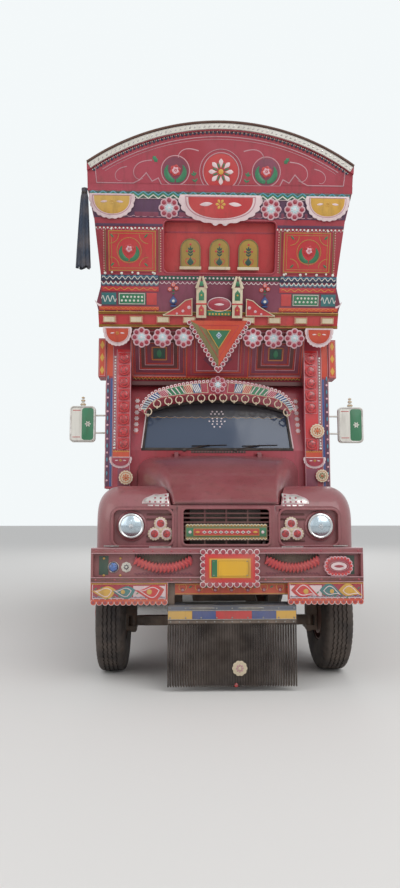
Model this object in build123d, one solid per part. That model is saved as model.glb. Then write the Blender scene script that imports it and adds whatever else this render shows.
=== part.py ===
from build123d import *
import math
import os

# A bonneted load carrier with a tall painted crown over its cab.
# Millimetres. +Z is up, the truck faces -Y, and the origin is on the ground
# under the middle of the whole truck. Depths are counted back from the
# bumper's front face, and at(depth) turns them into Y.

# Overall
board_thick = 20.0
load_back = 7500.0
gate_gap = 6.0
gate_thick = 55.0
tail_depth = load_back + gate_gap + gate_thick
bumper_face = -(tail_depth - board_thick) / 2
seat_gap = 0.3
moving_gap = 8.0

# Wheels
tyre_r = 510.0
tyre_w = 250.0
bead_r = 254.0
front_axle_depth = 820.0
wheelbase = 4240.0
rear_axle_depth = front_axle_depth + wheelbase
front_tyre_x = 970.0
rear_inner_x = 755.0
rear_outer_x = 1045.0
rim_w = 190.0
rim_t = 9.0
hub_r = 88.0
drum_r = 205.0
spindle_r = 32.0
king_pin_x = 800.0
king_pin_r = 22.0
front_disc_x = 1075.0
rear_disc_x = (rear_inner_x + rear_outer_x) / 2
disc_t = 12.0
stud_circle_r = 165.0

# Chassis
rail_outer_x = 430.0
rail_w = 70.0
rail_t = 10.0
rail_top = 980.0
rail_depth = 220.0
rail_bottom = rail_top - rail_depth
rail_start = 120.0
rail_end = 7450.0
cross_member_w = 90.0
beam_top = 470.0
beam_h = 85.0
beam_w = 70.0
axle_tube_r = 62.0
diff_r = 185.0

# Front end
bumper_half = 1090.0
bumper_bottom = 848.0
bumper_top = 1117.0
bumper_thick = 120.0
nose_depth = 150.0
nose_half = 400.0
nose_bottom = 1105.0
nose_top = 1460.0
wing_outer_x = 1085.0
wing_top = 1630.0
wing_front = 165.0
wing_back = 1380.0
wing_skin = 22.0
wing_round = 190.0
arch_r = 625.0
lamp_x = 785.0
lamp_z = 1290.0
lamp_r = 98.0
recess_inner_x = 440.0
recess_outer_x = 940.0
recess_bottom = 1125.0
recess_top = 1430.0
recess_deep = 45.0
bonnet_skin = 18.0
bonnet_front = 190.0
bonnet_back = 1362.0

# Cab
cab_half = 1100.0
cab_front = 1380.0
cab_back = 2750.0
cab_floor = 1060.0
cab_roof = 2720.0
cab_wall = 40.0
screen_foot_z = 2030.0
screen_lean = 180.0
door_front = 1640.0
door_back = 2520.0
door_bottom = 1180.0
door_top = 2600.0
sill_z = 1930.0
door_gap = 7.0

# Columns beside the windscreen
column_inner_x = 885.0
column_outer_x = 1140.0
column_front = cab_front - 55.0
column_back = cab_front + 180.0
column_foot = 1640.0
column_top = 3235.0

# Crown
crown_foot_z = 3240.0
crown_foot_depth = 1140.0
crown_lean = math.radians(17.0)
crown_thick = 40.0
cornice_top_z = 3392.0
shelf_top_z = 3725.0
panel_top_z = 4237.0
spring_z = 4720.0
apex_z = 5078.0
cornice_half = 1195.0
shelf_half = 1168.0
panel_half = 1222.0
arch_half = 1278.0
crown_floor_top = 2760.0
soffit_foot_depth = column_front + 160.0
soffit_top_depth = column_front - 140.0

# Load body
cab_clearance = 100.0
load_front_depth = cab_back + cab_clearance
load_half = 1165.0
load_wall = 60.0
floor_bottom = 1160.0
floor_top = 1250.0
wall_top = 3300.0
post_w = 100.0
post_proud = 40.0
rear_post_w = 70.0
deck_thick = 12.0
gate_top = 2150.0


def at(depth):
    """Y of a place that lies this far behind the bumper's front face."""
    return bumper_face + depth


def block(x0, x1, d0, d1, z0, z1):
    """Box from its two corners, with depths counted back from the bumper."""
    middle = Pos((x0 + x1) / 2, at((d0 + d1) / 2), (z0 + z1) / 2)
    return middle * Box(x1 - x0, d1 - d0, z1 - z0)


def bar_x(x0, x1, depth, z, r):
    """Round bar along X."""
    return Pos((x0 + x1) / 2, at(depth), z) * Rot(0, 90, 0) * Cylinder(r, x1 - x0)


def bar_y(x, d0, d1, z, r):
    """Round bar along Y."""
    return Pos(x, at((d0 + d1) / 2), z) * Rot(90, 0, 0) * Cylinder(r, d1 - d0)


def bar_z(x, depth, z0, z1, r):
    """Upright round bar."""
    return Pos(x, at(depth), (z0 + z1) / 2) * Cylinder(r, z1 - z0)


def side_plate(points, x0, x1):
    """Outline of (depth, height) points, carried across from x0 to x1."""
    flat = Plane(origin=(x0, 0, 0), x_dir=(0, 1, 0), z_dir=(1, 0, 0))
    outline = make_face(Polyline(*[(at(d), z) for d, z in points], close=True))
    return extrude(flat * outline, x1 - x0)


def front_plate(face, d0, d1):
    """Flat face of (x, height), carried back from depth d0 to d1."""
    upright = Plane(origin=(0, at(d0), 0), x_dir=(1, 0, 0), z_dir=(0, -1, 0))
    return extrude(upright * face, -(d1 - d0))


def turned(points, x, depth, z):
    """Section of (radius, offset along X) points, turned about an axle."""
    ring = make_face(Polyline(*points, close=True))
    round_z = revolve(Plane.XZ * ring, Axis.Z, 360)
    return Pos(x, at(depth), z) * Rot(0, 90, 0) * round_z


def mirrored(shape):
    """The same piece on the other side of the truck."""
    return mirror(shape, Plane.YZ)


def fused(shapes):
    """One solid from pieces that meet."""
    whole = shapes[0]
    for piece in shapes[1:]:
        whole = whole + piece
    return whole


def save(name, *shapes):
    """Write one node with all the solids of these shapes."""
    solids = [solid for shape in shapes for solid in shape.solids()]
    export_step(Compound(solids), f"parts/{name}.step")


def crown_depth(z):
    """Depth of the crown's leaning face at this height."""
    return crown_foot_depth - (z - crown_foot_z) * math.tan(crown_lean)


def leaning_plane(foot_depth, foot_z, lean):
    """Plane that leans forward from its foot, its Z pointing out of the face."""
    out = (0, -math.cos(lean), -math.sin(lean))
    return Plane(origin=(0, at(foot_depth), foot_z), x_dir=(1, 0, 0), z_dir=out)


def raised(plane, face, proud0, proud1):
    """Face drawn as (x, distance up the plane), from one depth to another."""
    return extrude(plane.offset(proud0) * face, proud1 - proud0)


def up_face(z):
    """Distance from the crown's foot to this height, measured along its face."""
    return (z - crown_foot_z) / math.cos(crown_lean)


def crown_outline(rows):
    """Symmetric face between (height, half-width) rows, lowest first."""
    right = [(half, up_face(z)) for z, half in rows]
    left = [(-half, up_face(z)) for z, half in reversed(rows)]
    return make_face(Polyline(*right, *left, close=True))


def rosette(radius, thick, lobes=8):
    """Flower of round lobes about a middle disc, standing on its back."""
    lobe_r = radius * 0.34
    base = (Align.CENTER, Align.CENTER, Align.MIN)
    parts = [Cylinder(radius * 0.68, thick, align=base)]
    for i in range(lobes):
        turn = Rot(0, 0, 360 * i / lobes)
        parts.append(turn * Pos(radius - lobe_r, 0, 0) * Cylinder(lobe_r, thick, align=base))
    return fused(parts)


# Tyres and wheels

tyre_section = [
    (bead_r + seat_gap, -0.36 * tyre_w),
    (0.77 * tyre_r, -0.5 * tyre_w),
    (0.95 * tyre_r, -0.45 * tyre_w),
    (tyre_r, -0.36 * tyre_w),
    (tyre_r, 0.36 * tyre_w),
    (0.95 * tyre_r, 0.45 * tyre_w),
    (0.77 * tyre_r, 0.5 * tyre_w),
    (bead_r + seat_gap, 0.36 * tyre_w),
]


def rim_section(disc_offset):
    """Barrel with a coned disc that reaches its mounting face at disc_offset."""
    half = rim_w / 2
    inner = bead_r - rim_t
    side = math.copysign(1, disc_offset)
    root = side * (half - 30)
    return [
        (bead_r, -side * half),
        (bead_r, side * half),
        (inner, side * half),
        (inner - 2, root + side * disc_t),
        (stud_circle_r + 35, disc_offset),
        (spindle_r + 22, disc_offset),
        (spindle_r + 22, disc_offset - side * disc_t),
        (stud_circle_r + 30, disc_offset - side * disc_t),
        (inner, root),
        (inner, -side * half),
    ]


def hand_holes(x, depth, count=6):
    """Cutters for the holes through a wheel's disc."""
    hole = Pos(0, stud_circle_r + 52, 0) * Cylinder(20, 4 * rim_w)
    ring = [Rot(0, 0, 360 * i / count) * hole for i in range(count)]
    return Pos(x, at(depth), tyre_r) * Rot(0, 90, 0) * fused(ring)


front_tyre = turned(tyre_section, front_tyre_x, front_axle_depth, tyre_r)
save("front_tyre_left", front_tyre)
save("front_tyre_right", mirrored(front_tyre))

rear_tyres = [turned(tyre_section, x, rear_axle_depth, tyre_r) for x in (rear_inner_x, rear_outer_x)]
save("rear_tyres_left", *rear_tyres)
save("rear_tyres_right", *[mirrored(tyre) for tyre in rear_tyres])

front_rim = turned(rim_section(front_disc_x - front_tyre_x), front_tyre_x, front_axle_depth, tyre_r)
front_rim -= hand_holes(front_tyre_x, front_axle_depth)
front_hub = bar_x(front_tyre_x - 95, front_disc_x + 60, front_axle_depth, tyre_r, hub_r)
front_hub += bar_x(front_tyre_x - 95, front_tyre_x + 15, front_axle_depth, tyre_r, drum_r)
spindle_end = front_disc_x + 20
front_hub -= bar_x(front_tyre_x - 200, spindle_end + 5, front_axle_depth, tyre_r, spindle_r + seat_gap)
front_wheel = front_rim + front_hub
save("front_wheel_left", front_wheel)
save("front_wheel_right", mirrored(front_wheel))

rear_rims = []
for rear_x, face_x in ((rear_inner_x, rear_disc_x), (rear_outer_x, rear_disc_x)):
    offset = face_x - rear_x
    rim = turned(rim_section(offset), rear_x, rear_axle_depth, tyre_r)
    rear_rims.append(rim - hand_holes(rear_x, rear_axle_depth))
rear_hub_start = rear_inner_x - 105
rear_hub = bar_x(rear_hub_start, rear_outer_x + 20, rear_axle_depth, tyre_r, hub_r)
rear_hub += bar_x(rear_hub_start, rear_inner_x + 40, rear_axle_depth, tyre_r, drum_r)
rear_spindle_end = rear_disc_x + 40
rear_hub -= bar_x(rear_hub_start - 50, rear_spindle_end + 5, rear_axle_depth, tyre_r, spindle_r + seat_gap)
rear_wheels = fused(rear_rims + [rear_hub])
save("rear_wheels_left", rear_wheels)
save("rear_wheels_right", mirrored(rear_wheels))

# Knuckles that steer, each with its king pin, spindle and steering arm

arm_length = 170.0
eye_r = king_pin_r + 20
eye_bottom = beam_top - beam_h
knuckle = bar_z(king_pin_x, front_axle_depth, eye_bottom - 60, tyre_r + 105, king_pin_r)
yoke_top = block(king_pin_x - 30, king_pin_x + 60, front_axle_depth - 45, front_axle_depth + 45,
                 beam_top + 3, tyre_r + 85)
knuckle += yoke_top
knuckle += block(king_pin_x - 30, king_pin_x + 60, front_axle_depth - 40, front_axle_depth + 40,
                 eye_bottom - 45, eye_bottom - 3)
knuckle += block(king_pin_x + eye_r + 4, king_pin_x + 66, front_axle_depth - 40,
                 front_axle_depth + 40, eye_bottom - 45, tyre_r + 85)
knuckle += bar_x(king_pin_x, spindle_end, front_axle_depth, tyre_r, spindle_r)
knuckle += block(king_pin_x - 28, king_pin_x + 10, front_axle_depth, front_axle_depth + arm_length,
                 eye_bottom - 40, eye_bottom - 12)
save("knuckle_left", knuckle)
save("knuckle_right", mirrored(knuckle))

# Axles

pin_hole_r = king_pin_r + seat_gap
beam_half = king_pin_x - 100
front_axle = block(-beam_half, beam_half, front_axle_depth - beam_w / 2,
                   front_axle_depth + beam_w / 2, beam_top - beam_h, beam_top)
for side in (-1, 1):
    inner, outer = sorted((side * (beam_half - 20), side * king_pin_x))
    front_axle += block(inner, outer, front_axle_depth - 25, front_axle_depth + 25,
                        beam_top - beam_h, beam_top)
    front_axle += bar_z(side * king_pin_x, front_axle_depth, beam_top - beam_h, beam_top, eye_r)
    front_axle -= bar_z(side * king_pin_x, front_axle_depth, 0, 2 * tyre_r, pin_hole_r)
save("front_axle", front_axle)

tube_half = rear_hub_start - seat_gap
rear_axle = bar_x(-tube_half, tube_half, rear_axle_depth, tyre_r, axle_tube_r)
rear_axle += bar_x(-rear_spindle_end, rear_spindle_end, rear_axle_depth, tyre_r, spindle_r)
rear_axle += Pos(0, at(rear_axle_depth), tyre_r) * Sphere(diff_r)
nose_shaft_end = rear_axle_depth - diff_r - 110
rear_axle += bar_y(0, nose_shaft_end, rear_axle_depth, tyre_r, 70)
save("rear_axle", rear_axle)

# Leaf springs under the rails, in arcs that rise to their hangers


def leaf_pack(middle_depth, seat_z, reach, rise, leaves):
    """Stacked leaves, the longest on top, curved up from the axle's seat."""
    leaf_t = 13.0
    radius = (reach * reach + rise * rise) / (2 * rise)
    parts = []
    for i in range(leaves):
        top = seat_z + leaf_t * (leaves - i)
        half = reach * (1 - 0.17 * i)
        lift = radius - math.sqrt(radius * radius - half * half)
        ends = [(at(middle_depth - half), top + lift), (at(middle_depth + half), top + lift)]
        upper = ThreePointArc(ends[0], (at(middle_depth), top), ends[1])
        down = [(y, z - leaf_t) for y, z in ends]
        lower = ThreePointArc(down[1], (at(middle_depth), top - leaf_t), down[0])
        edges = [upper, Line(ends[1], down[1]), lower, Line(down[0], ends[0])]
        flat = Plane(origin=(rail_outer_x - rail_w, 0, 0), x_dir=(0, 1, 0), z_dir=(1, 0, 0))
        parts.append(extrude(flat * make_face(edges), rail_w))
    return parts, seat_z + leaf_t * leaves + rise


def hangers(middle_depth, reach, eye_z):
    """Brackets from the rail down over both ends of a spring."""
    parts = []
    for end in (middle_depth - reach + 20, middle_depth + reach - 20):
        parts.append(block(rail_outer_x - rail_w, rail_outer_x, end - 35, end + 35,
                           eye_z - 25, rail_bottom))
    return parts


springs = []
spring_rows = [
    # axle depth, seat height, half length, rise, leaves
    (front_axle_depth, beam_top, 560.0, 130.0, 5),
    (rear_axle_depth, tyre_r + axle_tube_r, 640.0, 75.0, 5),
]
for depth, seat, reach, rise, leaves in spring_rows:
    pack, eye = leaf_pack(depth, seat, reach, rise, leaves)
    spring = fused(pack + hangers(depth, reach, eye))
    springs += [spring, mirrored(spring)]
save("leaf_springs", *springs)

# Chassis frame


def rail():
    """Channel with its open side inwards."""
    outer = block(rail_outer_x - rail_w, rail_outer_x, rail_start, rail_end, rail_bottom, rail_top)
    hollow = block(rail_outer_x - rail_w - 1, rail_outer_x - rail_t, rail_start - 1, rail_end + 1,
                   rail_bottom + rail_t, rail_top - rail_t)
    return outer - hollow


cross_depths = [240.0, 2050.0, 2650.0, 3900.0, 4500.0, 6000.0, 7360.0]
chassis = fused([rail(), mirrored(rail())])
for depth in cross_depths:
    reach = rail_outer_x - rail_t / 2
    chassis += block(-reach, reach, depth - cross_member_w / 2, depth + cross_member_w / 2,
                     rail_top - 0.5 * rail_depth, rail_top - rail_t / 2)
save("chassis_frame", chassis)

# Engine, gearbox and propeller shaft, as plain masses

engine_half = 270.0
engine = block(-engine_half, engine_half, 480, 1320, 640, 1330)
web_x = rail_outer_x - rail_t - seat_gap
engine += block(-web_x, web_x, 620, 700, rail_bottom + 40, rail_bottom + 110)
engine += block(-170, 170, 1320, 1440, 640, 1010)
gearbox_back = 1850.0
engine += block(-150, 150, 1430, gearbox_back, 660, 960)
shaft_r = 42.0
shaft_start = Vector(0, at(gearbox_back), 790)
shaft_end = Vector(0, at(nose_shaft_end - seat_gap), tyre_r)
shaft_run = shaft_end - shaft_start
shaft_plane = Plane(origin=shaft_start, z_dir=shaft_run)
engine += extrude(shaft_plane * Circle(shaft_r), shaft_run.length - 12)
save("engine_block", engine)

radiator = block(-300, 300, 300, 370, rail_top, 1425)
radiator += block(-rail_outer_x, rail_outer_x, 300, 370, rail_top, rail_top + 40)
save("radiator", radiator)

# Fuel tank on one side and a tool box on the other

tank_start = 2960.0
tank_length = 880.0
tank_r = 215.0
tank_x = 790.0
tank_z = 745.0
tank = bar_y(-tank_x, tank_start, tank_start + tank_length, tank_z, tank_r)
box = block(tank_x - tank_r, tank_x + tank_r, tank_start, tank_start + 700, tank_z - 180, tank_z + 190)
for end in (150.0, 550.0):
    place = tank_start + end
    tank += block(-tank_x, -rail_outer_x, place - 25, place + 25, tank_z + 60, tank_z + 140)
    box += block(rail_outer_x, tank_x, place - 25, place + 25, tank_z + 60, tank_z + 140)
save("fuel_tank", tank)
save("tool_box", box)

# Bumpers

bumper = block(-bumper_half, bumper_half, 0, bumper_thick - seat_gap, bumper_bottom, bumper_top)
bumper -= block(-bumper_half + 18, bumper_half - 18, -1, 50, bumper_bottom + 42, bumper_top - 42)
save("front_bumper", bumper)

rear_bar_half = load_half - 85
rear_bar = block(-rear_bar_half, rear_bar_half, rail_end + seat_gap, rail_end + 45,
                 rail_bottom - 60, rail_bottom + 90)
save("rear_bumper", rear_bar)

flap_inner_x = 480.0
flap_bottom = 668.0
scallop_r = 25.0
flap_deep = 12.0
flap_count = 13
flap_span = bumper_half - flap_inner_x
scallop_pitch = flap_span / flap_count
flap = block(flap_inner_x, bumper_half, 10, 10 + flap_deep, flap_bottom + scallop_r,
             bumper_bottom - seat_gap)
for i in range(flap_count):
    scallop_x = flap_inner_x + scallop_pitch * (i + 0.5)
    flap += bar_y(scallop_x, 10, 10 + flap_deep, flap_bottom + scallop_r, scallop_r)
save("bumper_flaps", flap, mirrored(flap))

board_x = 16.0
board_z = 960.0
board_w = 430.0
board_h = 255.0
board_lobe_r = 24.0
board = block(board_x - board_w / 2, board_x + board_w / 2, -board_thick, -seat_gap,
              board_z - board_h / 2, board_z + board_h / 2)
lobes_across = 9
lobes_up = 5
for i in range(lobes_across):
    lobe_x = board_x + board_w * (i / (lobes_across - 1) - 0.5)
    for lobe_z in (board_z - board_h / 2, board_z + board_h / 2):
        board += bar_y(lobe_x, -board_thick, -seat_gap, lobe_z, board_lobe_r)
for i in range(1, lobes_up):
    lobe_z = board_z + board_h * (i / lobes_up - 0.5)
    for lobe_x in (board_x - board_w / 2, board_x + board_w / 2):
        board += bar_y(lobe_x, -board_thick, -seat_gap, lobe_z, board_lobe_r)
save("number_board", board)

# Footboard under the bumper, with its posts, front board and colour strip

step_x = 33.0
step_half = 512.0
step_top = 665.0
step_back = 220.0
step_thick = 30.0
strip_foot = 555.0
strip_thick = 16.0
step_post_w = 52.0
step_post_depth = 60.0
centre_board_bottom = 742.0
centre_board_top = bumper_bottom - 10
step = block(step_x - step_half, step_x + step_half, 0, step_back, step_top - step_thick, step_top)
step += block(step_x - step_half, step_x + step_half, 0, strip_thick, strip_foot, step_top)
post_reach = step_half - step_post_w / 2 - 1
for post_x in (step_x - post_reach, step_x + post_reach):
    step += block(post_x - step_post_w / 2, post_x + step_post_w / 2, step_post_depth,
                  step_post_depth + 40, step_top, bumper_bottom - seat_gap)
board_reach = step_half - step_post_w - 1
step += block(step_x - board_reach, step_x + board_reach, step_post_depth + 4,
              step_post_depth + 20, centre_board_bottom, centre_board_top)
save("footboard", step)

strip_bottom = 40.0
strip_w = 12.0
strip_count = 50
apron_top = strip_foot - seat_gap
apron = block(step_x - step_half, step_x + step_half, 4, 10, apron_top - 30, apron_top)
strip_pitch = (2 * step_half - strip_w) / (strip_count - 1)
for i in range(strip_count):
    strip_x = step_x - step_half + strip_pitch * i
    apron += block(strip_x, strip_x + strip_w, 4, 10, strip_bottom, apron_top - 30)
medallion_x = step_x + 57
medallion_z = 183.0
medallion_r = 62.0
apron += bar_y(medallion_x, -6, 5, medallion_z, medallion_r)
save("strip_apron", apron)

# Wings, hollow under their skin and open over the wheels


def wing_profile(inset):
    """Side outline of a wing, its skin drawn in by inset."""
    front = at(wing_front + inset)
    back = at(wing_back - seat_gap - inset)
    top = wing_top - inset
    low = 820.0
    rounding = 300.0 - inset
    lines = [
        Line((back, low), (back, top - rounding)),
        ThreePointArc((back, top - rounding), (back - 0.293 * rounding, top - 0.293 * rounding),
                      (back - rounding, top)),
        Line((back - rounding, top), (front + rounding, top)),
        ThreePointArc((front + rounding, top), (front + 0.293 * rounding, top - 0.293 * rounding),
                      (front, top - rounding)),
        Line((front, top - rounding), (front, low)),
        Line((front, low), (back, low)),
    ]
    return make_face(lines)


def wing_block(inset):
    """Wing's whole form, rounded along its outer shoulder."""
    flat = Plane(origin=(nose_half + seat_gap + inset, 0, 0), x_dir=(0, 1, 0), z_dir=(1, 0, 0))
    form = extrude(flat * wing_profile(inset), wing_outer_x - nose_half - seat_gap - 2 * inset)
    outer_x = wing_outer_x - inset
    rim = [edge for edge in form.edges()
           if abs(edge.center().X - outer_x) < 1 and edge.center().Z > 900]
    return fillet(rim, wing_round - inset)


def lamp_recess(grow, d0, d1):
    """Sunken panel round a headlamp, with its outer corners rounded."""
    x0 = recess_inner_x - grow
    x1 = recess_outer_x + grow
    form = block(x0, x1, d0, d1, recess_bottom - grow, recess_top + grow)
    corners = [edge for edge in form.edges().filter_by(Axis.Y) if edge.center().X > lamp_x]
    return fillet(corners, 70 + grow)


# Bonnet rows: depth, half-width, edge height, top height, shoulder radius
bonnet_rows = [
    (bonnet_front, 440.0, 1468.0, 1512.0, 16.0),
    (600.0, 560.0, 1512.0, 1760.0, 105.0),
    (bonnet_back, 815.0, 1602.0, 1975.0, 165.0),
]
bonnet_camber = 22.0
channel_front_gap = 20.0
channel_back_gap = 36.0


def bonnet_section(depth, half, edge_z, top_z, r):
    """Cross-section with rounded shoulders and a slightly crowned top."""
    knee = r * (1 - math.sqrt(0.5))
    shoulder = top_z - bonnet_camber
    lines = [
        Line((-half, edge_z), (half, edge_z)),
        Line((half, edge_z), (half, shoulder - r)),
        ThreePointArc((half, shoulder - r), (half - knee, shoulder - knee), (half - r, shoulder)),
        ThreePointArc((half - r, shoulder), (0, top_z), (r - half, shoulder)),
        ThreePointArc((r - half, shoulder), (knee - half, shoulder - knee), (-half, shoulder - r)),
        Line((-half, shoulder - r), (-half, edge_z)),
    ]
    upright = Plane(origin=(0, at(depth), 0), x_dir=(1, 0, 0), z_dir=(0, -1, 0))
    return upright * make_face(lines)


def bonnet_hollow():
    """Space under the bonnet's skin, open below and behind."""
    sections = []
    for i, (depth, half, edge_z, top_z, r) in enumerate(bonnet_rows):
        start = bonnet_skin if i == 0 else 0
        end = 5 if i == len(bonnet_rows) - 1 else 0
        inner_r = max(r - bonnet_skin, 8)
        sections.append(bonnet_section(depth + start + end, half - bonnet_skin, edge_z - 20,
                                       top_z - bonnet_skin, inner_r))
    return loft(sections)


def bonnet_edge(depth):
    """Half-width and height of the channel's inner corner at this depth."""
    first, last = bonnet_rows[0], bonnet_rows[-1]
    share = (depth - first[0]) / (last[0] - first[0])
    gap = channel_front_gap + share * (channel_back_gap - channel_front_gap)
    half = first[1] + share * (last[1] - first[1]) + gap
    return half, first[2] + share * (last[2] - first[2]) - moving_gap


def beside_bonnet(outline):
    """Section given by the channel's corner, carried back along the bonnet."""
    faces = []
    for depth in (100.0, 1450.0):
        upright = Plane(origin=(0, at(depth), 0), x_dir=(1, 0, 0), z_dir=(0, -1, 0))
        faces.append(upright * make_face(Polyline(*outline(*bonnet_edge(depth)), close=True)))
    return loft(faces, ruled=True)


def room_outline(half, low):
    """Everything above the channel and inside it, where the bonnet swings."""
    return [(-half, low), (half, low), (half, 2300), (-half, 2300)]


def channel_outline(half, low):
    """Ledge under the bonnet's edge, and the upright wall beside it."""
    ledge = half - 90
    wall = half + wing_skin
    below = low - wing_skin
    return [(ledge, below), (wall, below), (wall, wing_top), (half, wing_top), (half, low), (ledge, low)]


wing = wing_block(0) - wing_block(wing_skin)
wing += lamp_recess(24, wing_front + 10, wing_front + recess_deep + 20)
wing -= lamp_recess(0, wing_front - 50, wing_front + recess_deep)
wing -= block(0, 2 * wing_outer_x, 0, 2 * wing_back, 0, 940)
wing -= block(0, rail_outer_x + 15, 0, 2 * wing_back, 0, rail_top + 50)
wing -= beside_bonnet(room_outline)
wing += beside_bonnet(channel_outline) & wing_block(0)
wing -= bar_x(0, 2 * wing_outer_x, front_axle_depth, tyre_r, arch_r)
recess_face = wing_front + recess_deep
trefoil_r = 56.0
trefoil_discs = [
    # x, height
    (544.0, 1311.0),
    (494.0, 1226.0),
    (594.0, 1226.0),
]
for x, z in trefoil_discs:
    wing += bar_y(x, recess_face - 22, recess_face + 1, z, trefoil_r)
save("wings", wing, mirrored(wing))

# Nose panel between the wings, with the grille's opening

grille_half = 356.0
grille_bottom = 1140.0
grille_top = 1430.0
nose_thick = 30.0
nose_foot_w = 36.0
nose = block(-nose_half, nose_half, nose_depth, nose_depth + nose_thick, nose_bottom, nose_top)
nose -= block(-grille_half, grille_half, nose_depth - 1, nose_depth + nose_thick + 1,
              grille_bottom, grille_top)
for side in (-1, 1):
    foot_x = side * (nose_half - nose_foot_w / 2 - seat_gap)
    nose += block(foot_x - nose_foot_w / 2, foot_x + nose_foot_w / 2, nose_depth + 5,
                  nose_depth + nose_thick, rail_top + seat_gap, nose_bottom + 5)
save("nose_panel", nose)

grille_bar_t = 12.0
grille_bars = 7
grille_pitch = (grille_top - grille_bottom) / (grille_bars + 1)
grille_depth = nose_depth + 10
grille_reach = grille_half - seat_gap
grille = fused([block(x - 6, x + 6, grille_depth + 4, grille_depth + 18, grille_bottom + seat_gap,
                      grille_top - seat_gap) for x in (-grille_half / 2, 0, grille_half / 2)])
for i in range(grille_bars):
    bar_z0 = grille_bottom + grille_pitch * (i + 1)
    grille += block(-grille_reach, grille_reach, grille_depth, grille_depth + 14,
                    bar_z0 - grille_bar_t / 2, bar_z0 + grille_bar_t / 2)
sign_half = 338.0
sign_bottom = 1182.0
sign_top = 1300.0
grille += block(-sign_half, sign_half, grille_depth - 12, grille_depth + 2, sign_bottom, sign_top)
save("grille", grille)

lamp_dome_r = 190.0
lamp_back = wing_front + recess_deep - seat_gap
lamp_front = wing_front - 20
lamp = bar_y(lamp_x, lamp_front - 60, lamp_back, lamp_z, lamp_r)
lamp &= Pos(lamp_x, at(lamp_front + lamp_dome_r), lamp_z) * Sphere(lamp_dome_r)
save("headlamps", lamp, mirrored(lamp))

# Bonnet, hinged along its back edge

hinge_r = 9.0
lug_r = 16.0
bonnet_hinge_z = 1996.0
bonnet_hinge_depth = bonnet_back - 4
bonnet_hinge_x = 420.0
bonnet = loft([bonnet_section(*row) for row in bonnet_rows]) - bonnet_hollow()
hinge_fixed = []
for side in (-1, 1):
    x = side * bonnet_hinge_x
    lug = bar_x(x - 20, x + 20, bonnet_hinge_depth, bonnet_hinge_z, lug_r)
    lug += block(x - 20, x + 20, bonnet_hinge_depth - 60, bonnet_hinge_depth - 12, 1940,
                 bonnet_hinge_z)
    lug -= bar_x(x - 21, x + 21, bonnet_hinge_depth, bonnet_hinge_z, hinge_r + seat_gap)
    bonnet += lug
    pin = bar_x(x - 40, x + 40, bonnet_hinge_depth, bonnet_hinge_z, hinge_r)
    for end in (-34, 34):
        pin += block(x + end - 6, x + end + 6, bonnet_hinge_depth - 9, cab_front + 5,
                     bonnet_hinge_z - 9, bonnet_hinge_z + 9)
    hinge_fixed.append(pin)
save("bonnet", bonnet)

# Cab shell, hollow, with its windscreen and door openings


def screen_outline(grow):
    """Windscreen's outline as (x, height), straight below and arched above."""
    foot_half = 762 + grow
    top_half = 722 + grow
    foot = screen_foot_z + 12 - grow
    corner = 2440 + grow
    edges = [
        Line((-foot_half, foot), (foot_half, foot)),
        Line((foot_half, foot), (top_half, corner)),
        ThreePointArc((top_half, corner), (0, 2558 + grow), (-top_half, corner)),
        Line((-top_half, corner), (-foot_half, foot)),
    ]
    return make_face(edges)


def cab_outline(inset):
    """Side outline of the cab, its front leaning back above the scuttle."""
    return [
        (cab_front + inset, cab_floor + inset),
        (cab_front + inset, screen_foot_z),
        (cab_front + screen_lean + inset, cab_roof - inset),
        (cab_back - inset, cab_roof - inset),
        (cab_back - inset, cab_floor + inset),
    ]


def screen_depth(z):
    """Depth of the cab's leaning front at this height."""
    return cab_front + screen_lean * (z - screen_foot_z) / (cab_roof - screen_foot_z)


cab = side_plate(cab_outline(0), -cab_half, cab_half)
cab -= side_plate(cab_outline(cab_wall), cab_wall - cab_half, cab_half - cab_wall)
cab -= front_plate(screen_outline(0), cab_front - 100, cab_front + screen_lean + 200)
cab -= block(-2 * cab_half, 2 * cab_half, door_front, door_back, door_bottom, door_top)
for depth in (cab_front + 60, cab_back - 120):
    for side in (-1, 1):
        mid = side * (rail_outer_x - rail_w / 2)
        cab += block(mid - 30, mid + 30, depth - 40, depth + 40, rail_top + seat_gap,
                     cab_floor + 5)
cab = fused([cab] + hinge_fixed)

# Doors, each hung on two pins at its front edge

door_hinge_x = cab_half + 14
door_hinge_depth = door_front - 4
door_hinges = [1450.0, 1850.0]
door = block(cab_half - cab_wall, cab_half, door_front + door_gap, door_back - door_gap,
             door_bottom + door_gap, door_top - door_gap)
door -= block(0, 2 * cab_half, door_front + 90, door_back - 80, sill_z, door_top - 80)
door_pins = []
for z in door_hinges:
    lug = bar_z(door_hinge_x, door_hinge_depth, z - 30, z + 30, 13)
    lug += block(door_hinge_x - 14, door_hinge_x + 2, door_hinge_depth + 9, door_front + 90,
                 z - 30, z + 30)
    lug -= bar_z(door_hinge_x, door_hinge_depth, z - 31, z + 31, 7 + seat_gap)
    door += lug
    pin = bar_z(door_hinge_x, door_hinge_depth, z - 50, z + 50, 7)
    for end in (-43, 43):
        pin += block(cab_half - 5, door_hinge_x + 7, door_hinge_depth - 40,
                     door_hinge_depth + 7, z + end - 7, z + end + 7)
    door_pins.append(pin)
cab = fused([cab] + door_pins + [mirrored(pin) for pin in door_pins])
handle = block(cab_half - 1, cab_half + 30, door_back - 150, door_back - 50, 1880, 1900)
door += handle
save("door_left", door)
save("door_right", mirrored(door))
save("cab_shell", cab)

glass_t = 8.0
glass_in = 12.0
glass_slab = side_plate([
    (screen_depth(screen_foot_z) + glass_in, screen_foot_z),
    (screen_depth(cab_roof) + glass_in, cab_roof),
    (screen_depth(cab_roof) + glass_in + glass_t, cab_roof),
    (screen_depth(screen_foot_z) + glass_in + glass_t, screen_foot_z),
], -cab_half, cab_half)
glass = front_plate(screen_outline(-seat_gap), cab_front - 100, cab_front + screen_lean + 200)
save("windscreen", glass & glass_slab)

# Inside the cab

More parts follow.
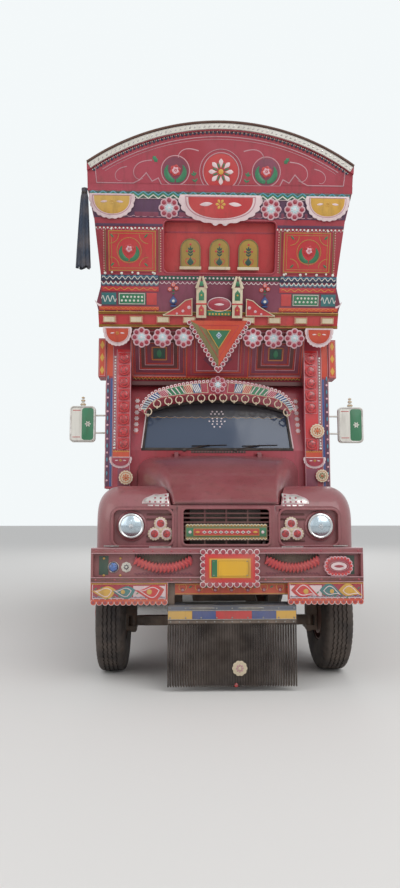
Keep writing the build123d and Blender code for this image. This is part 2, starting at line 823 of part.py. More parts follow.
seat_front = 2120.0
inner_back = cab_back - cab_wall - seat_gap
inner_floor = cab_floor + cab_wall + seat_gap
seat = block(-930, 930, seat_front + 60, inner_back - 60, inner_floor, 1330)
seat += block(-970, 970, seat_front, inner_back, 1330, 1470)
seat += block(-970, 970, inner_back - 130, inner_back, 1470, 2000)
save("cab_seat", seat)

inner_front = cab_front + cab_wall + seat_gap
wheel_x = -500.0
dash = block(-1000, 1000, inner_front, inner_front + 150, 1640, 1960)
column_base = Vector(wheel_x, at(inner_front + 100), 1650)
wheel_centre = Vector(wheel_x, at(1960), 1930)
column_run = wheel_centre - column_base
dash += extrude(Plane(origin=column_base, z_dir=column_run) * Circle(24), column_run.length)
wheel_plane = Plane(origin=wheel_centre, x_dir=(1, 0, 0), z_dir=column_run)
dash += wheel_plane * Torus(225, 14)
for turn in (0, 120, 240):
    dash += wheel_plane * Rot(0, 0, turn) * Pos(112, 0, 0) * Box(226, 20, 10)
dash += block(wheel_x - 30, wheel_x + 30, inner_front + 60, inner_front + 140, 1600, 1650)
save("dashboard", dash)

# Steps under the doors, each hung from the cab's floor by its two cheeks

step_front = 1800.0
step_length = 500.0
cheek_t = 12.0
tread_t = 24.0
step_rows = [
    # inner X, tread height
    (900.0, 600.0),
    (970.0, 840.0),
]
cheek_inner_x, cheek_foot = step_rows[0]
cheek_outer_x = cab_half - 10
steps = []
for place in (step_front, step_front + step_length - cheek_t):
    steps.append(block(cheek_inner_x, cheek_outer_x, place, place + cheek_t, cheek_foot,
                       cab_floor - seat_gap))
for inner_x, tread_z in step_rows:
    steps.append(block(inner_x, cheek_outer_x, step_front, step_front + step_length,
                       tread_z - tread_t, tread_z))
cab_step = fused(steps)
save("cab_steps", cab_step, mirrored(cab_step))

# Columns at the cab's front corners, with their stacked reflectors

column = block(column_inner_x, column_outer_x, column_front, cab_front - seat_gap,
               column_foot, column_top)
column += block(cab_half + seat_gap, column_outer_x, column_front, column_back, column_foot,
                column_top)
side_box_x = column_outer_x + 75
side_box_bottom = 2770.0
side_box_top = 3170.0
column += block(column_outer_x - 1, side_box_x, column_front - 20, column_back - 60,
                side_box_bottom, side_box_top)
save("columns", column, mirrored(column))

reflector_r = 56.0
reflector_pitch = 126.0
reflector_x = 953.0
reflector_foot = 2088.0
reflector_count = 8
side_lamp_rows = [
    # x, height, radius
    (-925.0, 1748.0, 72.0),
    (1009.0, 2223.0, 74.0),
    (1050.0, 1768.0, 66.0),
]
reflectors = []
for x, z, r in side_lamp_rows:
    reflectors.append(bar_y(x, column_front - 30, column_front - seat_gap, z, r))
for side in (-1, 1):
    for i in range(reflector_count):
        z = reflector_foot + reflector_pitch * i
        covered = any(math.hypot(side * reflector_x - lamp_at, z - lamp_up) < r + reflector_r
                      for lamp_at, lamp_up, r in side_lamp_rows)
        if not covered:
            reflectors.append(bar_y(side * reflector_x, column_front - 22, column_front - seat_gap,
                                    z, reflector_r))
save("column_reflectors", *reflectors)

# Arched crest over the windscreen

crest_depth = column_front + 10
crest_thick = 16.0
crest_outer = [
    ThreePointArc((-800, 2435), (-722, 2575), (-600, 2655)),
    ThreePointArc((-600, 2655), (0, 2755), (600, 2655)),
    ThreePointArc((600, 2655), (722, 2575), (800, 2435)),
]
crest_inner = [
    ThreePointArc((738, 2400), (665, 2505), (560, 2556)),
    ThreePointArc((560, 2556), (0, 2600), (-560, 2556)),
    ThreePointArc((-560, 2556), (-665, 2505), (-738, 2400)),
]
crest_face = make_face([*crest_outer, Line((800, 2435), (738, 2400)), *crest_inner,
                        Line((-738, 2400), (-800, 2435))])
crest = front_plate(crest_face, crest_depth, crest_depth + crest_thick)
crest_flower_r = 92.0
crest_flower_z = 2700.0
crest += bar_y(0, crest_depth - 10, crest_depth + 1, crest_flower_z, 0.7 * crest_flower_r)
for i in range(8):
    turn = math.tau * i / 8
    reach = 0.68 * crest_flower_r
    crest += bar_y(reach * math.cos(turn), crest_depth - 10, crest_depth + 1,
                   crest_flower_z + reach * math.sin(turn), 0.32 * crest_flower_r)
ring_r = 42.0
ring_wire = 11.0
ring_drop = 34.0
ring_counts = (2, 10, 2)
for arch_line, count in zip(crest_inner, ring_counts):
    for i in range(count):
        spot = arch_line.position_at((i + 0.5) / count)
        ring = bar_y(spot.X, crest_depth + 1, crest_depth + crest_thick - 1, spot.Y - ring_drop, ring_r)
        ring -= bar_y(spot.X, crest_depth, crest_depth + crest_thick, spot.Y - ring_drop,
                      ring_r - ring_wire)
        crest += ring
stay_z = 2640.0
for x in (-420, 0, 420):
    crest += side_plate([
        (crest_depth + 4, stay_z - 12),
        (screen_depth(stay_z - 12) - seat_gap, stay_z - 12),
        (screen_depth(stay_z + 12) - seat_gap, stay_z + 12),
        (crest_depth + 4, stay_z + 12),
    ], x - 10, x + 10)
save("visor_crest", crest)

# Crown: cornice, shelf, panels with the niche, and the arch on top

crown = leaning_plane(crown_foot_depth, crown_foot_z, crown_lean)


def on_crown(shape, x, z, proud=0.0):
    """A piece laid on the crown's face."""
    return crown.offset(proud) * Pos(x, up_face(z), 0) * shape


def slab(w, h, thick):
    """Flat block standing on its back."""
    return Box(w, h, thick, align=(Align.CENTER, Align.CENTER, Align.MIN))


cornice = raised(crown, crown_outline([(crown_foot_z, cornice_half),
                                       (cornice_top_z, cornice_half + 6)]), -crown_thick, 0)
cornice_block_w = 130.0
cornice_block_h = 68.0
cornice_block_x = [295.0, 557.0, 824.0, 1090.0]
for x in cornice_block_x:
    for side in (-1, 1):
        raised_block = slab(cornice_block_w, cornice_block_h, 26)
        cornice += on_crown(raised_block, side * x, (crown_foot_z + cornice_top_z) / 2, -2)
pennant_half = 290.0
pennant_top = 3312.0
pennant_tip = 2868.0
pennant_proud = 34.0


def pennant_layer(share):
    """The pennant's triangle, drawn in about its middle by this share."""
    top = up_face(pennant_top)
    tip = up_face(pennant_tip)
    middle = (2 * top + tip) / 3
    corners = [(-pennant_half, top), (pennant_half, top), (0, tip)]
    drawn_in = [(x * share, middle + (up - middle) * share) for x, up in corners]
    return make_face(Polyline(*drawn_in, close=True))


cornice += raised(crown, pennant_layer(1.0), -1, pennant_proud)
cornice += raised(crown, pennant_layer(0.4), pennant_proud - 1, pennant_proud + 8)
scallop_rim_r = 25.0
pennant_scallops = 11
scallop_tip_x = 18.0
for i in range(pennant_scallops):
    share = i / (pennant_scallops - 1)
    x = pennant_half + 6 + (scallop_tip_x - pennant_half - 6) * share
    up = up_face(pennant_top) - 20 + (up_face(pennant_tip) - up_face(pennant_top) + 8) * share
    for side in (-1, 1):
        disc = Cylinder(scallop_rim_r, 14, align=(Align.CENTER, Align.CENTER, Align.MIN))
        cornice += crown.offset(pennant_proud - 18) * Pos(side * x, up, 0) * disc
save("crown_cornice", cornice)

shelf = raised(crown, crown_outline([(cornice_top_z + seat_gap, cornice_half + 4),
                                     (3470, cornice_half + 22), (3620, shelf_half + 4),
                                     (shelf_top_z, shelf_half)]), -crown_thick, -8)
figure_rows = [
    # outline as (x, distance up the crown's face), how proud it stands
    ([(128, 100), (228, 100), (228, 392), (236, 392), (178, 505), (120, 392), (128, 392)], 52.0),
    ([(-118, 122), (118, 122), (118, 205), (96, 262), (50, 292), (0, 302), (-50, 292), (-96, 262),
      (-118, 205)], 32.0),
    ([(272, 122), (555, 122), (410, 205), (335, 268), (272, 285)], 26.0),
]
cornice_cover = make_face(Polyline((-700, -100), (700, -100), (700, up_face(cornice_top_z + seat_gap)),
                                   (-700, up_face(cornice_top_z + seat_gap)), close=True))
for outline, proud in figure_rows:
    figure = raised(crown, make_face(Polyline(*outline, close=True)), -10, proud)
    figure -= raised(crown, cornice_cover, -crown_thick, seat_gap)
    shelf += figure
    if min(x for x, _ in outline) > 0:
        shelf += mirrored(figure)
save("crown_shelf", shelf)

niche_half = 550.0
niche_bottom = 3750.0
niche_top = 4225.0
niche_deep = 75.0
niche_mid = (niche_bottom + niche_top) / 2
niche_h = up_face(niche_top) - up_face(niche_bottom)
panels = raised(crown, crown_outline([(shelf_top_z + seat_gap, shelf_half),
                                      (panel_top_z, panel_half)]), -crown_thick, 0)
panels += on_crown(slab(2 * niche_half + 50, niche_h + 10, niche_deep), 0, niche_mid, -niche_deep - 15)
panels -= on_crown(slab(2 * niche_half, niche_h - 10, 2 * niche_deep), 0, niche_mid, -niche_deep)
gilt_half = 99.0
gilt_middle_z = 3926.0
gilt_straight = 183.0
gilt_foot = up_face(gilt_middle_z) - (gilt_straight + gilt_half) / 2
gilt_spring = gilt_foot + gilt_straight
gilt_thick = 26.0
gilt_pitch = 287.0
for x in (-gilt_pitch, 0, gilt_pitch):
    left, right = x - gilt_half, x + gilt_half
    gilt_face = make_face([
        Line((left, gilt_foot), (right, gilt_foot)),
        Line((right, gilt_foot), (right, gilt_spring)),
        ThreePointArc((right, gilt_spring), (x, gilt_spring + gilt_half), (left, gilt_spring)),
        Line((left, gilt_spring), (left, gilt_foot)),
    ])
    panels += raised(crown, gilt_face, -niche_deep - 1, gilt_thick - niche_deep - 1)
picture_x = 857.0
picture_z = 3945.0
picture_w = 480.0
picture_h = 400.0
for x in (-picture_x, picture_x):
    panels += on_crown(slab(picture_w, picture_h, 10), x, picture_z, -1)
save("crown_panels", panels)

band_bottom = panel_top_z + seat_gap
arch_foot_z = 4490.0
arch_lines = [
    Line((-panel_half - 3, up_face(band_bottom)), (panel_half + 3, up_face(band_bottom))),
    Line((panel_half + 3, up_face(band_bottom)), (arch_half, up_face(arch_foot_z))),
    Line((arch_half, up_face(arch_foot_z)), (arch_half, up_face(spring_z))),
    ThreePointArc((arch_half, up_face(spring_z)), (0, up_face(apex_z)),
                  (-arch_half, up_face(spring_z))),
    Line((-arch_half, up_face(spring_z)), (-arch_half, up_face(arch_foot_z))),
    Line((-arch_half, up_face(arch_foot_z)), (-panel_half - 3, up_face(band_bottom))),
]
arch = raised(crown, make_face(arch_lines), -crown_thick, 0)
cap_drop = 75.0
cap_lines = [
    ThreePointArc((arch_half, up_face(spring_z)), (0, up_face(apex_z)),
                  (-arch_half, up_face(spring_z))),
    Line((-arch_half, up_face(spring_z)), (-arch_half, up_face(spring_z - cap_drop))),
    ThreePointArc((-arch_half, up_face(spring_z - cap_drop)), (0, up_face(apex_z - cap_drop)),
                  (arch_half, up_face(spring_z - cap_drop))),
    Line((arch_half, up_face(spring_z - cap_drop)), (arch_half, up_face(spring_z))),
]
arch += raised(crown, make_face(cap_lines), -1, 26)
arch += on_crown(slab(2 * arch_half - 4, 60, 18), 0, arch_foot_z + 15, -1)
save("crown_arch", arch)

rosette_r = 102.0
rosette_rows = [
    # x, height
    (-497.0, 4330.0),
    (491.0, 4330.0),
    (723.0, 4330.0),
    (-772.0, 3148.0),
    (-562.0, 3148.0),
    (-352.0, 3148.0),
    (345.0, 3148.0),
    (555.0, 3148.0),
    (765.0, 3148.0),
]
plates = [on_crown(rosette(rosette_r, 14), x, z, seat_gap) for x, z in rosette_rows]


def hanging_plate(half, drop, thick, scallops=5):
    """Plate with a straight top and a rounded point below, scalloped all round
    its lower edge."""
    sides = [
        ThreePointArc((half, 0), (0.55 * half, -0.72 * drop), (0, -drop)),
        ThreePointArc((0, -drop), (-0.55 * half, -0.72 * drop), (-half, 0)),
    ]
    plate = extrude(make_face([Line((-half, 0), (half, 0)), *sides]), thick)
    lobe_r = 0.36 * sides[0].length / scallops
    for side in sides:
        for i in range(scallops):
            lobe = Cylinder(lobe_r, thick, align=(Align.CENTER, Align.CENTER, Align.MIN))
            plate += Pos(side.position_at((i + 0.5) / scallops)) * lobe
    return plate


plate_rows = [
    # x, top height, half-width, drop
    (0.0, 4450.0, 380.0, 255.0),
    (-1046.0, 4450.0, 206.0, 218.0),
    (1040.0, 4450.0, 200.0, 218.0),
    (-1012.0, 3245.0, 132.0, 178.0),
    (1012.0, 3245.0, 132.0, 178.0),
]
for x, top_z, half, drop in plate_rows:
    plates.append(on_crown(hanging_plate(half, drop, 16), x, top_z, seat_gap))
save("crown_plates", *plates)

# Behind the crown: sloping soffit, floor over the cab and side walls

soffit_foot_z = crown_floor_top + seat_gap
soffit_half = column_inner_x - seat_gap
soffit_thick = 36.0
soffit = side_plate([
    (soffit_top_depth, column_top),
    (soffit_top_depth + soffit_thick, column_top),
    (soffit_foot_depth + soffit_thick, soffit_foot_z),
    (soffit_foot_depth, soffit_foot_z),
], -soffit_half, soffit_half)
soffit_lean = math.atan2(soffit_foot_depth - soffit_top_depth, column_top - soffit_foot_z)
soffit_face = leaning_plane(soffit_foot_depth, soffit_foot_z, soffit_lean)
pocket_x = 600.0
pocket_up = 300.0
pocket_rows = [
    # height, depth
    (430.0, 8.0),
    (330.0, 14.0),
    (230.0, 20.0),
]
for x in (-pocket_x, pocket_x):
    for height, deep in pocket_rows:
        pocket = Pos(x, pocket_up, -deep) * slab(1.2 * height, height, deep + 1)
        soffit -= soffit_face * pocket
save("crown_soffit", soffit)

crown_wall = 40.0
crown_wall_x = column_outer_x
floor_edge = load_front_depth - seat_gap
crown_floor = block(crown_wall - crown_wall_x, crown_wall_x - crown_wall, soffit_foot_depth - 20,
                    floor_edge, cab_roof + seat_gap, crown_floor_top)
save("crown_floor", crown_floor)

behind = crown_thick / math.cos(crown_lean) + seat_gap
side_wall = side_plate([
    (crown_depth(column_top) + behind + 6, column_top + seat_gap),
    (crown_depth(4650) + behind, 4650),
    (1500, 4420),
    (floor_edge, 3560),
    (floor_edge, cab_roof - 40),
    (column_back + seat_gap, cab_roof - 40),
    (column_back + seat_gap, column_top + seat_gap),
], crown_wall_x - crown_wall + seat_gap, crown_wall_x)
save("crown_sides", side_wall, mirrored(side_wall))

# Load body: floor with bearers, walls with posts, front wall and tailgate

load_floor = block(-load_half, load_half, load_front_depth, load_back, floor_bottom, floor_top)
runner_top = floor_bottom - 100
for side in (-1, 1):
    mid = side * (rail_outer_x - rail_w / 2)
    load_floor += block(mid - 35, mid + 35, load_front_depth, load_back - 60,
                        rail_top + seat_gap, runner_top + 1)
bearer_count = 9
bearer_pitch = (load_back - load_front_depth - 300) / (bearer_count - 1)
for i in range(bearer_count):
    depth = load_front_depth + 150 + bearer_pitch * i
    load_floor += block(50 - load_half, load_half - 50, depth - 40, depth + 40, runner_top,
                        floor_bottom + 1)
gate_front = load_back + gate_gap
gate_hinge_depth = gate_front + gate_thick / 2
gate_hinge_z = floor_top - 52
gate_hinge_x = [-800.0, 0.0, 800.0]
deck_edge = load_half - load_wall - 5
load_floor += block(-deck_edge, deck_edge, load_front_depth + load_wall + 5, load_back - rear_post_w - 5,
                    floor_top - 1, floor_top + deck_thick)
for x in gate_hinge_x:
    load_floor += bar_x(x - 60, x + 60, gate_hinge_depth, gate_hinge_z, hinge_r)
    for end in (-52, 52):
        load_floor += block(x + end - 8, x + end + 8, load_back - 5, gate_hinge_depth + 9,
                            gate_hinge_z - 9, gate_hinge_z + 9)
save("load_floor", load_floor)

# Rubber flaps behind the rear wheels, each on a steel bar under a bearer

first_bearer = load_front_depth + 150
flap_bearer = math.ceil((rear_axle_depth + tyre_r + 100 - first_bearer) / bearer_pitch)
mud_flap_depth = first_bearer + bearer_pitch * flap_bearer
bearer_end = load_half - 50
mud_flap_inner_x = rear_inner_x - 115
mud_flap_foot = 290.0
mud_flap = block(mud_flap_inner_x, bearer_end, mud_flap_depth, mud_flap_depth + 10, mud_flap_foot,
                 runner_top - 20)
mud_flap += block(mud_flap_inner_x - 20, bearer_end, mud_flap_depth - 15, mud_flap_depth + 25,
                  runner_top - 30, runner_top - seat_gap)
save("mud_flaps", mud_flap, mirrored(mud_flap))

wall_foot = floor_top + seat_gap
post_count = 6
post_pitch = (load_back - load_front_depth - post_w) / (post_count - 1)
load_side = block(load_half - load_wall, load_half, load_front_depth, load_back, wall_foot,
                  wall_top)
for i in range(post_count):
    start = load_front_depth + post_pitch * i
    load_side += block(load_half - 1, load_half + post_proud, start, start + post_w, wall_foot,
                       wall_top)
for z in (wall_foot, 2230.0, wall_top - 90):
    load_side += block(load_half - 1, load_half + 0.7 * post_proud, load_front_depth, load_back,
                       z, z + 90)
save("load_sides", load_side, mirrored(load_side))

wall_inner = load_half - load_wall - seat_gap
front_wall = block(-wall_inner, wall_inner, load_front_depth, load_front_depth + load_wall,
                   wall_foot, wall_top)
save("load_front", front_wall)

frame_z = 3080.0
rear_frame = block(-wall_inner, wall_inner, load_back - rear_post_w, load_back, frame_z, wall_top)
for side in (-1, 1):
    inner, outer = sorted((side * (wall_inner - rear_post_w), side * wall_inner))
    rear_frame += block(inner, outer, load_back - rear_post_w, load_back, wall_foot, frame_z + 1)
save("rear_frame", rear_frame)

gate_half = load_half - 20
gate = block(-gate_half, gate_half, gate_front, gate_front + gate_thick, floor_top - 28, gate_top)
for x in gate_hinge_x:
    lug = bar_x(x - 38, x + 38, gate_hinge_depth, gate_hinge_z, lug_r)
    lug += block(x - 38, x + 38, gate_hinge_depth - 10, gate_hinge_depth + 10, gate_hinge_z,
                 floor_top)
    lug -= bar_x(x - 39, x + 39, gate_hinge_depth, gate_hinge_z, hinge_r + seat_gap)
    gate += lug
save("tailgate", gate)

# Mirrors on two arms, and the cloth that hangs at the crown's corner

mirror_depth = 1420.0
mirror_x = 1380.0
mirror_z = 2300.0
mirror_w = 260.0
mirror_h = 370.0
mirror_back = block(mirror_x - mirror_w / 2, mirror_x + mirror_w / 2, mirror_depth - 22,
                    mirror_depth + 22, mirror_z - mirror_h / 2, mirror_z + mirror_h / 2)
mirror_back = fillet(mirror_back.edges().filter_by(Axis.Y), 40)
arm_start = column_outer_x + seat_gap
for z in (mirror_z - 90, mirror_z + 90):
    mirror_back += bar_x(arm_start, mirror_x, mirror_depth, z, 9)
finial_foot = mirror_z + mirror_h / 2
mirror_back += bar_z(mirror_x, mirror_depth, finial_foot - 5, finial_foot + 70, 12)
finial_balls = [
    # height above the mirror, radius
    (18.0, 26.0),
    (58.0, 19.0),
    (88.0, 14.0),
]
for rise, r in finial_balls:
    mirror_back += Pos(mirror_x, at(mirror_depth), finial_foot + rise) * Sphere(r)
save("mirrors", mirror_back, mirrored(mirror_back))

cloth_top_z = arch_foot_z + 15
cloth_bottom_z = 3701.0
cloth_top_w = 60.0
cloth_bottom_w = 150.0
cloth_depth = crown_depth(cloth_top_z) + crown_thick / 2
cloth_gap = 1.14
cloth_x = -arch_half - cloth_gap - cloth_top_w / 2
cloth = loft([
    Pos(cloth_x, at(cloth_depth), cloth_top_z) * Rectangle(cloth_top_w, 44),
    Pos(cloth_x, at(cloth_depth), cloth_bottom_z) * Rectangle(cloth_bottom_w, 90),
], ruled=True)
save("corner_cloth", cloth)
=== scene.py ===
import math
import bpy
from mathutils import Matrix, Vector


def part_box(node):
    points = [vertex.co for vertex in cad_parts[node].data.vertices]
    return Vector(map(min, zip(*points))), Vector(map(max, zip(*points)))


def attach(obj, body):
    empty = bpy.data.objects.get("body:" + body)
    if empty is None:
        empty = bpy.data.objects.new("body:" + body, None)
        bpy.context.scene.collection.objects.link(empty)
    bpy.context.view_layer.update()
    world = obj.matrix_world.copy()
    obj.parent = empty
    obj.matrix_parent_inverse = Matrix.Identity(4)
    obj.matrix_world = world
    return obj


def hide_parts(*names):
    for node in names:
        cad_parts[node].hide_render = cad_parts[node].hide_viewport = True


bl_info = {"name": "Painted Crown Truck", "version": (1, 0, 0), "blender": (4, 5, 0),
    "location": "View3D > Sidebar > Truck",
    "description": "Paints and trims a bonneted load carrier with a tall crown", "category": "Add Mesh"}

import bpy
import numpy as np
from bpy.props import FloatProperty, FloatVectorProperty, IntProperty, PointerProperty
from mathutils import Matrix

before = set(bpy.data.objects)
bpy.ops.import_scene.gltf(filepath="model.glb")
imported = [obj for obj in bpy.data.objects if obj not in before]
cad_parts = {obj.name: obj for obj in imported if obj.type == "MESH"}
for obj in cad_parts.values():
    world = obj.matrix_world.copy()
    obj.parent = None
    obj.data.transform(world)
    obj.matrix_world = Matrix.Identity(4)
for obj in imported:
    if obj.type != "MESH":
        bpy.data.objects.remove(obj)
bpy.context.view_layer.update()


# Places read from the frame, in metres


def low(node, axis):
    """Lowest coordinate of a node along X, Y or Z."""
    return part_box(node)[0]["xyz".index(axis)]


def high(node, axis):
    """Highest coordinate of a node along X, Y or Z."""
    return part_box(node)[1]["xyz".index(axis)]


FACE_Y = low("front_bumper", "y")
QUARTER_TURN = 1.57
CROWN_LEAN = math.radians(17.0)
CROWN_FOOT_DEPTH = 1.140
CROWN_FOOT_Z = 3.240
LAMP_X = 0.785
LAMP_Z = (low("headlamps", "z") + high("headlamps", "z")) / 2


def at(depth):
    """Y of a place this far behind the bumper's front face."""
    return FACE_Y + depth


def up(z):
    """Distance up the crown's leaning face at this height."""
    return (z - CROWN_FOOT_Z) / math.cos(CROWN_LEAN)


# Colours and finishes


def linear(hex_colour):
    """sRGB hex colour as the linear RGBA that shaders take."""
    value = hex_colour.lstrip("#")
    parts = [int(value[i:i + 2], 16) / 255 for i in (0, 2, 4)]
    return (*[c / 12.92 if c <= 0.04045 else ((c + 0.055) / 1.055) ** 2.4 for c in parts], 1.0)


def add_node(tree, kind, inputs=None, **settings):
    """Adds a node, with its settings, and each input either set or linked."""
    made = tree.nodes.new(kind)
    for name, value in settings.items():
        setattr(made, name, value)
    for key, value in (inputs or {}).items():
        if isinstance(value, bpy.types.NodeSocket):
            tree.links.new(value, made.inputs[key])
        else:
            made.inputs[key].default_value = value
    return made


def new_material(name):
    """Empty node material with its output, and Object coordinates in metres."""
    made = bpy.data.materials.new(name)
    made.use_nodes = True
    tree = made.node_tree
    tree.nodes.clear()
    place = add_node(tree, "ShaderNodeTexCoord").outputs["Object"]
    output = add_node(tree, "ShaderNodeOutputMaterial")
    return made, tree, place, output


def noise(tree, place, size_mm, detail=4.0, roughness=0.55, stretch=(1, 1, 1)):
    """Noise whose blotches measure about size_mm, stretched along an axis."""
    scaled = add_node(tree, "ShaderNodeMapping", {"Vector": place, "Scale": stretch})
    return add_node(tree, "ShaderNodeTexNoise", {"Vector": scaled.outputs[0], "Scale": 1000 / size_mm,
        "Detail": detail, "Roughness": roughness}).outputs["Fac"]


def ramp(tree, value, lo, hi, to_lo=0.0, to_hi=1.0):
    """Value carried from lo..hi to to_lo..to_hi, and held at both ends."""
    return add_node(tree, "ShaderNodeMapRange", {"Value": value, "From Min": lo, "From Max": hi,
        "To Min": to_lo, "To Max": to_hi}).outputs[0]


def blend_colour(tree, share, first, second):
    """Colour between two, by a share."""
    made = add_node(tree, "ShaderNodeMix", data_type="RGBA", blend_type="MIX")
    for index, value in ((0, share), (6, first), (7, second)):
        if isinstance(value, bpy.types.NodeSocket):
            tree.links.new(value, made.inputs[index])
        else:
            made.inputs[index].default_value = value
    return made.outputs[2]


def maths(tree, operation, first, second):
    """One sum on two values."""
    return add_node(tree, "ShaderNodeMath", {0: first, 1: second}, operation=operation).outputs[0]


def finish_off(tree, output, colour, roughness, height=None, bump_mm=0.3, **fixed):
    """Principled shader with its relief, joined to the output."""
    inputs = {"Base Color": colour, "Roughness": roughness}
    inputs.update(fixed)
    if height is not None:
        inputs["Normal"] = add_node(tree, "ShaderNodeBump", {"Height": height, "Strength": 1.0,
            "Distance": bump_mm / 1000}).outputs[0]
    shader = add_node(tree, "ShaderNodeBsdfPrincipled", inputs)
    tree.links.new(shader.outputs[0], output.inputs[0])
    return shader


ROAD_DUST = linear("#9a8575")


def dust_share(tree, place, amount):
    """Road dust: thick near the ground, thin above two metres, in soft drifts."""
    height = add_node(tree, "ShaderNodeSeparateXYZ", {"Vector": place}).outputs[2]
    low_dust = ramp(tree, height, 0.2, 2.2, amount, amount * 0.22)
    drift = ramp(tree, noise(tree, place, 260, 5.0, 0.6), 0.38, 0.68, 0.25, 1.0)
    return maths(tree, "MULTIPLY", low_dust, drift)


def enamel(name, colour, faded, roughness=0.42, dust=0.5, peel_mm=4.0, **fixed):
    """Enamel paint, brushed or sprayed: fades in broad clouds, streaks of grime
    run down it, dust settles low, and its skin has a faint orange peel."""
    made, tree, place, output = new_material(name)
    cloud = ramp(tree, noise(tree, place, 900, 4.0), 0.35, 0.7)
    shade = blend_colour(tree, cloud, linear(colour), linear(faded))
    streak = ramp(tree, noise(tree, place, 60, 5.0, 0.65, (1, 1, 0.12)), 0.52, 0.78, 0.0, 0.35)
    shade = blend_colour(tree, streak, shade, linear("#3a2620"))
    shade = blend_colour(tree, dust_share(tree, place, dust), shade, ROAD_DUST)
    speck = ramp(tree, noise(tree, place, 9, 3.0), 0.3, 0.75, roughness - 0.08, roughness + 0.16)
    peel = noise(tree, place, peel_mm, 2.0)
    finish_off(tree, output, shade, speck, peel, 0.12, **fixed)
    return made


def pressed_metal(name, colour, dark, roughness=0.3, pattern_mm=9.0):
    """Thin bright sheet, hammered over a die: small dimples catch the light."""
    made, tree, place, output = new_material(name)
    cells = add_node(tree, "ShaderNodeTexVoronoi", {"Vector": place, "Scale": 1000 / pattern_mm})
    tarnish = ramp(tree, noise(tree, place, 70, 5.0), 0.4, 0.75)
    shade = blend_colour(tree, tarnish, linear(colour), linear(dark))
    shade = blend_colour(tree, dust_share(tree, place, 0.35), shade, ROAD_DUST)
    finish_off(tree, output, shade, ramp(tree, tarnish, 0, 1, roughness, roughness + 0.25),
        cells.outputs["Distance"], 0.9, Metallic=0.9)
    return made


def reflective_film(name, colour, faded, cell_mm=7.0):
    """Reflective tape cut to shape: glossy face over a fine honeycomb."""
    made, tree, place, output = new_material(name)
    cells = add_node(tree, "ShaderNodeTexVoronoi", {"Vector": place, "Scale": 1000 / cell_mm},
        feature="DISTANCE_TO_EDGE")
    net = ramp(tree, cells.outputs["Distance"], 0.0, 0.12)
    worn = ramp(tree, noise(tree, place, 150, 4.0), 0.42, 0.7)
    shade = blend_colour(tree, worn, linear(colour), linear(faded))
    shade = blend_colour(tree, ramp(tree, net, 0, 1, 0.3, 0.0), shade, linear(faded))
    shade = blend_colour(tree, dust_share(tree, place, 0.4), shade, ROAD_DUST)
    finish_off(tree, output, shade, ramp(tree, worn, 0, 1, 0.28, 0.5), net, 0.25,
        **{"Coat Weight": 0.4, "Coat Roughness": 0.15})
    return made


def lens_plastic(name, colour, deep):
    """Moulded acrylic reflector: prism cells behind a clear glossy face. Each cell is painted a random
    shade between the deep and the bright colour as a painted glint.
    """
    made, tree, place, output = new_material(name)
    cells = add_node(tree, "ShaderNodeTexVoronoi", {"Vector": place, "Scale": 1000 / 11})
    # painted glint: each prism cell gets a random share between the deep and the bright colour
    painted_glint = ramp(tree, cells.outputs["Color"], 0.2, 0.9)
    shade = blend_colour(tree, painted_glint, linear(deep), linear(colour))
    shade = blend_colour(tree, dust_share(tree, place, 0.25), shade, ROAD_DUST)
    finish_off(tree, output, shade, 0.28, cells.outputs["Distance"], 1.4,
        **{"Coat Weight": 0.9, "Coat Roughness": 0.06})
    return made


def bright_metal(name, colour, roughness, grime=0.3):
    """Plated or polished metal with fine scratches and a film of grime."""
    made, tree, place, output = new_material(name)
    film = ramp(tree, noise(tree, place, 45, 6.0, 0.65), 0.45, 0.8, 0.0, grime)
    shade = blend_colour(tree, film, linear(colour), linear("#6b5a4d"))
    rough = ramp(tree, noise(tree, place, 5, 3.0, 0.5, (1, 1, 0.1)), 0.3, 0.7, roughness, roughness + 0.18)
    finish_off(tree, output, shade, rough, noise(tree, place, 60, 3.0), 0.5, Metallic=1.0)
    return made


def rubber(name, colour, dust=0.9):
    """Vulcanised rubber, matt, with dust ground into it and small checks."""
    made, tree, place, output = new_material(name)
    shade = blend_colour(tree, ramp(tree, noise(tree, place, 120, 5.0), 0.35, 0.7), linear(colour),
        linear("#4a423e"))
    shade = blend_colour(tree, dust_share(tree, place, dust), shade, linear("#8a7767"))
    finish_off(tree, output, shade, 0.82, noise(tree, place, 3.5, 4.0, 0.7), 0.5)
    return made


def painted_boards(name, colour, faded, board_mm=145.0):
    """Sawn boards under old paint: board joints every board_mm, grain along
    them, and bare wood where the paint has worn off the ridges."""
    made, tree, place, output = new_material(name)
    parts = add_node(tree, "ShaderNodeSeparateXYZ", {"Vector": place}).outputs
    height = maths(tree, "MULTIPLY", parts[2], 1000 / board_mm)
    share = add_node(tree, "ShaderNodeMath", {0: height}, operation="FRACT").outputs[0]
    joint = ramp(tree, share, 0.0, 0.045)
    stretch = (0.06, 0.06, 1)
    grain = noise(tree, place, 7, 6.0, 0.65, stretch)
    worn = ramp(tree, noise(tree, place, 90, 6.0, 0.7, stretch), 0.58, 0.7, 0.0, 0.8)
    shade = blend_colour(tree, ramp(tree, noise(tree, place, 700, 3.0), 0.35, 0.7), linear(colour),
        linear(faded))
    shade = blend_colour(tree, worn, shade, linear("#8b6a4a"))
    shade = blend_colour(tree, ramp(tree, joint, 0, 1, 0.8, 0.0), shade, linear("#1f1410"))
    shade = blend_colour(tree, dust_share(tree, place, 0.5), shade, ROAD_DUST)
    relief = maths(tree, "ADD", joint, maths(tree, "MULTIPLY", grain, 0.35))
    finish_off(tree, output, shade, 0.68, relief, 1.6)
    return made


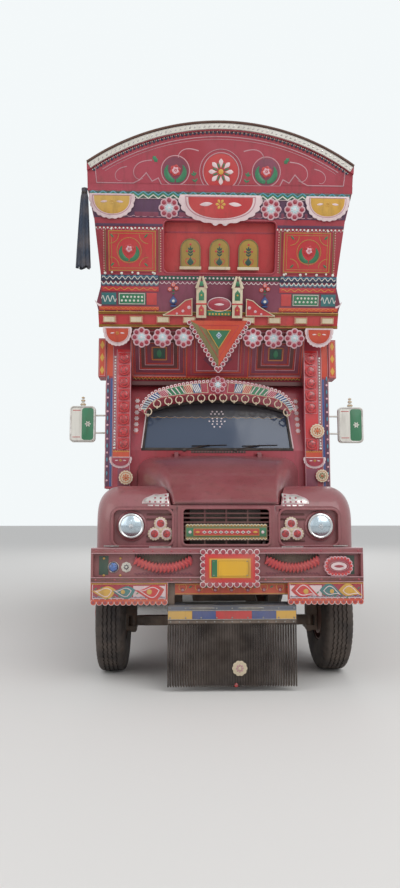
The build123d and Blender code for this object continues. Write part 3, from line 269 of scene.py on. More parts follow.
def woven(name, colour, shadow, thread_mm=2.0):
    """Plain-woven cotton: two sets of threads cross, drawn twice as coarse as
    the real 1 mm yarn so that the weave shows, with dust in soft blotches."""
    made, tree, place, output = new_material(name)
    weave = []
    for turn in (0.0, math.pi / 2):
        turned = add_node(tree, "ShaderNodeMapping", {"Vector": place, "Rotation": (0, 0.3, turn)})
        weave.append(add_node(tree, "ShaderNodeTexWave", {"Vector": turned.outputs[0],
            "Scale": 1000 / thread_mm / 20, "Distortion": 0.6}).outputs["Fac"])
    cross = maths(tree, "MULTIPLY", *weave)
    shade = blend_colour(tree, cross, linear(shadow), linear(colour))
    shade = blend_colour(tree, ramp(tree, noise(tree, place, 200, 4.0), 0.4, 0.75, 0, 0.35), shade,
        ROAD_DUST)
    finish_off(tree, output, shade, 0.9, cross, 0.6, **{"Sheen Weight": 0.25})
    return made


def clear_glass(name, colour, transmission, roughness=0.03):
    """Flat glass with a tint and a thin film of dust."""
    made, tree, place, output = new_material(name)
    film = ramp(tree, noise(tree, place, 180, 5.0), 0.45, 0.8, roughness, roughness + 0.14)
    finish_off(tree, output, linear(colour), film, **{"Transmission Weight": transmission, "IOR": 1.5})
    return made


def cast_iron(name, colour, rust):
    """Cast and forged iron under soot, oil and old rust."""
    made, tree, place, output = new_material(name)
    spots = ramp(tree, noise(tree, place, 55, 7.0, 0.7), 0.5, 0.7)
    shade = blend_colour(tree, spots, linear(colour), linear(rust))
    shade = blend_colour(tree, dust_share(tree, place, 0.8), shade, ROAD_DUST)
    finish_off(tree, output, shade, ramp(tree, spots, 0, 1, 0.5, 0.85), noise(tree, place, 6, 5.0, 0.7),
        0.8, Metallic=0.3)
    return made


def chequer_plate(name, colour):
    """Rolled floor plate: small raised lozenges in rows, 30 mm apart."""
    made, tree, place, output = new_material(name)
    turned = add_node(tree, "ShaderNodeMapping", {"Vector": place, "Rotation": (0, 0, math.pi / 4)})
    brick = add_node(tree, "ShaderNodeTexVoronoi", {"Vector": turned.outputs[0], "Scale": 1000 / 30,
        "Randomness": 0.0})
    stud = ramp(tree, brick.outputs["Distance"], 0.2, 0.45, 1.0, 0.0)
    shade = blend_colour(tree, ramp(tree, noise(tree, place, 80, 6.0), 0.4, 0.7), linear(colour),
        linear("#5a4436"))
    shade = blend_colour(tree, dust_share(tree, place, 0.7), shade, ROAD_DUST)
    finish_off(tree, output, shade, 0.5, stud, 1.2, Metallic=0.6)
    return made


FINISHES = {}


def finish(name):
    """The material of this name."""
    return FINISHES[name]


# Names of the finishes that come up often

GOLD = "golden_yellow_enamel"
ROSE_WHITE = "rose_white_enamel"
SCARLET = "scarlet_brushed_enamel"
LEAF_GREEN = "leaf_green_enamel"
ORANGE = "orange_red_enamel"
WHITE = "white_enamel"
CREAM = "cream_brushed_enamel"
CRIMSON = "crimson_brushed_enamel"
BLACK = "black_chassis_enamel"
MAROON = "maroon_sprayed_enamel"
DARK_MAROON = "dark_maroon_enamel"
BLUSH = "blush_line_enamel"
SKY_BLUE = "sky_blue_enamel"
DEEP_BLUE = "deep_blue_enamel"
MULBERRY = "mulberry_brushed_enamel"
OLD_GOLD = "old_gold_enamel"
BOTTLE_GREEN = "bottle_green_enamel"
TEAL = "teal_brushed_enamel"
PLUM = "plum_enamel"
OLIVE = "olive_enamel"
NAVY = "navy_enamel"
STEEL = "worn_steel"
TIN = "pressed_tin"
RED_LENS = "red_reflector"
ZIGZAG_COLOURS = (WHITE, LEAF_GREEN, SKY_BLUE)

ENAMEL_ROWS = [
    # name, colour, faded colour, roughness, dust share
    (MAROON, "#823a42", "#985a60", 0.34, 0.35),
    (DARK_MAROON, "#4d161b", "#662a2e", 0.40, 0.5),
    (CRIMSON, "#96202f", "#a64353", 0.42, 0.25),
    (MULBERRY, "#6d2138", "#84455a", 0.45, 0.25),
    (SCARLET, "#b3202a", "#bf4a48", 0.38, 0.3),
    (ORANGE, "#c0391f", "#c8593c", 0.42, 0.3),
    (CREAM, "#d8ccb0", "#c2b195", 0.45, 0.3),
    (ROSE_WHITE, "#e6d3d3", "#cfb3b6", 0.42, 0.3),
    (BLUSH, "#c79aa0", "#a97880", 0.45, 0.2),
    (LEAF_GREEN, "#1f6a45", "#3b7f5c", 0.42, 0.3),
    (BOTTLE_GREEN, "#123f33", "#2b5549", 0.42, 0.3),
    (TEAL, "#1d5f63", "#3f7b7b", 0.42, 0.3),
    (SKY_BLUE, "#3f8fa8", "#6aa5b5", 0.42, 0.3),
    (DEEP_BLUE, "#1d3f7c", "#3a5688", 0.42, 0.4),
    (NAVY, "#18213f", "#2e3654", 0.42, 0.3),
    (PLUM, "#43203f", "#5d3c58", 0.45, 0.25),
    ("violet_enamel", "#6a3f7c", "#85659a", 0.42, 0.3),
    (GOLD, "#d09a2c", "#c7a458", 0.42, 0.4),
    (OLD_GOLD, "#a8842f", "#8d7a45", 0.4, 0.25),
    (OLIVE, "#6f6a3c", "#837c55", 0.45, 0.3),
    ("number_yellow_enamel", "#dba722", "#cb9b35", 0.4, 0.2),
    (WHITE, "#e4e2da", "#c9c5b8", 0.36, 0.35),
    ("slate_brushed_enamel", "#474d59", "#666c78", 0.34, 0.2),
    (BLACK, "#1b1816", "#302824", 0.55, 0.8),
    ("brown_painted_steel", "#4a2b22", "#5f4032", 0.55, 0.6),
    ("wheel_enamel", "#5d2226", "#7a3a3a", 0.45, 0.7),
]


FINISH_ROWS = [
    # maker, name, then what the maker takes
    (pressed_metal, TIN, "#c9c4c2", "#8d8480"),
    (bright_metal, "chromed_steel", "#cfcfcf", 0.12),
    (bright_metal, STEEL, "#8d8a86", 0.38, 0.7),
    (reflective_film, "white_film", "#e9dfe2", "#cdb9bf"),
    (reflective_film, "pink_film", "#d9a9b2", "#c38f99"),
    (reflective_film, "crimson_film", "#9d1230", "#8e3348"),
    (reflective_film, "red_film", "#c8141f", "#b82c33"),
    (reflective_film, "pale_cyan_film", "#c3dadd", "#aebfc4"),
    (reflective_film, "orange_film", "#cf5a1e", "#bb6c40"),
    (reflective_film, "blue_film", "#1d4a92", "#3d5f96"),
    (reflective_film, "sun_film", "#12141d", "#1d2130"),
    (lens_plastic, RED_LENS, "#d11a26", "#6d0a14"),
    (lens_plastic, "amber_reflector", "#d9731f", "#8a3c0e"),
    (lens_plastic, "blue_reflector", "#3f7fd0", "#16336d"),
    (lens_plastic, "clear_reflector", "#dfe6ea", "#8f9aa2"),
    (rubber, "tyre_rubber", "#19191d", 0.24),
    (rubber, "strip_rubber", "#1c1410", 0.14),
    (painted_boards, "crimson_boards", "#8c2733", "#9c4a50"),
    (painted_boards, "bare_boards", "#6f5138", "#8a6c4c"),
    (woven, "plain_cotton", "#3f4c5f", "#222b3a"),
    (woven, "seat_cloth", "#6d2b2f", "#3c1518"),
    (clear_glass, "windscreen_glass", "#4c5a72", 0.30, 0.06),
    (bright_metal, "fluted_lamp_glass", "#b9c6cf", 0.12, 0.25),
    (clear_glass, "lamp_lens_glass", "#cfdde2", 0.75, 0.08),
    (bright_metal, "silvered_mirror", "#dfe5e8", 0.03, 0.1),
    (cast_iron, "sooty_iron", "#2a2624", "#5a3a2a"),
    (cast_iron, "leaf_spring_steel", "#38302b", "#6b4028"),
    (chequer_plate, "footboard_plate", "#565a5e"),
    (enamel, "dash_enamel", "#3b1a1d", "#4c2a2c", 0.5, 0.2),
    (rubber, "bakelite_black", "#14110f", 0.2),
]


def make_finishes():
    """Every finish on the truck, each named for the real material."""
    for name, colour, faded, roughness, dust in ENAMEL_ROWS:
        coat = 0.35 if "sprayed" in name else 0.08
        FINISHES[name] = enamel(name, colour, faded, roughness, dust, **{"Coat Weight": coat})
    for maker, name, *settings in FINISH_ROWS:
        FINISHES[name] = maker(name, *settings)


# Shapes, each a pair: points (n, 3) and a list of face arrays


def grid_quads(rows, columns, loop_rows=False):
    """Quads between the points of a grid. They face the side where a turn from
    the column direction to the row direction is anticlockwise."""
    i = np.arange(rows if loop_rows else rows - 1)[:, None]
    j = np.arange(columns)[None, :]
    ni, nj = (i + 1) % rows, (j + 1) % columns
    corners = [i * columns + j, i * columns + nj, ni * columns + nj, ni * columns + j]
    return np.stack([c.ravel() for c in np.broadcast_arrays(*corners)], 1)


def unit(vectors):
    """Vectors at length one."""
    vectors = np.asarray(vectors, float)
    return vectors / np.maximum(np.linalg.norm(vectors, axis=-1, keepdims=True), 1e-12)


FLAT = ((0, 0), (0, 1), (1, 1), (1, 0))
ROUND = ((0, 0), (0.07, 0.72), (0.5, 1), (0.93, 0.72), (1, 0))
RIDGE = ((0, 0), (0, 0.35), (0.5, 1), (1, 0.35), (1, 0))


def stroke(path, width, height, section=FLAT, closed=False):
    """Strip in relief along a flat path. A section point at share t across lies
    at path + (1/2 - t) * width * left normal, raised to its share of height.
    At a corner the strip is widened by one over the cosine of half the turn."""
    path = np.asarray(path, float)
    ahead = unit(np.roll(path, -1, 0) - path)
    if closed:
        tangent = unit(ahead + np.roll(ahead, 1, 0))
    else:
        ahead[-1] = ahead[-2]
        tangent = unit(ahead + np.vstack([ahead[:1], ahead[:-1]]))
    left = np.stack([-tangent[:, 1], tangent[:, 0]], 1)
    straight = np.clip((tangent * ahead).sum(1), 0.35, 1)
    across, lift = np.array(section, float).T
    half = np.broadcast_to(width, len(path)) / straight
    flat = path[:, None] + left[:, None] * ((0.5 - across)[None, :, None] * half[:, None, None])
    rise = np.broadcast_to(height, len(path))[:, None] * lift[None, :]
    points = np.concatenate([flat, rise[..., None]], 2).reshape(-1, 3)
    rows, columns = len(path), len(across)
    faces = [grid_quads(rows, columns, closed)]
    if not closed:
        first = np.arange(columns)[None, ::-1]
        faces.append(np.vstack([first, (rows - 1) * columns + np.arange(columns)[None]]))
    return points, faces


def dome(outline, rings, top=None):
    """Closed shell over an outline round its own middle. A ring's points are
    the outline times its share, at its height; both middles are fans."""
    outline = np.asarray(outline, float)
    count = len(outline)
    shares, heights = np.array(rings, float).T
    flat = outline[None] * shares[:, None, None]
    rise = np.broadcast_to(heights[:, None, None], (len(shares), count, 1))
    top = heights[-1] if top is None else top
    points = np.vstack([np.concatenate([flat, rise], 2).reshape(-1, 3), [[0, 0, 0], [0, 0, top]]])
    i = np.arange(count)
    j = (i + 1) % count
    last = (len(shares) - 1) * count
    back, front = len(points) - 2, len(points) - 1
    fans = np.vstack([np.stack([i * 0 + back, j, i], 1), np.stack([i * 0 + front, last + i, last + j], 1)])
    return points, [grid_quads(len(shares), count), fans]


def button(outline, height, crown=0.0, bevel=0.06):
    """Flat or crowned plate with a small rounded edge."""
    middle = [(0.5, height + crown * 0.75)] if crown else []
    return dome(outline, [(1, 0), (1, height * 0.7), (1 - bevel, height)] + middle, height + crown)


def sweep(section, path, upward=(0, 0, 1), closed=False, sizes=1.0):
    """Section (a, b) carried along a path in space: point = path + a * side +
    b * over, where side = tangent x upward and over = side x tangent."""
    path = np.asarray(path, float)
    if closed:
        tangent = unit(np.roll(path, -1, 0) - np.roll(path, 1, 0))
    else:
        tangent = unit(np.gradient(path, axis=0))
    side = unit(np.cross(tangent, np.asarray(upward, float)))
    over = np.cross(side, tangent)
    section = np.asarray(section, float)
    size = np.broadcast_to(sizes, len(path))[:, None, None]
    points = (path[:, None] + side[:, None] * section[None, :, :1] * size
        + over[:, None] * section[None, :, 1:] * size).reshape(-1, 3)
    rows, columns = len(path), len(section)
    faces = [grid_quads(rows, columns, closed)[:, ::-1]]
    if not closed:
        first = np.arange(columns)[None]
        faces.append(np.vstack([first, (rows - 1) * columns + first[:, ::-1]]))
    return points, faces


def tube(path, radius, sides=12, upward=(0, 0, 1), closed=False):
    """Round bar along a path, its radius one number or one for each point."""
    return sweep(circle(1.0, sides), path, upward, closed, radius)


def copies(shape, places, turns=0.0, sizes=1.0):
    """The same shape at many places, each turned in its plane and resized."""
    points, faces = shape
    places = np.atleast_2d(np.asarray(places, float))
    if places.shape[1] == 2:
        places = np.column_stack([places, np.zeros(len(places))])
    count = len(places)
    turn = np.broadcast_to(turns, count)[:, None]
    size = np.broadcast_to(sizes, count)[:, None, None]
    x = points[None, :, 0] * np.cos(turn) - points[None, :, 1] * np.sin(turn)
    y = points[None, :, 0] * np.sin(turn) + points[None, :, 1] * np.cos(turn)
    z = np.broadcast_to(points[None, :, 2], x.shape)
    moved = np.stack([x, y, z], 2) * size + places[:, None]
    shift = (np.arange(count) * len(points))[:, None, None]
    return moved.reshape(-1, 3), [(f[None] + shift).reshape(-1, f.shape[1]) for f in faces]


# Outlines and lines, anticlockwise, in metres


def full_turn(count):
    """Angles evenly spaced once round."""
    return np.linspace(0, 2 * np.pi, count, endpoint=False)


def spokes(turn):
    """Unit vectors at these angles."""
    return np.stack([np.cos(turn), np.sin(turn)], 1)


def circle(radius, sides=32, start=0.0):
    """Round outline."""
    return radius * spokes(full_turn(sides) + start)


def flower(radius, lobes, deep=0.16, sides=64, start=0.0):
    """Lobed outline: radius * (1 - deep * (1 - |cos(lobes * turn / 2)|))."""
    turn = full_turn(sides)
    reach = radius * (1 - deep * (1 - np.abs(np.cos(lobes * (turn - start) / 2))))
    return np.stack([reach * np.cos(turn), reach * np.sin(turn)], 1)


def rounded(width, height, radius, steps=5):
    """Rectangle whose corners are quarter circles."""
    turn = np.linspace(0, np.pi / 2, steps)
    quarter = radius * spokes(turn)
    parts = []
    for k, (sx, sy) in enumerate(((1, 1), (-1, 1), (-1, -1), (1, -1))):
        c, s = math.cos(k * math.pi / 2), math.sin(k * math.pi / 2)
        corner = np.array([sx * (width / 2 - radius), sy * (height / 2 - radius)])
        parts.append(quarter @ np.array([[c, s], [-s, c]]) + corner)
    return np.vstack(parts)


def leaf(length, width, sides=24):
    """Pointed oval along X: half width = width / 2 * sin(pi * t) ** 0.8."""
    t = np.linspace(0, 1, sides // 2 + 1)
    half = width / 2 * np.sin(np.pi * t) ** 0.8
    x = length * (t - 0.5)
    return np.vstack([np.stack([x, -half], 1)[:-1], np.stack([x, half], 1)[:0:-1]])


def drop(length, width, sides=24):
    """Teardrop along X, round at its far end: half width = width / 2 *
    sin(pi * t ** 1.6)."""
    t = np.linspace(0, 1, sides // 2 + 1)
    half = width / 2 * np.sin(np.pi * t ** 1.6)
    x = length * (t - 0.62)
    return np.vstack([np.stack([x, -half], 1)[:-1], np.stack([x, half], 1)[:0:-1]])


def arc(centre, radius, start, end, steps=24):
    """Part of a circle, angles in degrees."""
    turn = np.radians(np.linspace(start, end, steps))
    return np.asarray(centre, float) + radius * spokes(turn)


def curl(start, angle, length, turn, grow=2.0, steps=28):
    """Line that curls: its heading goes from angle by turn, faster towards its
    end as share ** grow, and the points are the summed steps."""
    share = np.linspace(0, 1, steps)
    heading = np.radians(angle + turn * share ** grow)
    step = length / (steps - 1)
    moves = spokes(heading) * step
    return np.asarray(start, float) + np.vstack([[0, 0], np.cumsum(moves[:-1], 0)])


def polyline(points, spacing=0.02):
    """Corner points with more points between them, about spacing apart."""
    points = np.asarray(points, float)
    parts = []
    for a, b in zip(points[:-1], points[1:]):
        count = max(1, int(round(np.linalg.norm(b - a) / spacing)))
        parts.append(a + (b - a) * np.linspace(0, 1, count, endpoint=False)[:, None])
    return np.vstack(parts + [points[-1:]])


def wave(x0, x1, y, swing, count, steps=6, kind="sine"):
    """Line that swings about a level: sine, zigzag or a row of scallops."""
    t = np.linspace(0, count, count * steps + 1)
    if kind == "sine":
        y_values = y + swing * np.sin(2 * np.pi * t)
    elif kind == "zigzag":
        y_values = y + swing * (1 - 4 * np.abs((t + 0.25) % 1 - 0.5))
    else:
        y_values = y - swing * np.abs(np.sin(np.pi * t))
    return np.stack([x0 + (x1 - x0) * t / count, y_values], 1)


def row(x0, x1, y, count):
    """Evenly spaced places along a level line."""
    return np.stack([np.linspace(x0, x1, count), np.full(count, float(y))], 1)


def along(path, count, closed=False):
    """Evenly spaced places along a line, and the line's heading at each."""
    path = np.asarray(path, float)
    if closed:
        path = np.vstack([path, path[:1]])
    steps = np.r_[0, np.cumsum(np.linalg.norm(np.diff(path, axis=0), axis=1))]
    share = np.linspace(0, steps[-1], count, endpoint=not closed)
    places = np.stack([np.interp(share, steps, path[:, k]) for k in (0, 1)], 1)
    beyond = np.stack([np.interp(share + 1e-4, steps, path[:, k]) for k in (0, 1)], 1)
    before = np.stack([np.interp(share - 1e-4, steps, path[:, k]) for k in (0, 1)], 1)
    heading = np.arctan2((beyond - before)[:, 1], (beyond - before)[:, 0])
    return places, heading


class Board:
    """Flat place to work on: across, up, and out of it, from an origin."""

    def __init__(self, origin, across=(1, 0, 0), upward=(0, 0, 1)):
        self.origin = np.array(origin, float)
        across, upward = unit(across), unit(upward)
        self.axes = np.array([across, upward, np.cross(across, upward)])

    def lay(self, points):
        """Points of the board as places in the truck's frame."""
        return self.origin + points @ self.axes

    def lifted(self, height):
        """The same board, raised off its face."""
        made = Board(self.origin)
        made.axes = self.axes
        made.origin = self.origin + self.axes[2] * height
        return made


def front_board(depth):
    """Upright board facing forward, X across and height up."""
    return Board((0, at(depth), 0))


CROWN = Board((0, at(CROWN_FOOT_DEPTH), CROWN_FOOT_Z), (1, 0, 0), (0, -math.sin(CROWN_LEAN),
    math.cos(CROWN_LEAN)))


class Piece:
    """Gathers shapes with their finishes and joins them into one mesh."""

    def __init__(self, name):
        self.name = name
        self.points, self.faces, self.finishes, self.marks = [], [], [], []
        self.count = 0

    def add(self, shape, finish_name, board=None, place=None, turn=0.0, size=1.0):
        """One shape, moved to its place on a board."""
        if place is not None:
            shape = copies(shape, place, turn, size)
        points, faces = shape
        if board is not None:
            points = board.lay(points)
        if finish_name not in self.finishes:
            self.finishes.append(finish_name)
        self.points.append(points)
        for face_rows in faces:
            self.faces.append(face_rows + self.count)
            self.marks.append(np.full(len(face_rows), self.finishes.index(finish_name)))
        self.count += len(points)
        return self

    def line(self, path, width, height, finish_name, board, closed=False):
        """Rounded strip along a path."""
        return self.add(stroke(path, width, height, ROUND, closed), finish_name, board)

    def bar(self, x0, x1, y0, y1, height, finish_name, board, bevel=0.004):
        """Flat bar between two corners."""
        return self.add(bar(x0, x1, y0, y1, height, bevel), finish_name, board)

    def build(self, body="chassis", slot=None, stands_for=(), smooth=40.0):
        """The joined mesh as an object that rides on a body."""
        mesh = bpy.data.meshes.new(self.name)
        points = np.vstack(self.points)
        widths = np.concatenate([np.full(len(f), f.shape[1]) for f in self.faces])
        corners = np.concatenate([f.ravel() for f in self.faces])
        mesh.vertices.add(len(points))
        mesh.vertices.foreach_set("co", points.astype(np.float32).ravel())
        mesh.loops.add(len(corners))
        mesh.loops.foreach_set("vertex_index", corners.astype(np.int32))
        mesh.polygons.add(len(widths))
        mesh.polygons.foreach_set("loop_start", np.r_[0, np.cumsum(widths)[:-1]].astype(np.int32))
        mesh.polygons.foreach_set("material_index", np.concatenate(self.marks).astype(np.int32))
        mesh.update(calc_edges=True)
        mesh.validate()
        for name in self.finishes:
            mesh.materials.append(finish(name))
        mesh.shade_smooth()
        mesh.set_sharp_from_angle(angle=math.radians(smooth))
        made = bpy.data.objects.new(self.name, mesh)
        bpy.context.scene.collection.objects.link(made)
        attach(made, body)
        if stands_for:
            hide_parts(*stands_for)
        return made


# Painted motifs, added to a piece at a place on a board


def oblong(width, height):
    """Corners of a rectangle about its middle, anticlockwise."""
    return np.array([(-1, -1), (1, -1), (1, 1), (-1, 1)]) * (width / 2, height / 2)


def filled(upper, lower, height):
    """Plate between two lines of as many points, both running to the right:
    a point at share t across lies at upper + t * (lower - upper)."""
    upper, lower = np.asarray(upper, float), np.asarray(lower, float)
    across, lift = np.array(FLAT, float).T
    flat = upper[:, None] + (lower - upper)[:, None] * across[None, :, None]
    rise = np.broadcast_to(height * lift, flat.shape[:2])
    points = np.concatenate([flat, rise[..., None]], 2).reshape(-1, 3)
    rows, columns = len(upper), len(across)
    first = np.arange(columns)[None]
    return points, [grid_quads(rows, columns), np.vstack([first[:, ::-1], (rows - 1) * columns + first])]


def bar(x0, x1, y0, y1, height, bevel=0.004):
    """Flat bar between two corners, with a small bevel."""
    width, tall = x1 - x0, y1 - y0
    points, faces = dome(oblong(1, 1), [(1, 0), (1, height * 0.7), (1, height), (0.5, height)])
    inset = min(bevel, width / 3, tall / 3)
    points = points * (width, tall, 1)
    points[8:12, :2] -= np.sign(points[8:12, :2]) * inset
    return points + ((x0 + x1) / 2, (y0 + y1) / 2, 0), faces


def framed(piece, board, middle, width, height, line, finish_name, rise=0.004, radius=None):
    """Line drawn round a rectangle, its corners round where a radius is given."""
    path = oblong(width, height) if radius is None else rounded(width, height, radius)
    piece.line(path + np.asarray(middle), line, rise, finish_name, board, True)


def ringed(piece, board, middle, radius, line, finish_name, rise=0.004, sides=40):
    """Round line."""
    piece.line(circle(radius, sides) + np.asarray(middle), line, rise, finish_name, board, True)


def petals(piece, board, middle, radius, count, petal, finish_name, start=0.0, lift=0.0):
    """Ring of copies of a petal, each pointing outwards."""
    turns = full_turn(count) + start
    places = np.column_stack([middle[0] + radius * np.cos(turns), middle[1] + radius * np.sin(turns),
        np.full(count, lift)])
    piece.add(petal, finish_name, board, places, turns)


def rose(piece, board, middle, radius, outer=SCARLET, inner="pink_film", lift=0.0):
    """Painted rose: two rings of overlapping petals round a curled heart."""
    petal = button(drop(radius * 0.95, radius * 0.75, 16), 0.003, 0.003)
    petals(piece, board, middle, radius * 0.55, 6, petal, outer, 0.3, lift)
    petals(piece, board, middle, radius * 0.33, 5, copies(petal, [(0, 0)], 0, 0.72), inner, 0.8,
        lift + 0.003)
    heart_line = curl((middle[0] - radius * 0.12, middle[1]), 80, radius * 1.5, -560, 1.0, 22)
    piece.line(heart_line, radius * 0.09, 0.003, outer, board.lifted(lift + 0.006))


def sprig(piece, board, middle, angle, length, finish_name, pairs=3):
    """Stem with pairs of leaves and one at its tip."""
    heading = np.array([math.cos(angle), math.sin(angle)])
    stem = np.asarray(middle, float) + heading * np.linspace(0, length, 6)[:, None]
    piece.line(stem, length * 0.035, 0.003, finish_name, board)
    blade = button(leaf(length * 0.42, length * 0.17, 14), 0.002, 0.003)
    for side in (-1, 1):
        share = np.linspace(0.25, 0.8, pairs)[:, None] * length
        lean = angle + side * 0.75
        out = np.array([math.cos(lean), math.sin(lean)]) * length * 0.19
        piece.add(blade, finish_name, board, np.asarray(middle) + heading * share + out, lean)
    piece.add(blade, finish_name, board, np.asarray(middle) + heading * length * 1.05, angle)


def crescents(piece, board, middle, radius, finish_name=LEAF_GREEN):
    """Two leafy crescents that cup a rose from below, with pointed tips."""
    for side in (-1, 1):
        path = arc(middle, radius, -90 + side * 4, -90 + side * 128, 18)
        if side < 0:
            path = path[::-1]
        share = np.linspace(0, 1, 18) if side > 0 else np.linspace(1, 0, 18)
        piece.line(path, radius * (0.05 + 0.55 * np.sin(np.pi * np.clip(share * 0.8 + 0.18, 0, 1))), 0.004,
            finish_name, board)


def scroll(piece, board, start, angle, length, turn, width, finish_name):
    """Painted scroll and its mirror image about the middle line."""
    line = curl(start, angle, length, turn)
    taper = width * np.linspace(1, 0.45, len(line))
    piece.line(line, taper, 0.003, finish_name, board)
    piece.line(line * (-1, 1), taper, 0.003, finish_name, board)


def dots(piece, board, places, radius, finish_name, rise=0.004, sides=12):
    """Small domed studs."""
    piece.add(dome(circle(radius, sides), [(1, 0), (0.92, rise * 0.6), (0.55, rise * 0.93)], rise),
        finish_name, board, places)


def rosette_face(piece, board, middle, radius, lobes=8):
    """Face of a lobed plate: crimson studs ringed in pink round a pale middle."""
    turns = full_turn(lobes)
    places = np.asarray(middle) + radius * 0.68 * spokes(turns)
    ring = stroke(circle(radius * 0.255, 18), radius * 0.09, 0.005, ROUND, True)
    piece.add(ring, "pink_film", board, places)
    dots(piece, board, places, radius * 0.2, "crimson_film", 0.009, 14)
    star = flower(radius * 0.40, lobes, 0.42, 64, math.pi / lobes)
    piece.add(button(star, 0.005, 0.002), "pale_cyan_film", board, middle)
    dots(piece, board, [middle], radius * 0.14, "white_film", 0.011, 14)


def pendant_outline(half, drop_length, scallops=0, deep=0.0, count=72):
    """Straight top and two bulging sides to a point below, about a middle that
    lies a third of the way down. Scallops push the lower edge out and in."""
    lower = np.linspace(0, 1, count)
    x = half * np.cos(np.pi * lower)
    y = -drop_length * np.sin(np.pi * lower) ** 0.72
    out = 1 + deep * np.abs(np.sin(np.pi * scallops * lower)) if scallops else 1
    middle = np.array([0, -drop_length * 0.33])
    return (np.stack([-x, y], 1) - middle) * np.stack([out + 0 * x, out + 0 * x], 1), middle


def hanging_plate(piece, board, x, top, half, drop_length, field, lift):
    """Pendant plate: scalloped pale rim, a beaded line, a coloured field and a
    flower between two leaves in its middle."""
    outline, middle = pendant_outline(half, drop_length, 12, 0.055)
    place = (x + middle[0], top + middle[1])
    raised = board.lifted(lift)
    piece.add(button(outline, 0.003, 0.001, 0.02), ROSE_WHITE, raised, place)
    inner, _ = pendant_outline(half * 0.80, drop_length * 0.74)
    piece.add(stroke(inner * 1.08, half * 0.03, 0.007, ROUND, True), BLUSH, raised, place)
    piece.add(button(inner, 0.006, 0.001, 0.03), field, raised, place)
    petal = button(drop(half * 0.12, half * 0.07, 12), 0.009, 0.002)
    petals(piece, raised, place, half * 0.085, 6, petal, GOLD)
    for side in (-1, 1):
        blade = button(leaf(half * 0.34, half * 0.1, 14), 0.008, 0.002)
        piece.add(blade, ROSE_WHITE, raised, (place[0] + side * half * 0.36, place[1]), -side * 0.1)


def chevrons(piece, board, x0, x1, y, swing, count, colours, line):
    """Nested zigzags of several colours along a strip."""
    for k, name in enumerate(colours):
        path = wave(x0, x1, y + (k - (len(colours) - 1) / 2) * swing * 0.9, swing, count, 4, "zigzag")
        piece.add(stroke(path, line, 0.003 + 0.0006 * k, FLAT), name, board)


def through(first, middle, last, steps=24):
    """Arc through three points: its centre is as far from all three."""
    ends = np.array([first, middle, last], float)
    chords = np.diff(ends, axis=0)
    centre = np.linalg.solve(chords, (chords * (ends[:-1] + ends[1:]) / 2).sum(1))
    turns = np.degrees(np.unwrap(np.arctan2(*(ends - centre).T[::-1])))
    return arc(centre, np.linalg.norm(ends[0] - centre), turns[0], turns[2], steps)


def chained(arcs, count):
    """Evenly spaced points along several three-point arcs that join end to end."""
    line = np.vstack([through(*points, 40) for points in arcs])
    keep = np.r_[True, np.linalg.norm(np.diff(line, axis=0), axis=1) > 1e-6]
    return along(line[keep], count)[0]


class RoundBoard:
    """Board bent over the wings' rounded front edge: its height runs along the
    arc, depth = middle - reach * cos(turn), height = middle + reach * sin(turn)."""

    MIDDLE_DEPTH = 0.465
    MIDDLE_Z = 1.330
    RADIUS = 0.300

    def __init__(self, lift=0.0004):
        self.lift = lift

    def lay(self, points):
        """Points of the board as places in the truck's frame."""
        turn = points[:, 1] / self.RADIUS
        reach = self.RADIUS + self.lift + points[:, 2]
        return np.stack([points[:, 0], at(self.MIDDLE_DEPTH) - reach * np.cos(turn),
            self.MIDDLE_Z + reach * np.sin(turn)], 1)

    def lifted(self, height):
        """The same board, raised off its face."""
        return RoundBoard(self.lift + height)


def fluted_lens(radius, ball, flute, rings=22, sides=72):
    """Pressed lamp glass: height = sqrt(ball^2 - r^2) less its edge, plus ribs
    across, 0.9 mm high, every flute."""
    reach = np.linspace(0.02, 1, rings)[::-1, None] * radius
    turn = full_turn(sides)[None, :]
    x, y = reach * np.cos(turn), reach * np.sin(turn)
    fade = np.clip((radius - reach) / 0.012, 0, 1)
    rise = np.sqrt(ball ** 2 - reach ** 2) - math.sqrt(ball ** 2 - radius ** 2)
    z = rise + 0.0009 * np.cos(2 * np.pi * x / flute) * fade
    top = ball - math.sqrt(ball ** 2 - radius ** 2) + 0.0009
    points = np.vstack([np.stack([x, y, z], 2).reshape(-1, 3), [[0, 0, -0.004], [0, 0, top]]])
    i = np.arange(sides)
    j = (i + 1) % sides
    last = (rings - 1) * sides
    fans = np.vstack([np.stack([i * 0 + len(points) - 2, j, i], 1),
        np.stack([i * 0 + len(points) - 1, last + i, last + j], 1)])
    return points, [grid_quads(rings, sides), fans]


def medal(piece, board, middle, radius, petal, heart, eye, lobes=12):
    """Round plate: a lobed rim, a ring of petals and a domed eye."""
    piece.add(button(flower(radius, lobes, 0.1, 6 * lobes), 0.004, 0.001), petal, board, middle)
    ringed(piece, board.lifted(0.003), middle, radius * 0.72, radius * 0.09, eye, 0.003, 30)
    blade = button(drop(radius * 0.42, radius * 0.24, 12), 0.003, 0.002)
    petals(piece, board.lifted(0.004), middle, radius * 0.38, 8, blade, heart)
    dots(piece, board.lifted(0.005), [middle], radius * 0.22, eye, 0.007, 16)


def paisley(piece, board, middle, size, turn, finish_name, line, heart):
    """Bent teardrop with a line inside it and a round eye."""
    outline = drop(size, size * 0.50, 22)
    outline = outline + np.stack([0 * outline[:, 0], 0.45 * outline[:, 0] ** 2 / size], 1)
    piece.add(button(outline - outline.mean(0), 0.003, 0.001), finish_name, board, middle, turn)
    inner = (outline - outline.mean(0)) * 0.66
    piece.add(stroke(inner, size * 0.035, 0.005, ROUND, True), line, board, middle, turn)
    dots(piece, board.lifted(0.003), [middle], size * 0.09, heart, 0.004)


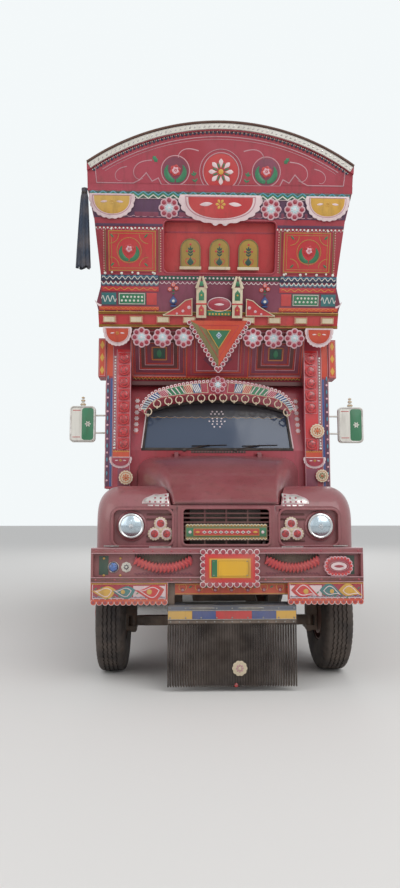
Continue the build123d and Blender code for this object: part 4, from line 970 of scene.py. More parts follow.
def garland(piece, board, ends, sag, count, finish_name, line):
    """Hanging string of petals along y = ends - sag * (1 - u^2), u from -1 to 1."""
    (x0, y0), (x1, y1) = ends
    u = np.linspace(-1, 1, 40)
    path = np.stack([x0 + (x1 - x0) * (u + 1) / 2, y0 + (y1 - y0) * (u + 1) / 2 - sag * (1 - u ** 2)], 1)
    piece.line(path, 0.042 - 0.022 * np.abs(u), 0.016, finish_name, board)
    places, heading = along(path, 2 * count)
    blade = button(leaf(0.078, 0.024, 10), 0.007, 0.004)
    for k, (lean, size) in enumerate(((-1.15, 1.0), (1.3, 1.15), (-1.9, 0.9), (2.1, 0.8))):
        piece.add(blade, (finish_name, line)[k % 2], board.lifted(0.010 + 0.003 * k), places[k::3],
            heading[k::3] + lean, size)
    dots(piece, board.lifted(0.012), places[::2], 0.006, line, 0.005, 8)
    for x, y in ends:
        dots(piece, board, [(x, y)], 0.015, line, 0.014, 12)


def lozenges(piece, board, x0, x1, y, tall, count, first, second):
    """Row of diamonds with a smaller one inside each."""
    wide = abs(x1 - x0) / count
    diamond = np.array([(0.5, 0), (0, 0.5), (-0.5, 0), (0, -0.5)])
    places = row(min(x0, x1) + wide / 2, max(x0, x1) - wide / 2, y, count)
    piece.add(button(diamond * (wide * 0.9, tall), 0.002), first, board, places)
    piece.add(button(diamond * (wide * 0.45, tall * 0.5), 0.0035), second, board, places)


def floral_panel(piece, board, middle, width, height, field, line, petal, leafy, radius=None):
    """Painted panel: field, double line, a rose in leaves and a sprig each way."""
    x, y = middle
    piece.bar(x - width / 2, x + width / 2, y - height / 2, y + height / 2, 0.0015, field, board)
    framed(piece, board, middle, width - 0.03, height - 0.03, 0.008, line, 0.004, radius)
    framed(piece, board, middle, width - 0.06, height - 0.06, 0.004, line, 0.003, radius)
    size = min(width, height)
    crescents(piece, board, (x, y - size * 0.03), size * 0.2, leafy)
    rose(piece, board, middle, size * 0.15, petal, "pink_film", 0.003)
    long_way = 0 if width > height else math.pi / 2
    for turn in (long_way, long_way + math.pi):
        start = (x + math.cos(turn) * size * 0.22, y + math.sin(turn) * size * 0.22)
        reach = max(width, height) / 2 - size * 0.22 - 0.06
        if reach > 0.06:
            sprig(piece, board, start, turn, reach * 0.85, leafy, 3)
    for sx in (-1, 1):
        for sy in (-1, 1):
            corner = (x + sx * (width / 2 - 0.055), y + sy * (height / 2 - 0.055))
            dots(piece, board, [corner], 0.012, petal, 0.005)


# Sizes and colours that a user would change


class TruckPaint(bpy.types.PropertyGroup):
    """Levels of the stage's light and the camera."""

    lens: FloatProperty(name="Lens", description="Focal length for the photo's view", default=27.0, min=10,
        max=120, unit="CAMERA")
    sky: FloatProperty(name="Sky Light", description="Strength of the even light", default=0.62, min=0)
    key: FloatProperty(name="Key Light", description="Power of the large soft lamp", default=620.0, min=0,
        unit="POWER")
    floor_tone: FloatVectorProperty(name="Floor", description="Floor colour", default=(0.78, 0.76, 0.73),
        subtype="COLOR", min=0, max=1)


class TruckCrown(bpy.types.PropertyGroup):
    """Sizes of the crown's ornament."""

    medallion: FloatProperty(name="Medallion", description="Radius of the round middle field",
        default=0.172, min=0.05, max=0.19, unit="LENGTH")
    rosette: FloatProperty(name="Lobed Plate", description="Radius of a lobed plate", default=0.102,
        min=0.03, max=0.15, unit="LENGTH")
    bead_count: IntProperty(name="Beads", description="Beads in each short row", default=18, min=4, max=60)
    pennant_scallops: IntProperty(name="Pennant Scallops",
        description="Round scallops down each slanted side", default=11, min=4, max=20)


class TruckTrim(bpy.types.PropertyGroup):
    """Sizes of the tyres, wheel nuts, lamp glass, bench and cloth."""

    tread_swings: IntProperty(name="Tread Swings", description="Swings of each tyre groove in one turn",
        default=60, min=20, max=60)
    nut: FloatProperty(name="Wheel Nut", description="Radius of a wheel nut over its corners",
        default=0.0165, min=0.008, max=0.021, unit="LENGTH")
    flute: FloatProperty(name="Lamp Flute", description="Width of one rib of the lamp glass", default=0.011,
        min=0.006, max=0.03, unit="LENGTH")
    stuffing: FloatProperty(name="Stuffing", description="How full the bench cushions are", default=0.7,
        min=0, max=1, subtype="FACTOR")
    cloth_folds: IntProperty(name="Cloth Folds", description="Folds round the hanging cloth", default=9,
        min=4, max=12)


NODE_FINISHES = {node: coat for coat, nodes in (
    # finish, then the solids that wear it
    (BLACK, "chassis_frame radiator rear_bumper cab_steps"),
    ("sooty_iron", "front_axle rear_axle knuckle_left knuckle_right engine_block"),
    ("leaf_spring_steel", "leaf_springs"),
    ("wheel_enamel", "front_wheel_left front_wheel_right rear_wheels_left rear_wheels_right"),
    ("tyre_rubber", "front_tyre_left front_tyre_right rear_tyres_left rear_tyres_right mud_flaps"),
    (SCARLET, "fuel_tank crown_cornice rear_frame"),
    (TEAL, "tool_box"),
    (MAROON, "front_bumper wings nose_panel bonnet"),
    (ORANGE, "bumper_flaps"),
    (ROSE_WHITE, "number_board"),
    ("footboard_plate", "footboard"),
    ("strip_rubber", "strip_apron"),
    (DARK_MAROON, "grille crown_floor"),
    ("lamp_lens_glass", "headlamps"),
    (CRIMSON, "cab_shell door_left door_right columns visor_crest crown_panels crown_arch crown_soffit"),
    ("windscreen_glass", "windscreen"),
    ("seat_cloth", "cab_seat"),
    ("dash_enamel", "dashboard"),
    (RED_LENS, "column_reflectors"),
    (MULBERRY, "crown_shelf"),
    ("white_film", "crown_plates"),
    ("crimson_boards", "crown_sides load_sides load_front tailgate"),
    ("bare_boards", "load_floor"),
    (WHITE, "mirrors"),
    ("plain_cotton", "corner_cloth"),
) for node in nodes.split()}


class TRUCK_OT_finishes(bpy.types.Operator):
    """Gives every solid of the truck its painted, plated or woven finish."""

    bl_idname = "truck.finishes"
    bl_label = "Finishes"

    def execute(self, context):
        make_finishes()
        for name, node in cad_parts.items():
            for material_slot in node.material_slots:
                material_slot.material = finish(NODE_FINISHES[name])
            if not node.material_slots:
                node.data.materials.append(finish(NODE_FINISHES[name]))
        return {"FINISHED"}


ARCH_HALF = 1.278
ARCH_TOP = up(5.078)
ARCH_SIDE = up(4.720)
ARCH_RISE = ARCH_TOP - ARCH_SIDE
ARCH_R = (ARCH_HALF ** 2 + ARCH_RISE ** 2) / (2 * ARCH_RISE)
ARCH_MIDDLE = (0.0, ARCH_TOP - ARCH_R)


def arch_line(inset, reach=1.0, steps=80):
    """Line along the crown's arched top, set in from its edge, left to right."""
    half = math.degrees(math.asin(ARCH_HALF / ARCH_R)) * reach
    return arc(ARCH_MIDDLE, ARCH_R - inset, 90 + half, 90 - half, steps)


class TRUCK_OT_arch(bpy.types.Operator):
    """Arched top of the crown: capping, white band, pendants and the painted face."""

    bl_idname = "truck.arch"
    bl_label = "Crown Arch"

    def execute(self, context):
        look = context.scene.truck_crown
        band = CROWN.lifted(0.0265)
        capping = Piece("arch_capping")
        capping.line(arch_line(0.002), 0.02, 0.016, "brown_painted_steel", band)
        capping.add(stroke(arch_line(0.041), 0.056, 0.004), WHITE, band)
        for inset in (0.016, 0.066):
            capping.line(arch_line(inset), 0.006, 0.008, TIN, band)
        places, heading = along(arch_line(0.041, 0.99), 58)
        capping.add(button(leaf(0.034, 0.016, 10), 0.005, 0.002), TIN, band, places, heading + 0.8)
        places, heading = along(arch_line(0.092, 0.985), 66)
        capping.add(button(drop(0.034, 0.026, 12), 0.006, 0.003), NAVY, CROWN, places,
            heading - QUARTER_TURN)
        places, heading = along(arch_line(0.083, 0.993), 133)
        dots(capping, CROWN, places, 0.007, WHITE, 0.008, 8)
        capping.build(slot="crown_paint")

        face = Piece("arch_face")
        foot = up(4.545)
        low_line = np.stack([np.linspace(-1.12, 1.12, 60), np.full(60, foot)], 1)
        top = np.stack([low_line[:, 0], ARCH_MIDDLE[1] + np.sqrt((ARCH_R - 0.14) ** 2
            - low_line[:, 0] ** 2)], 1)
        face.add(filled(top, low_line, 0.0015), CRIMSON, CROWN)
        line = BLUSH
        face.line(arch_line(0.128, 0.93), 0.009, 0.004, line, CROWN)
        face.line(arch_line(0.152, 0.92), 0.005, 0.004, line, CROWN)
        for side in (-1, 1):
            sill = polyline([(side * 1.19, foot), (side * 0.84, foot), (side * 0.78, foot + 0.03),
                (side * 0.715, foot + 0.095), (side * 0.66, foot + 0.02), (side * 0.60, foot + 0.05),
                (side * 0.57, foot - 0.01), (0, foot - 0.01)])
            face.line(sill, 0.011, 0.004, line, CROWN)
            ends = polyline([(side * 1.19, foot), (side * 1.2, up(4.66)), (side * 1.17, up(4.7))])
            face.line(ends, 0.009, 0.004, line, CROWN)
        for start, angle, length, turn, width in (((0.215, 1.665), 15, 0.34, -225, 0.012),
                ((0.66, 1.575), -5, 0.36, -220, 0.012), ((0.90, 1.515), -12, 0.24, -205, 0.010)):
            scroll(face, CROWN, start, angle, length, turn, width, line)
        middle = (0.0, 1.478)
        face.add(button(circle(look.medallion, 56), 0.004, 0.001), SCARLET, CROWN, middle)
        ringed(face, CROWN, middle, look.medallion, 0.011, line, 0.009, 56)
        ringed(face, CROWN, middle, look.medallion + 0.032, 0.008, line, 0.007, 56)
        raised = CROWN.lifted(0.004)
        petals(face, raised, middle, 0.088, 8, button(drop(0.085, 0.042, 16), 0.003, 0.002), ROSE_WHITE)
        petals(face, raised, middle, 0.06, 8, button(leaf(0.06, 0.016, 12), 0.004, 0.002), LEAF_GREEN,
            math.pi / 8)
        dots(face, raised, [middle], 0.026, GOLD, 0.009, 18)
        for side in (-1, 1):
            spot = (side * 0.437, 1.484)
            face.add(button(circle(0.125, 40), 0.003), MULBERRY, CROWN, spot)
            ringed(face, CROWN, spot, 0.135, 0.01, line)
            crescents(face, CROWN.lifted(0.003), (spot[0], spot[1] - 0.005), 0.088)
            rose(face, CROWN, spot, 0.062, lift=0.004)
            for lean, reach in ((0.9, 0.075), (0.3, 0.06), (1.6, 0.06)):
                blade = button(leaf(reach, 0.026, 14), 0.004, 0.002)
                face.add(blade, LEAF_GREEN, CROWN, (side * 0.63, 1.585),
                    side * (lean - math.pi / 2) + QUARTER_TURN)
            sprig(face, CROWN, (side * 0.24, 1.36), math.pi / 2 - side * 0.2, 0.10, LEAF_GREEN, 2)
        face.build(slot="crown_paint")
        return {"FINISHED"}


class TRUCK_OT_frieze(bpy.types.Operator):
    """Frieze under the arch: chevrons, hanging plates, lobed plates, bead rows."""

    bl_idname = "truck.frieze"
    bl_label = "Frieze"

    def execute(self, context):
        look = context.scene.truck_crown
        strip = Piece("frieze_strip")
        y0, y1 = up(4.243), up(4.425)
        half_low, half_high = 1.222, 1.258
        strip.add(filled([(-half_high, y1), (half_high, y1)], [(-half_low, y0), (half_low, y0)], 0.002),
            PLUM, CROWN)
        strip.bar(-1.262, 1.262, 1.228, 1.288, 0.010, BOTTLE_GREEN, CROWN)
        raised = CROWN.lifted(0.010)
        chevrons(strip, raised, -1.25, 1.25, 1.258, 0.017, 26, ZIGZAG_COLOURS, 0.010)
        for level in (1.226, 1.290):
            strip.line([(-1.258, level), (1.258, level)], 0.007, 0.012, ROSE_WHITE, CROWN)
        for x0, x1 in ((-0.83, -0.6), (-0.4, 0.4), (0.595, 0.62), (0.825, 0.85)):
            strip.bar(x0, x1, y0 + 0.012, y0 + 0.055, 0.004, MULBERRY, CROWN)
        strip.line(wave(-1.19, 1.19, y0 + 0.022, 0.012, 34, 6, "scallop"), 0.006, 0.004, BLUSH, CROWN)
        for x0 in (-1.206, 0.56):
            places = row(x0, x0 + 0.646, up(4.15), look.bead_count)
            dots(strip, CROWN, places, 0.010, WHITE, 0.010)
            dots(strip, CROWN, places[:-1] + (0.018, -0.012), 0.006, "pink_film", 0.006, 8)
            strip.bar(x0 - 0.005, x0 + 0.65, up(4.165), up(4.19), 0.004, PLUM, CROWN)
        strip.build(slot="crown_paint")

        plates = Piece("hanging_plates")
        for x, top, half, drop_length, field in ((0.0, up(4.45), 0.39, 0.262, SCARLET),
                (-1.046, up(4.45), 0.213, 0.224, GOLD), (1.04, up(4.45), 0.207, 0.224, GOLD),
                (-1.012, up(3.245), 0.138, 0.184, ORANGE), (1.012, up(3.245), 0.138, 0.184, ORANGE)):
            hanging_plate(plates, CROWN, x, top, half, drop_length, field, 0.0166)
        plates.build(slot="painted_tin")

        heads = Piece("lobed_plate_faces")
        for z, row_x in ((4.33, (-0.497, 0.491, 0.723)), (3.148, (-0.772, -0.562, -0.352, 0.345, 0.555,
                0.765))):
            for x in row_x:
                rosette_face(heads, CROWN.lifted(0.0146), (x, up(z)), look.rosette)
        heads.build(slot="painted_tin")
        return {"FINISHED"}


class TRUCK_OT_panels(bpy.types.Operator):
    """Middle of the crown: the deep niche with three gilt arches, and the square
    panels beside it with their line frames and roses."""

    bl_idname = "truck.panels"
    bl_label = "Crown Panels"

    def execute(self, context):
        niche = Piece("niche_arches")
        floor = CROWN.lifted(-0.0745)
        y0, y1 = up(3.75) + 0.012, up(4.225) - 0.012
        niche.bar(-0.545, 0.545, y0, y1, 0.0015, SCARLET, floor)
        niche.bar(-0.545, 0.545, y1 - 0.10, y1 - 0.085, 0.006, CRIMSON, floor)
        for x in (-0.287, 0.0, 0.287):
            base = up(3.926) - 0.141
            face = floor.lifted(0.0242)
            half = 0.095
            top = np.vstack([[(-half, 0.0)], arc((0, 0.185), half, 180, 0, 19), [(half, 0.0)]])
            outline = np.vstack([[(-half, 0.0), (half, 0.0)],
                arc((0, 0.185), half, 0, 180, 19)]) - (0, 0.13)
            niche.add(button(outline, 0.004, 0.001, 0.03), OLD_GOLD, face, (x, base + 0.135))
            frame_line = top + (x, base + 0.005)
            niche.line(frame_line, 0.010, 0.010, OLIVE, face)
            niche.bar(x - 0.108, x + 0.108, base - 0.008, base + 0.022, 0.014, CREAM, face)
            raised = face.lifted(0.004)
            vase = button(drop(0.085, 0.062, 18), 0.003, 0.002)
            niche.add(vase, BOTTLE_GREEN, raised, (x, base + 0.065), -math.pi / 2)
            sprig(niche, raised, (x, base + 0.10), math.pi / 2, 0.095, BOTTLE_GREEN, 3)
            for side in (-1, 1):
                niche.line(curl((x + side * 0.02, base + 0.04), 90 - side * 60, 0.11, side * 250, 1.6, 18),
                    0.007, 0.003, SCARLET, raised)
            dots(niche, raised, [(x - 0.035, base + 0.17), (x + 0.035, base + 0.17), (x, base + 0.235)],
                0.011, SCARLET)
        rim = rounded(1.105, y1 - y0 + 0.03, 0.05, 6) + (0, (y0 + y1) / 2)
        niche.line(rim, 0.016, 0.010, CRIMSON, CROWN, True)
        niche.build(slot="crown_paint")

        sides = Piece("square_panels")
        face = CROWN.lifted(0.0092)
        for x in (-0.857, 0.857):
            middle = (x, up(3.945))
            sides.bar(x - 0.232, x + 0.232, middle[1] - 0.193, middle[1] + 0.193, 0.0015, SCARLET, face)
            framed(sides, face, middle, 0.452, 0.372, 0.009, OLD_GOLD)
            framed(sides, face, middle, 0.40, 0.325, 0.005, OLD_GOLD)
            centre = (x + (0.02 if x > 0 else -0.03), middle[1] + 0.005)
            for sx in (-1, 1):
                for sy in (-1, 1):
                    corner = (centre[0] + sx * 0.185, centre[1] + sy * 0.15)
                    start = math.degrees(math.atan2(-sy, -sx))
                    sides.line(arc(corner, 0.085, start - 45, start + 45, 12), 0.006, 0.004, OLD_GOLD, face)
                    sides.add(button(leaf(0.05, 0.018, 12), 0.003, 0.002), LEAF_GREEN, face,
                        (centre[0] + sx * 0.165, centre[1] + sy * 0.135), math.atan2(sy, sx))
            ringed(sides, face, centre, 0.118, 0.006, OLD_GOLD)
            crescents(sides, face, (centre[0], centre[1] - 0.01), 0.083)
            rose(sides, face, (centre[0], centre[1] + 0.012), 0.056, lift=0.003)
            sprig(sides, face, (centre[0], centre[1] - 0.095), -math.pi / 2, 0.035, LEAF_GREEN, 1)
            for dx in (-0.2, 0.0, 0.2):
                dots(sides, face, [(x + dx, middle[1] + 0.205), (x + dx, middle[1] - 0.205)], 0.011, WHITE,
                    0.012)
            for edge in (-0.262, 0.262):
                lines = [(x + edge, middle[1] - 0.2), (x + edge, middle[1] + 0.2)]
                sides.line(lines, 0.008, 0.005, OLIVE, CROWN)
                places = [(x + edge * 1.06, middle[1] + d) for d in np.linspace(-0.19, 0.19, 17)]
                dots(sides, CROWN, places, 0.005, CREAM, 0.004, 8)
        sides.build(slot="crown_paint")
        return {"FINISHED"}


class TRUCK_OT_shelf(bpy.types.Operator):
    """Shelf over the cornice: blue and green bands, turrets, plaques and vases."""

    bl_idname = "truck.shelf"
    bl_label = "Crown Shelf"

    def execute(self, context):
        face = CROWN.lifted(-0.0078)
        bands = Piece("shelf_bands")
        for side in (-1, 1):
            x0, x1 = sorted((side * 1.165, side * 0.60))
            bands.bar(x0, x1, 0.452, 0.512, 0.010, NAVY, face)
            raised = face.lifted(0.010)
            bands.line(wave(x0 + 0.01, x1 - 0.01, 0.482, 0.014, 9), 0.007, 0.003, WHITE, raised)
            bands.line(wave(x0 + 0.01, x1 - 0.01, 0.498, 0.008, 9), 0.005, 0.003, SKY_BLUE, raised)
            dots(bands, raised, row(x0 + 0.04, x1 - 0.04, 0.525, 4), 0.014, WHITE, 0.012)
            bands.line(wave(x0, x1, 0.448, 0.026, 12, 6, "scallop"), 0.009, 0.008, WHITE, face)
            bands.line(wave(x0, x1, 0.432, 0.024, 12, 6, "scallop"), 0.006, 0.006, SKY_BLUE, face)
            bands.bar(x0, x1, 0.352, 0.398, 0.006, SCARLET, face)
            bands.line(wave(x0 + 0.02, x1 - 0.02, 0.375, 0.010, 7), 0.006, 0.009, GOLD, face)
            t0, t1 = sorted((side * 0.73, side * 1.0))
            bands.bar(t0, t1, 0.222, 0.338, 0.008, LEAF_GREEN, face)
            framed(bands, face.lifted(0.008), ((t0 + t1) / 2, 0.28), abs(t1 - t0) - 0.02, 0.10, 0.006,
                ROSE_WHITE)
            for level, shift in ((0.262, 0.0), (0.298, 0.02)):
                dots(bands, face.lifted(0.008), row(t0 + 0.035 + shift, t1 - 0.035, level, 6), 0.011, WHITE,
                    0.006)
            u0, u1 = sorted((side * 1.02, side * 1.165))
            bands.bar(u0, u1, 0.222, 0.338, 0.006, TEAL, face)
            bands.line(wave(u0, u1, 0.28, 0.03, 3), 0.008, 0.009, WHITE, face)
            bands.bar(min(side * 0.72, side * 0.62), max(side * 0.72, side * 0.62), 0.222, 0.338, 0.006,
                SCARLET, face)
            bands.bar(*sorted((side * 0.6, side * 1.19)), 0.168, 0.205, 0.010, ORANGE, face)
            bands.line(wave(*sorted((side * 0.6, side * 1.18)), 0.187, 0.008, 12), 0.005, 0.013, GOLD, face)
        bands.bar(-0.595, 0.595, 0.462, 0.505, 0.006, BOTTLE_GREEN, face)
        dots(bands, face.lifted(0.006), row(-0.57, 0.57, 0.484, 30), 0.010, ROSE_WHITE, 0.006)
        bands.line(wave(-0.59, 0.59, 0.448, 0.02, 26, 6, "scallop"), 0.007, 0.006, ROSE_WHITE, face)
        bands.build(slot="crown_paint")

        figures = Piece("shelf_figures")
        for side in (-1, 1):
            x = side * 0.178
            front = face.lifted(0.060)
            figures.bar(x - 0.050, x + 0.050, 0.10, 0.395, 0.006, CREAM, front)
            for level, name in ((0.155, SCARLET), (0.30, LEAF_GREEN)):
                pointed = np.vstack([[(-0.026, -0.05), (0.026, -0.05)], arc((0, 0.01), 0.026, 0, 60, 5),
                    [(0, 0.052)], arc((0, 0.01), 0.026, 120, 180, 5)])
                figures.add(button(pointed, 0.004, 0.003), name, front.lifted(0.006), (x, level + 0.02))
                dots(figures, front.lifted(0.010), [(x, level + 0.02)], 0.010, GOLD, 0.004)
            figures.line([(x - 0.054, 0.235), (x + 0.054, 0.235)], 0.016, 0.012, "red_film", front)
            for lean in (-1, 1):
                blade = stroke([(x + lean * 0.046, 0.385), (x + lean * 0.010, 0.50)],
                    np.array([0.036, 0.022]), 0.020, ROUND)
                figures.add(blade, CREAM, front.lifted(-0.004))
            dots(figures, front, [(x, 0.43)], 0.026, LEAF_GREEN, 0.014, 16)
            wing_top = polyline([(side * 0.27, 0.285), (side * 0.335, 0.268), (side * 0.41, 0.205),
                (side * 0.555, 0.122)], 0.012)
            wing_low = np.stack([wing_top[:, 0], np.full(len(wing_top), 0.122)], 1)
            upper, lower = (wing_top, wing_low) if side > 0 else (wing_top[::-1], wing_low[::-1])
            plaque = face.lifted(0.034)
            figures.add(filled(upper, lower, 0.008), SCARLET, plaque)
            edge = np.vstack([wing_top, wing_low[::-1]])
            figures.line(edge if side < 0 else edge[::-1], 0.010, 0.014, CREAM, plaque, True)
            for fx, fy, r in ((0.30, 0.20, 0.022), (0.36, 0.165, 0.018), (0.42, 0.14, 0.014)):
                rose(figures, plaque, (side * fx, fy), r, "pink_film", ROSE_WHITE, 0.008)
            vase_x = side * 0.455
            figures.add(button(drop(0.10, 0.075, 20), 0.020, 0.012), DEEP_BLUE, face, (vase_x, 0.262),
                -math.pi / 2)
            figures.bar(vase_x - 0.028, vase_x + 0.028, 0.205, 0.222, 0.030, DEEP_BLUE, face)
            dots(figures, face.lifted(0.03), [(vase_x, 0.262)], 0.014, WHITE, 0.006)
            sprig(figures, face, (vase_x, 0.315), math.pi / 2, 0.05, LEAF_GREEN, 2)
            for dx, dy in ((-0.035, 0.375), (0.03, 0.385), (0.0, 0.418)):
                rose(figures, face.lifted(0.006), (vase_x + dx, dy), 0.027, ORANGE, "pink_film")
        plaque = face.lifted(0.040)
        figures.bar(-0.118, 0.118, 0.122, 0.170, 0.008, LEAF_GREEN, plaque)
        figures.line([(-0.118, 0.172), (0.118, 0.172)], 0.008, 0.014, GOLD, plaque)
        oval = circle(1.0, 40) * (0.108, 0.062)
        figures.add(button(oval, 0.010, 0.008), "crimson_film", plaque, (0, 0.232))
        figures.line(oval * 1.07 + (0, 0.232), 0.010, 0.014, ROSE_WHITE, plaque, True)
        figures.add(button(leaf(0.11, 0.03, 16), 0.016, 0.004), ROSE_WHITE, plaque, (0, 0.232))
        for dx in np.linspace(-0.095, 0.095, 7):
            dots(figures, plaque.lifted(0.008), [(dx, 0.138)], 0.010, GOLD)
        for side in (-1, 1):
            spike = stroke(curl((side * 1.17, 0.21), 90 - side * 75, 0.085, side * 60, 1.0, 10),
                0.030 * np.linspace(1, 0.15, 10), 0.014, ROUND)
            figures.add(spike, ROSE_WHITE, face.lifted(-0.01))
        figures.build(slot="crown_paint")
        return {"FINISHED"}


class TRUCK_OT_cornice(bpy.types.Operator):
    """Cornice with cream blocks and gold lines, and the folded pennant, its left bevel painted olive as
    shade.
    """

    bl_idname = "truck.cornice"
    bl_label = "Cornice"

    def execute(self, context):
        look = context.scene.truck_crown
        trim = Piece("cornice_trim")
        y = up(3.316)
        for x in (0.295, 0.557, 0.824, 1.09):
            for side in (-1, 1):
                trim.bar(side * x - 0.066, side * x + 0.066, y - 0.035, y + 0.035, 0.026, CREAM, CROWN,
                    0.008)
                framed(trim, CROWN.lifted(0.026), (side * x, y), 0.108, 0.052, 0.004, OLD_GOLD, 0.002)
        for level, line in ((0.012, 0.012), (0.026, 0.007), (0.134, 0.007), (0.150, 0.014)):
            trim.line([(-1.196, level), (1.196, level)], line, 0.018, OLD_GOLD, CROWN)
        for x in np.linspace(-1.14, 1.14, 19):
            if abs(x) > 0.32:
                dots(trim, CROWN, [(x, 0.160)], 0.006, GOLD, 0.010, 8)
        trim.build(slot="crown_paint")

        pennant = Piece("pennant_faces")
        front = CROWN.lifted(0.0342)
        top, tip, half = up(3.312), up(2.868), 0.29
        corners = np.array([(-half, top), (half, top), (0, tip)])
        centre = corners.mean(0)
        rings = [centre + (corners - centre) * share for share in (0.985, 0.40)]
        outer, inner = rings
        # painted shade: the left bevel is olive where the fold faces away from the light; the top and right
        # bevels keep the lit orange
        for a, b, name in ((0, 1, ORANGE), (1, 2, ORANGE), (2, 0, OLIVE)):
            pennant.add(filled([outer[b], outer[a]], [inner[b], inner[a]], 0.006), name, front)
        middle = CROWN.lifted(0.0422)
        pennant.add(button(inner - centre, 0.004), LEAF_GREEN, middle, centre)
        for share, name in ((0.40, GOLD), (0.70, SCARLET)):
            ring = centre + (corners - centre) * share
            pennant.line(ring[::-1], 0.008, 0.009, name, middle if share < 0.5 else front, True)
        diamond = np.array([(0.030, 0), (0, 0.036), (-0.030, 0), (0, -0.036)])
        pennant.add(button(diamond, 0.008, 0.003), "pale_cyan_film", middle, centre + (0, 0.008))
        petals(pennant, middle.lifted(0.008), centre + (0, 0.008), 0.014, 6,
            button(leaf(0.018, 0.009, 8), 0.003), "blue_film")
        scallops = []
        for side in (-1, 1):
            edge = np.array([(side * (half + 0.006), top - 0.02), (side * 0.018, tip - 0.012)])
            share = np.linspace(0, 1, look.pennant_scallops)[:, None]
            scallops.append(edge[0] + (edge[1] - edge[0]) * share)
        scallops = np.vstack(scallops + [[(0, tip - 0.030)]])
        behind = CROWN.lifted(0.0302)
        pennant.add(button(circle(0.025, 18), 0.006, 0.001), ROSE_WHITE, behind, scallops)
        dots(pennant, behind.lifted(0.006), scallops, 0.016, "crimson_film", 0.006, 14)
        pennant.build(slot="crown_paint")
        return {"FINISHED"}


SCREEN = Board((0, at(1.380), 2.030), (1, 0, 0), (0, 0.180, 0.690))
SCREEN_SLOPE = math.hypot(0.180, 0.690) / 0.690
SOFFIT_LEAN = math.atan2(0.300, 3.235 - 2.7603)
SOFFIT = Board((0, at(1.485), 2.7603), (1, 0, 0), (0, -math.sin(SOFFIT_LEAN), math.cos(SOFFIT_LEAN)))
REFLECTOR_X, REFLECTOR_FOOT, REFLECTOR_PITCH, REFLECTOR_COUNT, REFLECTOR_R = 0.953, 2.088, 0.126, 8, 0.056
COLUMN_FACE = 1.3247
SIDE_LAMPS = [
    # x, height, radius, petals, heart, eye
    (-0.925, 1.748, 0.072, CREAM, "orange_film", "amber_reflector"),
    (1.009, 2.223, 0.074, CREAM, "amber_reflector", "orange_film"),
    (1.050, 1.768, 0.066, CREAM, OLIVE, "amber_reflector"),
]


